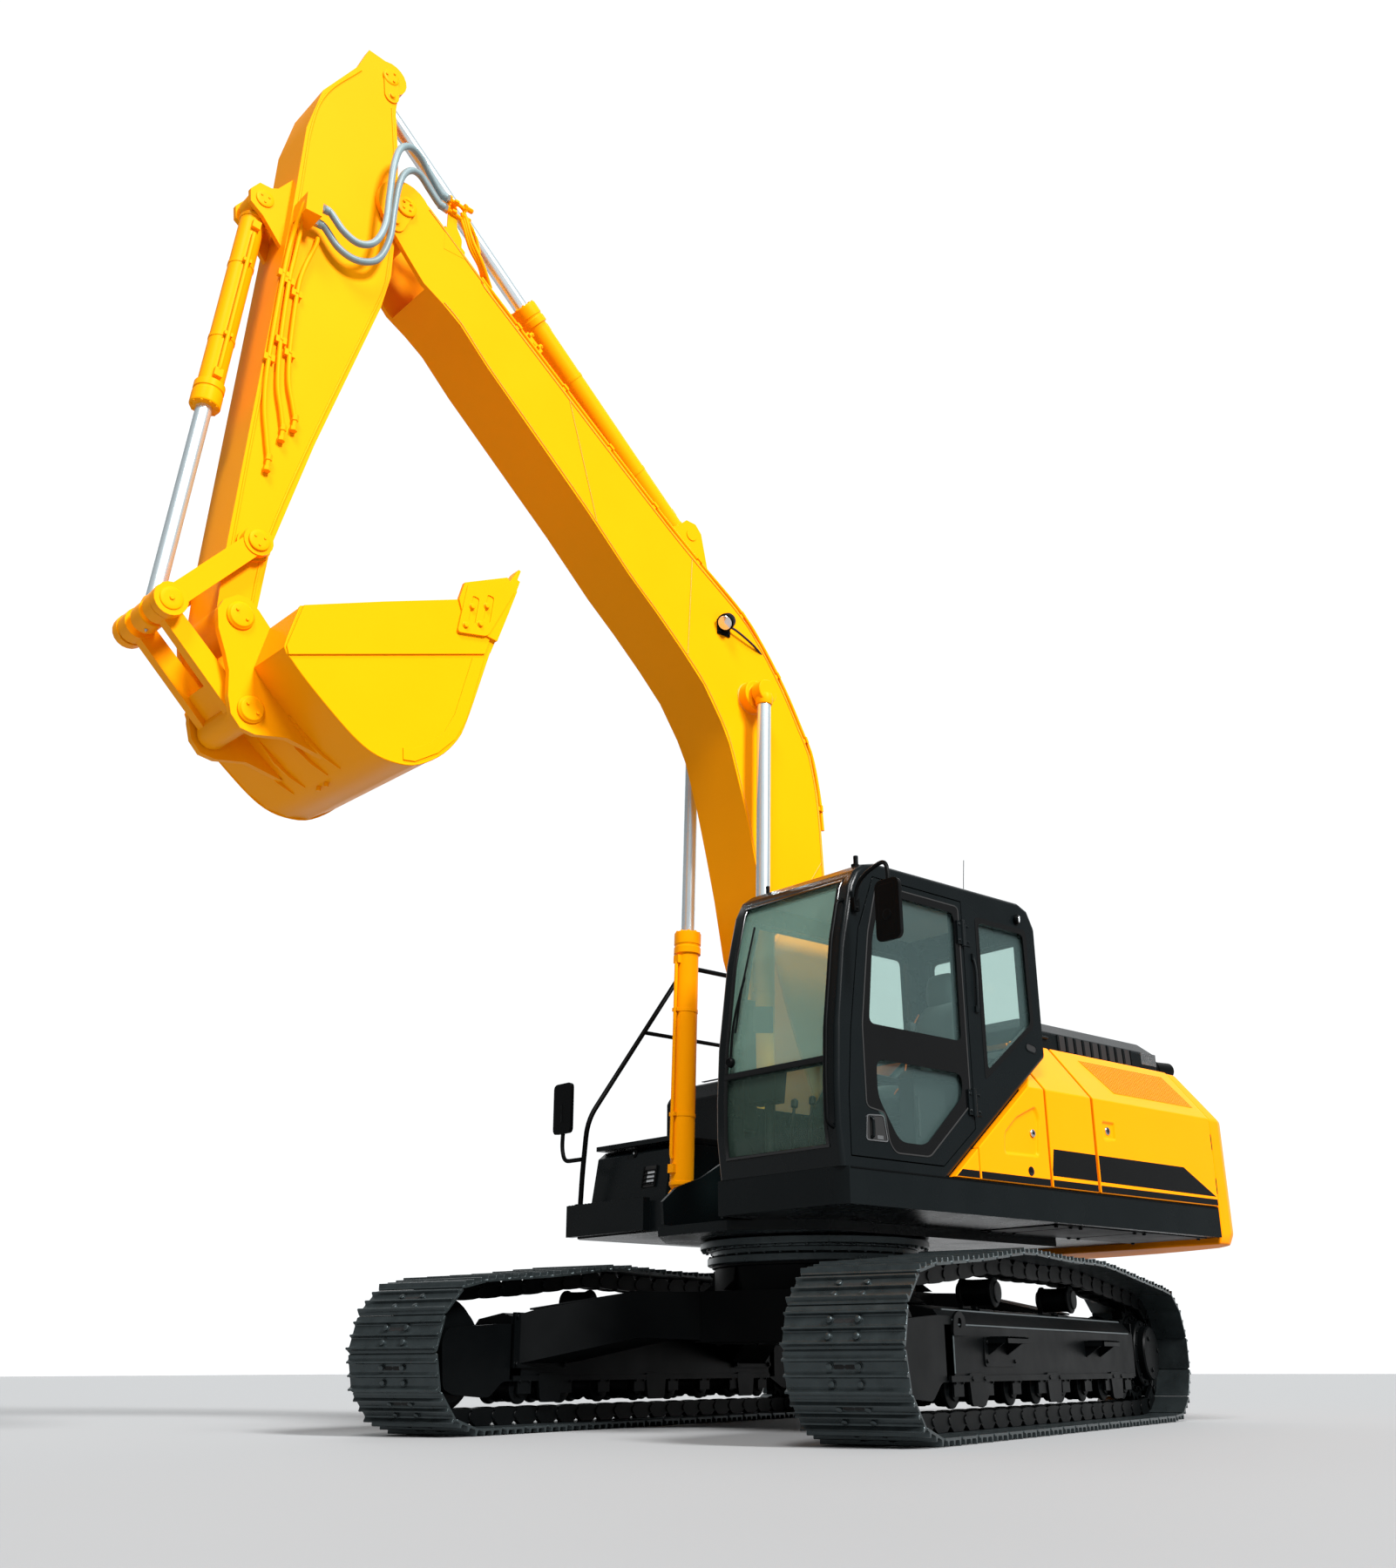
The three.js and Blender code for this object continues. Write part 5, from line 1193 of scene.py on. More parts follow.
refined("cab_shell", "cab_frame", [CHARCOAL], "house", bevel=4, segs=2, angle=30, wide=30, pick=cab_edge, slot="charcoal_paint")
refined("cab_door", "cab_door_frame", [CHARCOAL], "cab_door", bevel=4, segs=2, angle=30, merge=False, slot="charcoal_paint")
skin("windscreen", GLASS_FRONT_PAINTED_REFLECTION)
skin("windscreen_lower", GLASS_LOWER_PAINTED_REFLECTION)
for n in ("left_rear_glass", "right_glass", "rear_glass", "door_glass_upper", "door_glass_lower"):
    skin(n, GLASS)

DOOR_UP = [(965, 2035), (165, 2035), (160, 2815), (815, 2815), (905, 2540)]
DOOR_LOW = [(945, 1880), (165, 1880), (168, 1715), (520, 1415), (770, 1413), (955, 1650)]
SIDE_WIN = [(-35, 2800), (-490, 2800), (-500, 2230), (-30, 1880)]
RIGHT_WIN = [(1030, 1700), (1030, 2200), (960, 2560), (890, 2790), (-430, 2800), (-440, 2150), (120, 1700)]
# printed black borders, belt and rubber seals round the panes
g = Geo()
belt = rounded([(1000, 2035), (925, 2552), (838, 2842), (138, 2842), (136, 1700), (508, 1386), (780, 1384), (824, 1432), (852, 1588), (992, 1606)], 30)
g.prism(belt, "y", 1384.4, 1386.6, holes=[rounded(inset(DOOR_UP, 14), 46), rounded([(905, 1862), (195, 1862), (200, 1738), (535, 1440), (745, 1440), (905, 1665)], 60)])
make(g, "door_glass_border", [GLOSS], "cab_door", smooth=20, slot="black_paint")
g = Geo()
g.ring(strip_ring(belt, 8, 0)[0], belt, "y", 1384.4, 1388.2)
make(g, "door_glass_seal", [RUBBER], "cab_door", bevel=1, segs=1, slot="dark_plastic")
g = Geo()
sw = rounded(strip_ring(SIDE_WIN, 16, 0)[0], 34)
g.ring(sw, rounded(inset(SIDE_WIN, 16), 36), "y", 1384.6, 1387)
rw = rounded(strip_ring(RIGHT_WIN, 16, 0)[0], 34)
g.ring(rw, rounded(inset(RIGHT_WIN, 14), 40), "y", 443, 445.4)
rear_ = rounded([(544, 2114), (1286, 2114), (1286, 2796), (544, 2796)], 40)
g.ring(rear_, rounded([(578, 2148), (1252, 2148), (1252, 2762), (578, 2762)], 40), "x", -602.2, -599.6)
make(g, "window_seals", [GLOSS], "house", smooth=20, slot="dark_plastic")


def front_x(z, off=0.0):
    for (x0, z0), (x1, z1) in zip(FRONT, FRONT[1:]):
        if z0 <= z <= z1:
            return x0 + (x1 - x0) * (z - z0) / (z1 - z0) + off
    return FRONT[-1][0] + off


# screen's frame: seals down both pillars, sill, bar and wiper
g = Geo()
zs = [1392, 1500, 1600, 1700, 1822]
zu = [1858, 2000, 2150, 2300, 2400, 2500, 2650, 2800, 2846]
for y0, y1 in ((521, 547), (1283, 1309)):
    for col in (zs, zu):
        g.loft([[(front_x(z, -3), y0, z), (front_x(z, 4), y0 + 3, z), (front_x(z, 4), y1 - 3, z), (front_x(z, -3), y1, z)] for z in col])
for z0, z1 in ((1381, 1402), (1822, 1858), (2836, 2858)):
    g.loft([[(front_x(z0, -3), 521, z0), (front_x(z0, 5), 521, z0 + 3), (front_x(z1, 5), 521, z1 - 3), (front_x(z1, -3), 521, z1)],
            [(front_x(z0, -3), 1309, z0), (front_x(z0, 5), 1309, z0 + 3), (front_x(z1, 5), 1309, z1 - 3), (front_x(z1, -3), 1309, z1)]])
make(g, "windscreen_seals", [GLOSS], "house", bevel=1.5, segs=2, slot="dark_plastic")
g = Geo()
# grab rail on the left-hand pillar, wiper at the screen's right-hand side
g.bent([(front_x(1480, -4), 1346, 1480), (front_x(1500, 44), 1346, 1500), (front_x(1760, 46), 1346, 1760), (front_x(2020, 46), 1346, 2020),
        (front_x(2480, 46), 1346, 2480), (front_x(2700, 44), 1346, 2700), (front_x(2720, -4), 1346, 2720)], 11, 14, fillet=34)
g.tube([(front_x(1915, 12), 575, 1915), (front_x(2150, 18), 590, 2150), (front_x(2400, 14), 640, 2400)], 8, 10)
g.tube([(front_x(2080, 10), 600, 2080), (front_x(2340, 14), 628, 2340), (front_x(2700, 12), 662, 2700)], 6, 8)
g.turn((front_x(1915, 0), 575, 1915), (1, 0, 0.1), [(28, 0), (28, 22), (20, 30)], 24)
make(g, "cab_grab_rail_and_wiper", [BLACK], "house", smooth=40, slot="black_paint")

# roof: raised panel, gutters, hatch, lamps and aerials
g = Geo()
roof = [(-430, 520), (820, 520), (820, 1310), (-430, 1310)]
g.loft([[(x, y, 2974) for x, y in rounded(roof, 60)], [(x, y, 2996) for x, y in rounded(inset(roof, 10), 60)], [(x, y, 3001) for x, y in rounded(inset(roof, 26), 60)]])
hatch = [(80, 640), (640, 640), (640, 1190), (80, 1190)]
g.loft([[(x, y, 2998) for x, y in rounded(hatch, 50)], [(x, y, 3014) for x, y in rounded(inset(hatch, 6), 50)], [(x, y, 3018) for x, y in rounded(inset(hatch, 20), 50)]])
make(g, "cab_roof_panel", [CHARCOAL], "house", bevel=3, segs=2, slot="charcoal_paint")
g = Geo()
g.rod((-545, 900, 2945), (-545, 900, 3010), 14, 16)
g.tube([(-545, 900, 3008), (-552, 900, 3200), (-575, 899, 3400)], 2.6, 8)
g.rod((-500, 1120, 2960), (-500, 1120, 3010), 10, 14)
g.rod((905, 1300, 2955), (905, 1300, 3018), 14, 16)
g.box(880, 930, 1285, 1315, 2945, 2968)
g.rod((880, 560, 2955), (880, 560, 3012), 12, 16)
g.box(862, 898, 545, 575, 2945, 2966)
# rear corner lamp
g.turn((-420, 1392, 2870), (-0.5, 1, -0.1), [(22, -12), (30, -4), (30, 12), (24, 17)], 24)
g.turn((-420, 1392, 2870), (-0.5, 1, -0.1), [(23, 14), (20, 20), (3, 22)], 20, 1)
make(g, "roof_lamps_and_aerials", [BLACK, LENS], "house", bevel=1.5, segs=1, slot="black_paint")

# door furniture
g = Geo()
hand = rounded([(1012, 1428), (1000, 1562), (868, 1570), (838, 1430)], 22)
g.ring(hand, inset(hand, 6), "y", 1383.5, 1389.5, 2)
# floor of the handle's recess in painted shade
g.prism(inset(hand, 8), "y", 1383.5, 1385.6, 1)
g.bent([(968, 1386, 1548), (968, 1404, 1540), (968, 1404, 1452), (968, 1386, 1444)], 9, 12, fillet=10, mi=0)
g.box(878, 925, 1385, 1389, 1440, 1460, 2)
# grab handle inside the opening edge and the hinge straps
for z in (1640, 2620):
    g.box(100, 160, 1384, 1398, z, z + 140)
    g.rod((112, 1396, z - 8), (112, 1396, z + 148), 15, 18)
for z in (1662, 1756, 2642, 2738):
    g.bolt((142, 1397, z), (0, 1, 0), 9, 6)
make(g, "door_handle_and_hinges", [CHARCOAL, PAINTED_SHADE_FILL, STEEL], "cab_door", bevel=1.5, segs=2, slot="charcoal_paint")
g = Geo()
# hinge straps, gas stay's cover and tie-down recess on the fixed side
g.box(40, 92, 1384, 1392, 1640, 1780)
g.box(40, 92, 1384, 1392, 2620, 2760)
for z in (1662, 1756, 2642, 2738):
    g.bolt((62, 1391, z), (0, 1, 0), 9, 6)
g.tube([(28, 1392, 2560), (20, 1400, 2480), (24, 1400, 2330), (18, 1392, 2250)], 8, 10)
g.box(8, 40, 1384, 1400, 2540, 2580)
g.box(8, 40, 1384, 1400, 2235, 2270)
rec = oval((-470, 2090), 26, 20, 8, 0.15)
g.ring(strip_ring(rec, 7, 0)[0], rec, "y", 1384, 1389)
# floor of the tie-down recess in painted shade
g.prism(rec, "y", 1384, 1385.8, 1)
make(g, "cab_side_fittings", [CHARCOAL, PAINTED_SHADE_FILL], "house", bevel=1.2, segs=1, slot="charcoal_paint")

# roof lining, pillars' trim, floor mat and rear shelf inside
g = Geo()
g.box(-430, 780, 520, 1310, 2896, 2904)
g.box(-536, -528, 520, 1310, 1420, 2120)
make(g, "cab_lining", [HEADLINER], "house", bevel=2, segs=1)
g = Geo()
g.box(-500, 1090, 512, 1318, 1351, 1362)
for k in range(14):
    g.box(470, 1060, 540 + 54 * k, 560 + 54 * k, 1361, 1366)
g.box(-520, -300, 520, 1130, 1362, 1760)
g.box(-520, -340, 520, 1130, 1758, 2060)
make(g, "cab_floor_and_rear_shelf", [PLASTIC], "house", bevel=8, segs=2, slot="dark_plastic")
g = Geo()
g.box(1000, 1075, 522, 560, 1560, 2300)
g.slab((985, 575, 2190), (8, 10, 0), (60, -50, 0), (0, 0, 75))
g.slab((973, 566, 2190), (0.8, 1, 0), (50, -42, 0), (0, 0, 62), 1)
make(g, "cab_display_and_pillar_trim", [PLASTIC, GLOSS], "house", bevel=5, segs=2, slot="dark_plastic")

# controls
g = Geo()
g.box(-40, 470, 560, 690, 1351, 1860)
g.loft([[(-40, 560, 1860), (470, 560, 1860), (470, 690, 1860), (-40, 690, 1860)], [(-20, 574, 1925), (440, 574, 1905), (440, 676, 1905), (-20, 676, 1925)]])
g.box(-40, 470, 1150, 1265, 1351, 1835)
g.loft([[(-40, 1150, 1835), (470, 1150, 1835), (470, 1265, 1835), (-40, 1265, 1835)], [(-20, 1162, 1900), (440, 1162, 1880), (440, 1253, 1880), (-20, 1253, 1900)]])
g.box(-60, 420, 640, 1190, 1351, 1400)
g.turn((190, 915, 1399), (0, 0, 1), [(150, 0), (150, 14)] + [(130 - (k % 2) * 22, 20 + 17 * k) for k in range(13)] + [(150, 238), (160, 241)], 24)
for yy in (720, 1115):
    g.box(-40, 440, yy - 36, yy + 36, 1490, 1555)
ob = make(g, "operator_consoles_and_seat_suspension", [PLASTIC], "house", bevel=9, segs=3, slot="dark_plastic")
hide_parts("seat_base")
g = Geo()
for yy in (625, 1208):
    c = (395, yy, 1885)
    g.turn(c, (0.1, 0, 1), [(42, 0), (40, 12), (30, 20), (34, 28), (24, 38), (14, 50)], 24)
    g.tube([(400, yy, 1930), (408, yy, 1980), (404, yy, 2020)], 9, 12)
    g.turn((404, yy, 2015), (-0.05, 0, 1), [(14, 0), (24, 10), (27, 50), (25, 90), (30, 112), (26, 132), (10, 140)], 20)
    g.turn((404, yy, 2152), (-0.05, 0, 1), [(9, 0), (9, 6)], 14)
g.rod((470, 1290, 1500), (470, 1290, 1720), 9, 12)
make(g, "pilot_levers", [RUBBER], "house", smooth=45, slot="dark_plastic")
g = Geo()
g.box(980, 1100, 640, 760, 1351, 1380)
g.tube([(1040, 700, 1375), (1036, 700, 1500), (1030, 695, 1700)], 30, 20)
g.slab((1034, 688, 1790), (42, 0, 6), (0, 98, 0), (-14, 0, 96))
g.slab((988, 688, 1790), (2, 0, 0.3), (0, 84, 0), (-12, 0, 80), 1)
for yy in (760, 900, 1010, 1140):
    g.tube([(900, yy, 1362), (930, yy, 1500), (905, yy, 1680)], 9, 10)
    g.turn((905, yy, 1672), (-0.1, 0, 1), [(9, 0), (20, 10), (20, 45), (9, 54)], 16)
    g.slab((880, yy, 1400), (70, 0, 22), (0, 44, 0), (-3, 0, 8))
ob = make(g, "front_console_and_pedals", [PLASTIC, GLOSS], "house", bevel=4, segs=2, slot="dark_plastic")
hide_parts("front_console")


def cushion(name, rings, mats, fill=0.8, faces=0):
    """closed quad form given as rings of the same count; ends closed by fans of quads"""
    g = Geo()
    g.loft(rings)
    return make(g, name, mats, "house", subdiv=2, smooth=180, slot="seat_fabric")


def pad_rings(stations, half_w, n=16, power=2.6):
    """superellipse sections: each station gives centre x,z, normal direction, width scale and thickness"""
    rings = []
    for cx, cz, nx, nz, w, th in stations:
        ring = []
        for k in range(n):
            a = 2 * math.pi * k / n
            c_, s_ = math.cos(a), math.sin(a)
            u = math.copysign(abs(c_) ** (2 / power), c_) * half_w * w
            v = math.copysign(abs(s_) ** (2 / power), s_) * th
            ring.append((cx + nx * v, 915 + u, cz + nz * v))
        rings.append(ring)
    return rings


def dir_(dx, dz):
    l = math.hypot(dx, dz)
    return dx / l, dz / l


# seat cushion: runs from the back to the front edge, crowned, with a rolled front
st = [(-108, 1720, *dir_(-0.05, 1), 0.80, 30), (-95, 1725, *dir_(-0.05, 1), 0.90, 60), (-20, 1732, *dir_(0.0, 1), 0.97, 82), (110, 1738, *dir_(0.0, 1), 0.985, 88), (250, 1746, *dir_(0, 1), 1.0, 90),
      (360, 1752, *dir_(0.05, 1), 1.0, 90), (425, 1742, *dir_(0.4, 1), 0.97, 78), (455, 1722, *dir_(0.9, 1), 0.92, 50), (464, 1712, *dir_(1, 0.9), 0.82, 24)]
ob = cushion("seat_cushion", pad_rings(st, 212), [FABRIC])
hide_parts("seat")
st = [(-118, 1800, *dir_(1, 0.2), 0.84, 26), (-124, 1818, *dir_(1, 0.2), 0.93, 48), (-140, 1900, *dir_(1, 0.2), 1.0, 62), (-165, 2020, *dir_(1, 0.22), 1.0, 60), (-192, 2150, *dir_(1, 0.2), 0.97, 56),
      (-212, 2260, *dir_(1, 0.2), 0.90, 52), (-230, 2345, *dir_(1, 0.2), 0.78, 46), (-240, 2388, *dir_(1, 0.2), 0.62, 34), (-243, 2398, *dir_(1, 0.2), 0.50, 16)]
ob = cushion("seat_back_cushion", pad_rings(st, 212), [FABRIC])
st = [(-238, 2374, *dir_(1, 0.12), 0.70, 18), (-240, 2384, *dir_(1, 0.12), 0.86, 34), (-243, 2430, *dir_(1, 0.12), 1.0, 50), (-246, 2490, *dir_(1, 0.12), 1.0, 52), (-249, 2545, *dir_(1, 0.12), 0.94, 44), (-250, 2578, *dir_(1, 0.12), 0.80, 26), (-250, 2585, *dir_(1, 0.12), 0.66, 12)]
ob = cushion("seat_headrest", pad_rings(st, 112), [FABRIC])
g = Geo()
for e in (-1, 1):
    g.tube([(-80, 915 + e * 205, 1775), (60, 915 + e * 207, 1800), (200, 915 + e * 207, 1812), (330, 915 + e * 205, 1812), (420, 915 + e * 196, 1790), (458, 915 + e * 176, 1735)], 5, 8)
    g.tube([(-72, 915 + e * 178, 1830), (-78, 915 + e * 196, 1900), (-106, 915 + e * 198, 2030), (-135, 915 + e * 190, 2160), (-158, 915 + e * 172, 2270), (-183, 915 + e * 136, 2350)], 5, 8)
make(g, "seat_piping", [PIPING], "house", smooth=60)
g = Geo()
g.rod((-246, 880, 2350), (-246, 880, 2430), 7, 12)
g.rod((-246, 950, 2350), (-246, 950, 2430), 7, 12)
g.loft([[(-210, 740, 1700), (-170, 740, 1700), (-170, 1090, 1700), (-210, 1090, 1700)], [(-292, 760, 2330), (-270, 760, 2330), (-270, 1070, 2330), (-292, 1070, 2330)]])
g.box(-200, 380, 735, 1095, 1625, 1652)
for yy in (700, 1130):
    e = 1 if yy > 900 else -1
    g.tube([(-160, yy + e * 6, 1860), (-60, yy + e * 10, 1930), (150, yy + e * 12, 1940)], 22, 14)
make(g, "seat_frame_and_armrests", [PLASTIC], "house", bevel=5, segs=2, slot="dark_plastic")

# mirror on the left front pillar
g = Geo()
g.tube([(1040, 1404, 2690), (1042, 1440, 2800), (1062, 1560, 2852), (1085, 1680, 2840), (1086, 1685, 2620)], 12, 14, steps=40)
g.box(1012, 1056, 1385.5, 1414, 2650, 2725)
for z in (2665, 2710):
    g.bolt((1034, 1414, z), (0, 1, 0), 9, 7)
pl = rounded([(1598, 2420), (1772, 2420), (1772, 2758), (1598, 2758)], 46, 7)
g.loft([[(1064, a, b) for a, b in inset(pl, 16)], [(1070, a, b) for a, b in inset(pl, 4)], [(1096, a, b) for a, b in pl], [(1100, a, b) for a, b in inset(pl, 5)]])
g.loft([[(1062.6, a, b) for a, b in inset(pl, 20)], [(1065, a, b) for a, b in inset(pl, 18)]], 1)
g.turn((1099, 1685, 2560), (1, 0, 0), [(30, -2), (30, 6), (18, 10)], 24)
g.loft([[(1099, a, b) for a, b in inset(pl, 26)], [(1103, a, b) for a, b in inset(pl, 32)]])
ob = make(g, "left_mirror_head", [BLACK, MIRROR], "house", bevel=1.5, segs=1, smooth=40, slot="black_paint")
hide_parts("left_mirror")

# ================================================================ boom
BOOM_TOP = [(-60, 2400), (20, 3300), (38, 3650), (60, 3880), (118, 4148), (200, 4300), (358, 4564), (570, 4841), (774, 5034), (1396, 5454), (2812, 6523), (2867, 6580), (3164, 6824), (3300, 6930)]
BOOM_LOW = [(190, 1860), (380, 2330), (536, 2759), (610, 3140), (680, 3430), (757, 3728), (860, 4045), (930, 4180), (1080, 4400), (1260, 4580), (1480, 4780), (1700, 4965), (2040, 5290),
            (2500, 5700), (2830, 5990), (3040, 6200), (3170, 6290)]
nose_cut = [Geo().box(3036, 3200, 216.5, 270, 6680, 7100), Geo().prism([(3030, 6735), (3200, 6872), (3200, 7100), (3030, 7100)], "y", 170, 262)]
refined("boom", "boom_box_section", [YELLOW], "boom", bevel=6, segs=2, angle=32, smooth=34, cutters=nose_cut, slot="body_yellow")


def shifted(line, d):
    """open polyline moved sideways by d (left of its direction is positive)"""
    out = []
    for i, p in enumerate(line):
        a, b = line[max(0, i - 1)], line[min(len(line) - 1, i + 1)]
        l = math.hypot(b[0] - a[0], b[1] - a[1])
        out.append((p[0] - (b[1] - a[1]) / l * d, p[1] + (b[0] - a[0]) / l * d))
    return out


def along(line, s):
    """point and direction at distance s on an open polyline"""
    for a, b in zip(line, line[1:]):
        l = math.hypot(b[0] - a[0], b[1] - a[1])
        if s <= l or b is line[-1]:
            t = s / l
            return (a[0] + (b[0] - a[0]) * t, a[1] + (b[1] - a[1]) * t), ((b[0] - a[0]) / l, (b[1] - a[1]) / l)
        s -= l


g = Geo()
for sg in (1, -1):
    for line, d in ((BOOM_TOP, -16), (BOOM_LOW, 16)):
        pts = [(x, sg * 215.5, z) for x, z in shifted(line, d)]
        g.tube(pts, 5.5, 8, steps=70)
    # seams where the side plates are butt-welded, and the casting of the foot
    for s_top, s_low in ((3350, 2900), (4650, 3900), (1050, 950)):
        (a, _), (b, _) = along(BOOM_TOP, s_top), along(BOOM_LOW, s_low)
        a, b = Vector(a), Vector(b)
        p, q = a.lerp(b, 0.05), a.lerp(b, 0.95)
        g.rod((p.x, sg * 215.5, p.y), (q.x, sg * 215.5, q.y), 4.5, 8)
    g.turn((LIFT_ROD[0], sg * 214, LIFT_ROD[1]), (0, sg, 0), [(112, 0), (110, 5), (101, 9)], 40)
make(g, "boom_weld_seams", [WELD], "boom", smooth=60, slot="body_yellow")
g = Geo()
for sg in (1, -1):
    # stiffening plates at the fork, and the pins' caps and keepers
    for pin_, y_, r in ((BOOM_TIP, 236, 50), (LIFT_ROD, 288, 58), (BOOM_FOOT, 240, 0)):
        if not r:
            continue
        g.turn((pin_[0], sg * (y_ - 2), pin_[1]), (0, sg, 0), [(r + 16, -10), (r + 18, -7), (r + 18, 3), (r + 12, 6), (r - 8, 7), (r - 12, 3)], 36)
        for k in range(4):
            a_ = math.pi / 4 + k * math.pi / 2
            g.bolt((pin_[0] + (r - 18) * math.cos(a_), sg * (y_ + 1), pin_[1] + (r - 18) * math.sin(a_)), (0, sg, 0), 8, 8)
    g.turn((LIFT_ROD[0], sg * 215, LIFT_ROD[1]), (0, sg, 0), [(100, 0), (104, 4), (104, 70), (98, 74)], 40)
    # keeper bar of the fork's pin
    a, b = sorted((sg * 213, sg * 226))
    g.prism(oval((BOOM_TIP[0] + 30, BOOM_TIP[1] - 74), 76, 62, 10, math.radians(112)), "y", a, b)
    g.turn((BOOM_TIP[0] + 58, sg * 225, BOOM_TIP[1] - 144), (0, sg, 0), [(30, 0), (30, 3), (19, 4), (19, 14), (15, 16)], 16)
make(g, "boom_pin_caps_and_plates", [YELLOW], "boom", bevel=2.5, segs=2, angle=40, slot="body_yellow")

# steel pipes along the boom's back, their clamps, and the valve block
BACKLINE = BOOM_TOP[2:]
g = Geo()
clamps = Geo()
for k, (y_, off, r) in enumerate(((196, 34, 13), (160, 34, 13), (124, 34, 13), (-124, 34, 13), (-160, 34, 13), (-196, 30, 10))):
    stop = 10
    line = shifted(BACKLINE, off)[: stop]
    pts = [(x, y_, z) for x, z in line]
    g.tube(pts, r, 10, steps=80)
    e, d_ = along(line, 0)
for s_ in (150, 620, 1090, 1560, 2030, 2500, 2970, 3440, 3910):
    (x, z), (dx, dz) = along(BACKLINE, s_)
    nx, nz = -dz, dx
    for sg in (1, -1):
        c = (x + nx * 30, sg * 160, z + nz * 30)
        clamps.slab(c, (dx * 22, 0, dz * 22), (0, 58, 0), (nx * 9, 0, nz * 9))
        clamps.slab((x + nx * 12, sg * 160, z + nz * 12), (dx * 14, 0, dz * 14), (0, 50, 0), (nx * 14, 0, nz * 14))
        for yy in (142, 178):
            clamps.bolt((x + nx * 39, sg * yy, z + nz * 39), (nx, 0, nz), 8, 8)
make(g, "boom_hydraulic_pipes", [YELLOW], "boom", smooth=50, slot="body_yellow")
# load-holding valve block with its ports and hoses at the crowd cylinder
(x, z), (dx, dz) = along(BOOM_TOP, 5030)
nx, nz = -dz, dx
c = Vector((x + nx * 62, 120, z + nz * 62))
u, w = Vector((dx, 0, dz)), Vector((nx, 0, nz))
clamps.slab(c, u * 75, (0, 55, 0), w * 42)
clamps.slab(c - u * 96, u * 26, (0, 34, 0), w * 30)
clamps.slab(c - w * 48, u * 90, (0, 66, 0), w * 10)
for a_, b_ in ((-45, 20), (0, -20), (45, 20)):
    clamps.turn(c + u * a_ + Vector((0, b_, 0)) + w * 40, w, [(18, 0), (18, 12), (13, 14), (13, 40), (17, 42), (17, 56), (10, 58)], 6)
    clamps.turn(c + u * a_ + Vector((0, 54, b_ * 0.6)), (0, 1, 0), [(17, 0), (17, 14), (12, 16), (12, 34)], 6)
make(clamps, "boom_pipe_clamps_and_valve", [YELLOW], "boom", bevel=2, segs=2, angle=40, slot="body_yellow")
g = Geo()
for k, y_ in enumerate((124, 160, 196)):
    g.tube([(2826, y_, 6592), (2868, (y_ + 206 + 14 * k) / 2, 6640), (2925, 207 + 14 * k, 6700 + 8 * k), (3000, 208 + 12 * k, 6800 + 20 * k),
            (3056, 214 + 8 * k, 6920 + 30 * k), (3085, 214 + 8 * k, 6980 + 36 * k)], 12, 10, steps=30)
make(g, "boom_nose_pipes", [YELLOW], "boom", smooth=50, slot="body_yellow")
# hose block on the nose
g = Geo()
g.prism(rounded([(3060, 6750), (3172, 6836), (3172, 7074), (3112, 7074), (3100, 6900), (3060, 6830)], 14), "y", 198, 207)
for z_, y_, z0_ in ((7052, 238, 7052), (6992, 216, 6984)):
    g.tube([(3060, y_ - 4, z0_ - 26), (3100, y_ - 2, z0_ - 6), (3186, y_, z_)], 14, 12)
    g.slab((3142, y_ - 6, z_ - 2), (16, 0, 0), (0, 30, 0), (0, 0, 9))
g.tube([(3060, 230, 6990), (2980, 222, 6900), (2930, 205, 6800)], 12, 10, steps=14)
for z_, y_ in ((7052, 238), (6992, 216)):
    g.turn((3178, y_, z_), (1, 0, 0), [(30, 0), (30, 12), (24, 14)], 6)
    g.turn((3082, y_, z_), (-1, 0, 0), [(26, 0), (26, 18), (18, 22), (18, 60), (14, 66)], 6)
make(g, "hose_block_on_boom", [YELLOW], "boom", bevel=3, segs=2, slot="body_yellow")

# black cable in clips down the back and the boom's work lamp
g = Geo()
line = shifted(BOOM_TOP[2:12], 44)
pts = [(x, 90 + 6 * math.sin(i * 1.7), z) for i, (x, z) in enumerate(line)]
g.tube(pts, 9, 10, steps=90)
g.tube([(430, 90, 4720), (520, 190, 4760), (640, 232, 4800), (800, 246, 4850), (880, 240, 4870)], 8, 10, steps=30)
make(g, "boom_cable", [HOSE_BLACK], "boom", smooth=50)
g = Geo()
g.box(850, 960, 215, 226, 4800, 4905)
g.rod((905, 224, 4850), (905, 262, 4850), 12, 14)
g.turn((930, 272, 4870), (0.75, 0.25, -0.62), [(28, -64), (52, -44), (58, -10), (58, 14), (52, 20)], 32)
g.turn((930, 272, 4870), (0.75, 0.25, -0.62), [(50, 16), (46, 23), (4, 26)], 28, 1)
for a_, b_ in ((865, 4815), (945, 4815), (865, 4890), (945, 4890)):
    g.bolt((a_, 226, b_), (0, 1, 0), 8, 7)
make(g, "boom_work_lamp", [BLACK, LENS], "boom", bevel=1.5, segs=1)


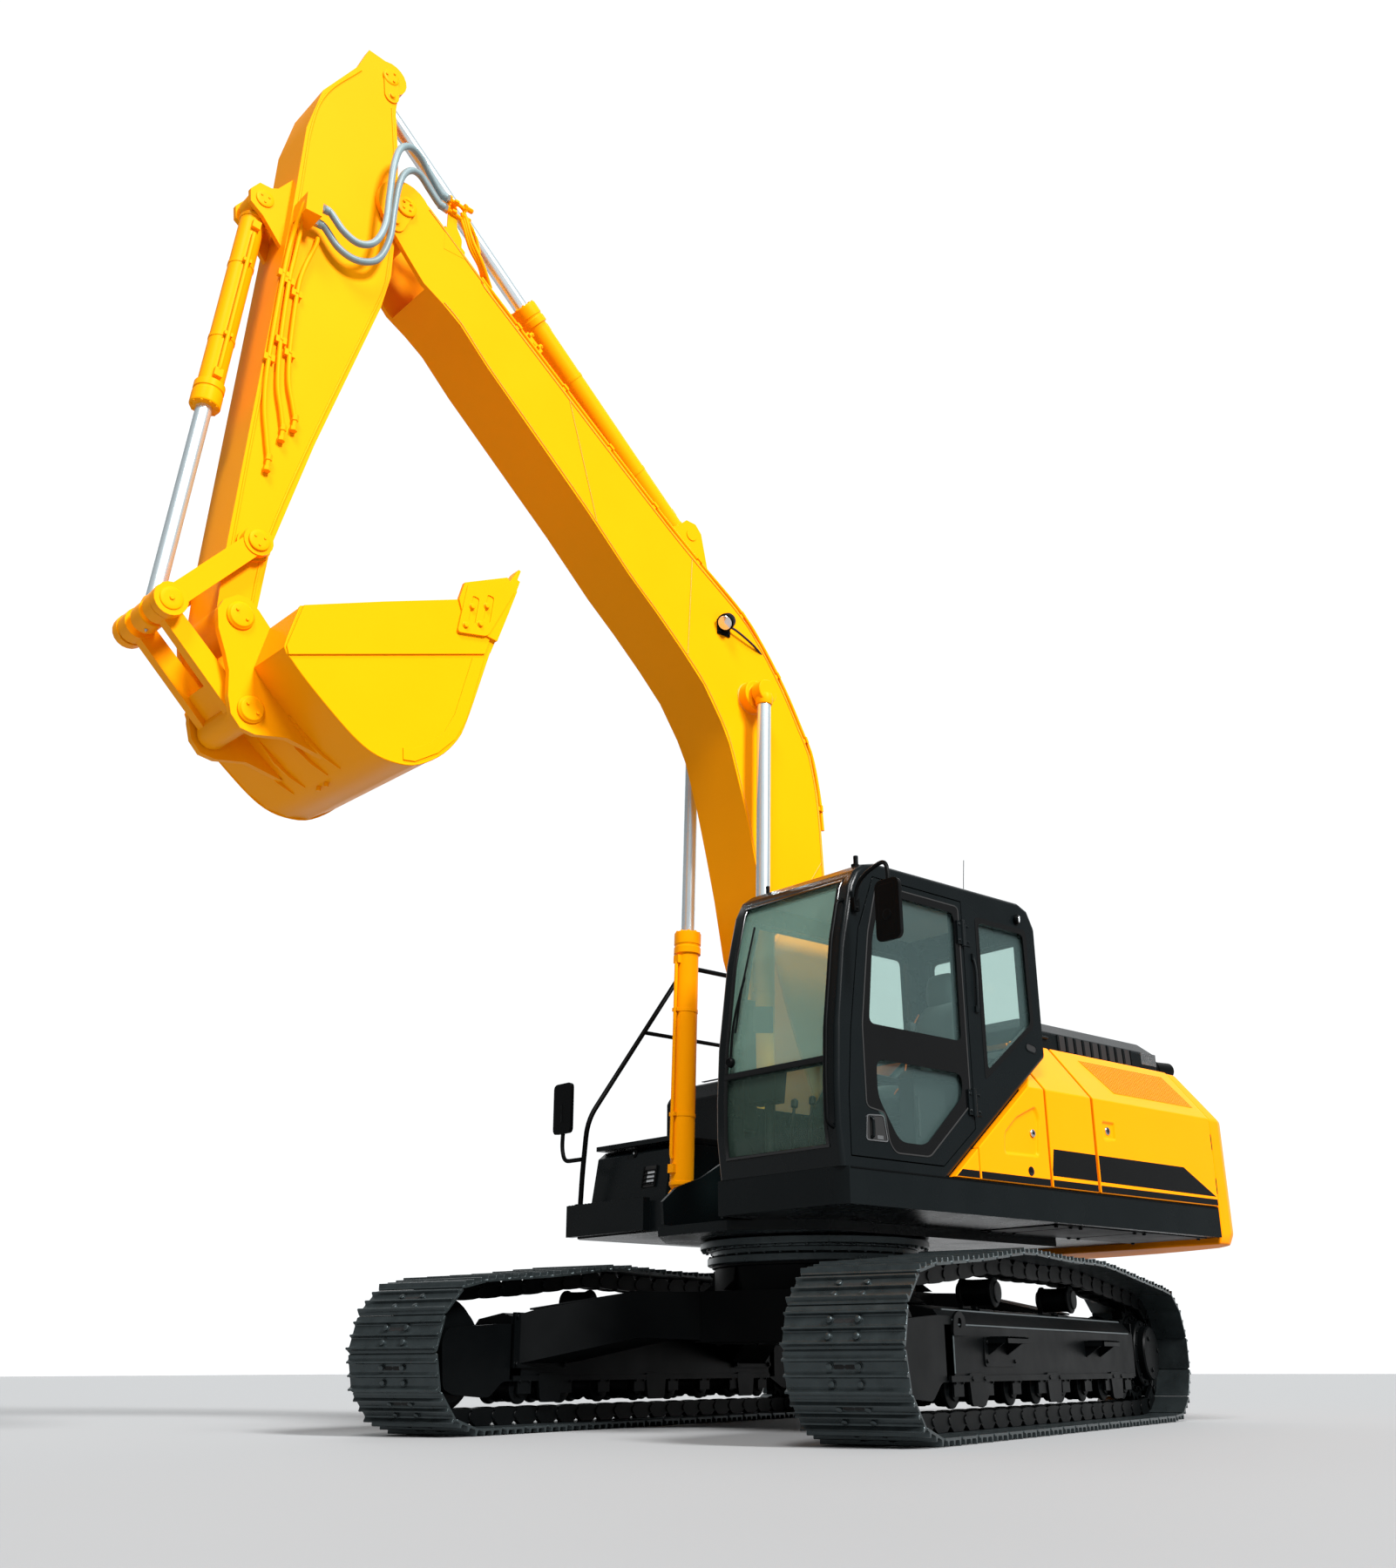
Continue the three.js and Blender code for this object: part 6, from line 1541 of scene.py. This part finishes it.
# ================================================================ arm
ARM_BACK = [(4115, 3850), (4068, 4305), (3882, 5010), (3558, 6080), (3508, 6332), (3500, 6800), (3530, 7227), (3570, 7560)]
ARM_FRONT = [(4307, 4171), (4263, 4933), (4160, 6469), (4132, 7077), (4057, 7405), (3851, 7727)]
refined("arm", "arm_box_section", [YELLOW], "arm", bevel=6, segs=2, angle=32, smooth=34, slot="body_yellow")
g = Geo()
for sg in (1, -1):
    g.tube([(x, sg * 175, z) for x, z in shifted(ARM_BACK, -28)], 7, 8, steps=50)
    g.tube([(x, sg * 175, z) for x, z in shifted(ARM_FRONT, 28)], 7, 8, steps=50)
make(g, "arm_edge_borders", [YELLOW], "arm", smooth=60, slot="body_yellow")
g = Geo()
for sg in (1, -1):
    for pin_, y_, r in ((ROCKER, 254, 42), (CURL_BASE, 112, 38)):
        g.turn((pin_[0], sg * y_, pin_[1]), (0, sg, 0), [(r + 14, -9), (r + 16, -6), (r + 16, 2), (r + 10, 5), (r - 8, 5.5)], 36)
        for k in range(3):
            a_ = k * 2 * math.pi / 3 + 0.5
            g.bolt((pin_[0] + (r - 12) * math.cos(a_), sg * (y_ + 2), pin_[1] + (r - 12) * math.sin(a_)), (0, sg, 0), 7, 7)
    a, b = sorted((sg * 174, sg * 183))
    g.turn((BOOM_TIP[0], sg * 176, BOOM_TIP[1]), (0, sg, 0), [(160, -2), (160, 3), (152, 6), (62, 6)], 48)
    g.prism(circle(ARM_TIP, 104, 40), "y", a, b, holes=[circle(ARM_TIP, 56, 32)])
    g.prism(oval((CROWD_ROD[0] - 8, CROWD_ROD[1] - 66), 70, 50, 10, math.pi / 2 - 0.12), "y", *sorted((sg * 174, sg * 184)))
    g.turn((CROWD_ROD[0] - 17, sg * 183, CROWD_ROD[1] - 138), (0, sg, 0), [(26, 0), (26, 3), (17, 4), (17, 13), (13, 15)], 16)
    g.turn((CROWD_ROD[0], sg * 174, CROWD_ROD[1]), (0, sg, 0), [(56, 0), (56, 12), (50, 16), (38, 17)], 32)
    for k in range(3):
        a_ = k * 2 * math.pi / 3
        g.bolt((CROWD_ROD[0] + 34 * math.cos(a_), sg * 190, CROWD_ROD[1] + 34 * math.sin(a_)), (0, sg, 0), 8, 7)
make(g, "arm_pin_caps_and_plates", [YELLOW], "arm", bevel=2, segs=2, angle=40, slot="body_yellow")
# arm's own pipes on its left side, ending at elbows and connectors
g = Geo()
c = Geo()
runs = [
    [(4104, 300, 6455), (4140, 296, 6455), (4150, 270, 6380), (4156, 205, 6250), (4178, 196, 5980), (4206, 194, 5400), (4200, 194, 5120), (4168, 194, 4930), (4142, 194, 4800)],
    [(4104, 235, 6398), (4130, 232, 6390), (4116, 210, 6290), (4126, 196, 6120), (4140, 194, 5960), (4150, 194, 5560), (4140, 194, 5280), (4104, 194, 5120), (4080, 194, 5010)],
    [(4000, 194, 6330), (4010, 200, 6270), (4062, 196, 6080), (4084, 194, 5920), (4092, 194, 5560), (4080, 194, 5330), (4044, 194, 5190), (4018, 194, 5100)],
]
for pts in runs:
    g.tube(pts, 13, 12, steps=48)
    e = pts[-1]
    c.turn(e, (0.05, 0, -1), [(20, -30), (20, 4), (15, 8), (15, 44), (22, 46), (22, 70), (14, 74)], 6)
for x, y_, z in ((4178, 190, 5990), (4088, 190, 5900), (4204, 190, 5420), (4148, 190, 5560), (4142, 190, 5960), (4090, 190, 5500)):
    c.slab((x, 188, z), (32, 0, 0), (0, 14, 0), (0, 0, 20))
    c.bolt((x, 202, z), (0, 1, 0), 8, 7)
make(g, "arm_hydraulic_pipes", [YELLOW], "arm", smooth=50, slot="body_yellow")
c.prism(rounded([(4054, 6374), (4146, 6374), (4146, 6486), (4054, 6486)], 10), "y", 176, 326)
for y_, z_ in ((300, 6455), (235, 6398)):
    c.turn((4056, y_, z_), (-1, 0, 0), [(29, -4), (29, 8), (24, 10)], 6)
make(c, "arm_pipe_clamps_and_block", [YELLOW], "arm", bevel=2, segs=2, angle=40, slot="body_yellow")


# ================================================================ cylinders
def cylinder(foot, eye, yc, spec, names, bodies, nodes, side_port):
    d = math.hypot(eye[0] - foot[0], eye[1] - foot[1])
    u = Vector(((eye[0] - foot[0]) / d, 0, (eye[1] - foot[1]) / d))
    v = Vector((-u.z, 0, u.x))
    f3 = Vector((foot[0], yc, foot[1]))
    B, r = spec["barrel"], spec["r"]
    g = Geo()
    prof = [(r * 0.55, 50), (r - 6, 72), (r, 84), (r, B - 150), (r + 13, B - 146), (r + 13, B - 104), (r + 8, B - 100), (r + 8, B - 88), (r + 13, B - 84), (r + 13, B - 12), (r + 8, B - 4), (r - 8, B), (spec["rod"] + 9, B + 0.4), (spec["rod"] + 2, B + 0.5)]
    g.turn(f3, u, prof, 44)
    g.turn(f3, u, [(r + 3, 84), (r + 4, 88), (r + 4, 104), (r + 3, 108)], 44)
    for k in range(10):
        a = 2 * math.pi * (k + 0.5) / 10
        n = v * math.cos(a) + Vector((0, 1, 0)) * math.sin(a)
        g.turn(f3 + u * (B - 1) + n * (r - 1), u, [(9, -14), (9, 3), (7, 4)], 8)
    w = spec["w"]
    g.turn((foot[0], yc - w, foot[1]), (0, 1, 0), [(spec["pin"] + 6, 0), (spec["footR"] - 5, 0.2), (spec["footR"], 5), (spec["footR"], 2 * w - 5), (spec["footR"] - 5, 2 * w - 0.2), (spec["pin"] + 6, 2 * w)], 44)
    # oil ports and the pipe that feeds the rod end
    sgn = Vector((0, side_port, 0)) if abs(side_port) == 1 else v * (1 if side_port > 0 else -1)
    p1, p2 = f3 + u * 180 + sgn * (r - 4), f3 + u * (B - 190) + sgn * (r - 4)
    for p in (p1, p2):
        g.slab(p + sgn * 12, u * 26, u.cross(sgn) * 24, sgn * 14)
    g.tube([p1 + u * 60 + sgn * 14, p1 + u * 100 + sgn * 20, (p1 + p2) / 2 + sgn * 20, p2 - u * 60 + sgn * 20, p2 - u * 20 + sgn * 16], 12, 12, steps=24)
    for t in (0.25, 0.75):
        p = p1.lerp(p2, t) + sgn * 14
        g.slab(p, u * 12, u.cross(sgn) * 24, sgn * 12)
        at_ = (p - f3).dot(u) - 12
        ring = []
        for i in range(44):
            a = 2 * math.pi * i / 44
            n = v * math.cos(a) + Vector((0, 1, 0)) * math.sin(a)
            ring.append([tuple(f3 + u * (at_ + t_) + n * rr) for t_, rr in ((0, r - 2), (0, r + 3), (24, r + 3), (24, r - 2))])
        g.loft(ring, closed=True)
    ob = make(g, names[0], [YELLOW], bodies[0], bevel=1.6, segs=2, angle=45, slot="body_yellow")
    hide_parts(nodes[0])
    g = Geo()
    L = spec["rodLen"]
    g.turn(f3 + u * (d - L), u, [(spec["rod"], 0), (spec["rod"], L - 88)], 40, 0)
    g.turn(f3 + u * (d - 93), u, [(spec["rod"] + 1, 0), (spec["rod"] + 8, 5), (spec["rod"] + 12, 20), (spec["eyeR"] * 0.78, 46), (spec["eyeR"] * 0.7, 74)], 36, 1)
    w2 = w - 2
    g.turn((eye[0], yc - w2, eye[1]), (0, 1, 0), [(spec["eyeR"] - 32, 0), (spec["eyeR"] - 5, 0.2), (spec["eyeR"], 5), (spec["eyeR"], 2 * w2 - 5), (spec["eyeR"] - 5, 2 * w2 - 0.2), (spec["eyeR"] - 32, 2 * w2)], 44, 1)
    g.turn(Vector((eye[0], yc, eye[1])) + u * (spec["eyeR"] - 3), u, [(9, 0), (9, 7), (5, 12), (4, 16)], 12, 2)
    ob = make(g, names[1], [CHROME_PAINTED_REFLECTION, YELLOW, ZINC], bodies[1], bevel=1.2, segs=1, angle=45, slot="chrome_rod")
    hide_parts(nodes[1])


LIFT = {"barrel": 1672, "r": 73, "rod": 44, "rodLen": 1600, "w": 42, "footR": 82, "eyeR": 78, "pin": 45}
for s, word in ((1, "left"), (-1, "right")):
    cylinder(LIFT_FOOT, LIFT_ROD, s * 350, LIFT, (f"boom_cylinder_barrel_{word}", f"boom_cylinder_rod_{word}"),
             ("boom_cylinder_barrels", "boom_cylinder_rods"), (f"boom_cylinder_{word}", f"boom_rod_{word}"), -2)
cylinder(CROWD_BASE, CROWD_ROD, 0, {"barrel": 1830, "r": 84, "rod": 50, "rodLen": 1690, "w": 70, "footR": 88, "eyeR": 90, "pin": 42},
         ("arm_cylinder_barrel", "arm_cylinder_rod"), ("arm_cylinder_barrel", "arm_cylinder_rod"), ("arm_cylinder", "arm_rod"), 2)
cylinder(CURL_BASE, LINK_TOP, 0, {"barrel": 1415, "r": 70, "rod": 44, "rodLen": 1325, "w": 58, "footR": 76, "eyeR": 78, "pin": 38},
         ("bucket_cylinder_barrel", "bucket_cylinder_rod"), ("bucket_cylinder_barrel", "bucket_cylinder_rod"), ("bucket_cylinder", "bucket_rod"), 1)

# pin ends and grease pipes on the revolving frame
g = Geo()
for sg in (1, -1):
    g.turn((LIFT_FOOT[0], sg * 410, LIFT_FOOT[1]), (0, sg, 0), [(44, -4), (56, -2), (58, 2), (58, 8), (50, 12), (30, 13)], 36)
    g.turn((BOOM_FOOT[0], sg * 290, BOOM_FOOT[1]), (0, sg, 0), [(48, -4), (66, -2), (68, 2), (68, 10), (60, 14), (30, 15)], 36)
    for k in range(3):
        a_ = k * 2 * math.pi / 3
        g.bolt((LIFT_FOOT[0] + 34 * math.cos(a_), sg * 421, LIFT_FOOT[1] + 34 * math.sin(a_)), (0, sg, 0), 8, 7)
        g.bolt((BOOM_FOOT[0] + 42 * math.cos(a_), sg * 303, BOOM_FOOT[1] + 42 * math.sin(a_)), (0, sg, 0), 9, 8)
make(g, "foot_pin_caps", [YELLOW], "house", bevel=1.5, segs=2, angle=45, slot="body_yellow")

# ================================================================ bucket and its linkage
refined("bucket", "bucket_shell", [YELLOW], "bucket", bevel=5, segs=2, angle=30, smooth=34, slot="body_yellow")
for word, s in (("left", 1), ("right", -1)):
    refined(f"rocker_{word}", f"bucket_rocker_{word}", [YELLOW], "rockers", bevel=4, segs=2, angle=30, slot="body_yellow")
refined("bucket_link", "bucket_link_h_frame", [YELLOW], "bucket_link", bevel=4, segs=2, angle=30, slot="body_yellow")
g = Geo()
for sg in (1, -1):
    g.turn((LINK_TOP[0], sg * 250, LINK_TOP[1]), (0, sg, 0), [(60, -2), (60, 6), (54, 9), (36, 10)], 32)
    g.turn((LINK_TOP[0], sg * 250, LINK_TOP[1]), (0, sg, 0), [(14, 8), (14, 14), (10, 17)], 6)
    g.turn((ROCKER[0], sg * 238, ROCKER[1]), (0, sg, 0), [(78, -2), (78, 5), (74, 7), (46, 7.5)], 36)
make(g, "rocker_pin_caps", [YELLOW], "rockers", bevel=1.5, segs=2, angle=45, slot="body_yellow")
g = Geo()
for sg in (1, -1):
    for pin_, r in ((ARM_TIP, 62), (LINK_LOW, 60)):
        g.turn((pin_[0], sg * 240, pin_[1]), (0, sg, 0), [(r + 12, -2), (r + 12, 10), (r + 6, 14), (r, 22), (r - 6, 24), (22, 25)], 36)
        for k in range(2):
            a_ = k * math.pi + 0.6
            g.bolt((pin_[0] + 34 * math.cos(a_), sg * 263, pin_[1] + 34 * math.sin(a_)), (0, sg, 0), 9, 8)
    # side cutter with its bolts
    cutter = rounded([(3162, 3962), (3112, 4272), (2888, 4378), (2806, 4330), (2972, 3996)], 26)
    a, b = sorted((sg * 568, sg * 588))
    lean_ = Vector((3112 - 3150, 4272 - 3962)).normalized()
    side_ = Vector((lean_.y, -lean_.x))
    holes = []
    for c_ in ((3068, 4122), (2974, 4160)):
        c_ = Vector(c_)
        q = [c_ + lean_ * (u * 82) + side_ * (w * 22) for u, w in ((-1, -1), (-1, 1), (1, 1), (1, -1))]
        holes.append(rounded([(v_.x, v_.y) for v_ in q], 14, 3))
    g.prism(cutter, "y", a, b, holes=holes)
    for x, z in ((3116, 4016), (3024, 4052), (3082, 4138), (2990, 4172)):
        g.turn((x, sg * 582, z), (0, sg, 0), [(20, -10), (20, 9), (15, 10), (15, 18), (11, 20)], 12)
    # thick band along the cheek's upper edge, border down its front edge
    a, b = sorted((sg * 559, sg * 571))
    g.prism([(4038, 3832), (3600, 4000), (3120, 4176), (2890, 4215), (2972, 3898), (4092, 3548), (4106, 3590)], "y", a, b)
    edge = [(2975, 3872), (3066, 3486), (3126, 3362), (3222, 3262), (3352, 3182), (3420, 3174), (3426, 3236), (3378, 3240), (3270, 3306), (3190, 3388), (3134, 3504), (3046, 3852)]
    g.prism(edge, "y", *sorted((sg * 559, sg * 567)))
    # gussets under the ears
    for y_ in (120, 246):
        rib = [(3905, 3378), (3855, 3330), (3790, 3262), (3700, 3206), (3600, 3166), (3600, 3180), (3710, 3244), (3860, 3356)]
        g.prism(rib, "y", *sorted((sg * (y_ - 8), sg * (y_ + 8))))
make(g, "bucket_cutters_ribs_and_pin_caps", [YELLOW], "bucket", bevel=2.5, segs=2, angle=40, slot="body_yellow")
BUCKET_BACK = [(4051, 3828), (4113, 3585), (4085, 3547), (3998, 3461), (3860, 3345), (3710, 3231), (3597, 3171), (3482, 3150), (3349, 3165), (3215, 3245), (3120, 3350), (3060, 3480), (2934, 3926)]
g = Geo()
for yy in (40, -40):
    g.rod((3560, yy, 3164), (3560, yy, 3140), 13, 14)
for sg in (1, -1):
    g.tube([(x, sg * 556, z) for x, z in shifted(BUCKET_BACK, -2)], 6, 8, steps=50)
make(g, "bucket_back_seams_and_plugs", [YELLOW], "bucket", bevel=3, segs=2, slot="body_yellow")
# teeth on their adapters
g = Geo()
for i in range(5):
    yy = -560 + 55 + i * (2 * 505) / 4
    d3 = Vector((2749 - 2850, 0, 4494 - 4210)).normalized()
    n3 = Vector((d3.z, 0, -d3.x))
    base = Vector((2862, yy, 4205))

    def sec(s, w, h, k=0.0):
        c_ = base + d3 * s + n3 * k
        return [tuple(c_ + Vector((0, a_ * w, 0)) + n3 * (b_ * h)) for a_, b_ in ((-1, -0.7), (-0.7, -1), (0.7, -1), (1, -0.7), (1, 0.7), (0.7, 1), (-0.7, 1), (-1, 0.7))]
    g.loft([sec(-20, 46, 34), sec(40, 48, 38), sec(90, 46, 36), sec(96, 40, 30)])
    g.loft([sec(92, 43, 33), sec(110, 47, 36), sec(150, 45, 30), sec(230, 42, 17), sec(290, 38, 6), sec(298, 36, 3)])
    g.rod(base + d3 * 125 + Vector((0, -52, 0)), base + d3 * 125 + Vector((0, 52, 0)), 11, 12)
make(g, "bucket_teeth", [YELLOW], "bucket", bevel=3, segs=2, angle=35, slot="body_yellow")

# ================================================================ stage
floor_mat = material("pale_floor", (0.31, 0.315, 0.32), rough=0.75, var=0.01, scale=0.6, rvar=0.03, spec=0.2)
me = bpy.data.meshes.new("studio_floor")
me.from_pydata([(-70, -70, -0.001), (70, -70, -0.001), (70, 70, -0.001), (-70, 70, -0.001)], [], [(0, 1, 2, 3)])
me.materials.append(floor_mat)
floor = bpy.data.objects.new("studio_floor", me)
bpy.context.scene.collection.objects.link(floor)
floor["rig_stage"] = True

world = bpy.data.worlds.new("studio")
bpy.context.scene.world = world
world.use_nodes = True
wn = world.node_tree
bg = wn.nodes["Background"]
# bright backdrop on one side of the studio, dimmer walls on the other
tc = wn.nodes.new("ShaderNodeTexCoord")
dot = wn.nodes.new("ShaderNodeVectorMath")
dot.operation = "DOT_PRODUCT"
BACKDROP = (math.cos(math.radians(205)) * math.cos(math.radians(12)), math.sin(math.radians(205)) * math.cos(math.radians(12)), math.sin(math.radians(12)))
dot.inputs[1].default_value = BACKDROP
wn.links.new(tc.outputs["Generated"], dot.inputs[0])
mr = wn.nodes.new("ShaderNodeMapRange")
mr.interpolation_type = "SMOOTHSTEP"
mr.inputs["From Min"].default_value = 0.58
mr.inputs["From Max"].default_value = 0.70
mr.inputs["To Min"].default_value = 0.24
mr.inputs["To Max"].default_value = 1.08
wn.links.new(dot.outputs["Value"], mr.inputs["Value"])
wn.links.new(mr.outputs["Result"], bg.inputs["Strength"])
bg.inputs["Color"].default_value = (0.97, 0.99, 1.0, 1)


def sun(name, azimuth, elevation, strength, angle, color=(1, 1, 1)):
    l = bpy.data.lights.new(name, "SUN")
    l.energy = strength
    l.angle = math.radians(angle)
    l.color = color
    ob = bpy.data.objects.new(name, l)
    bpy.context.scene.collection.objects.link(ob)
    a, e_ = math.radians(azimuth), math.radians(elevation)
    d = Vector((math.cos(a) * math.cos(e_), math.sin(a) * math.cos(e_), math.sin(e_)))
    ob.rotation_mode = "QUATERNION"
    ob.rotation_quaternion = (-d).to_track_quat("-Z", "Y")
    return ob


sun("key", 76, 35, 5.6, 14)
sun("front", 26, 50, 2.5, 16)
vs_ = bpy.context.scene.view_settings
vs_.view_transform = "Standard"
vs_.look = "None"
vs_.exposure = 0.0

lo, hi = cad_box
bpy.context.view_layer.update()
total = 0
worst = []
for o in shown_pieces():
    if o.type == "MESH" and "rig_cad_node" not in o:
        n = sum(len(p.vertices) - 2 for p in o.data.polygons)
        total += n
        worst.append((n, o.name))
worst.sort(reverse=True)
print("triangles", total, worst[:6])
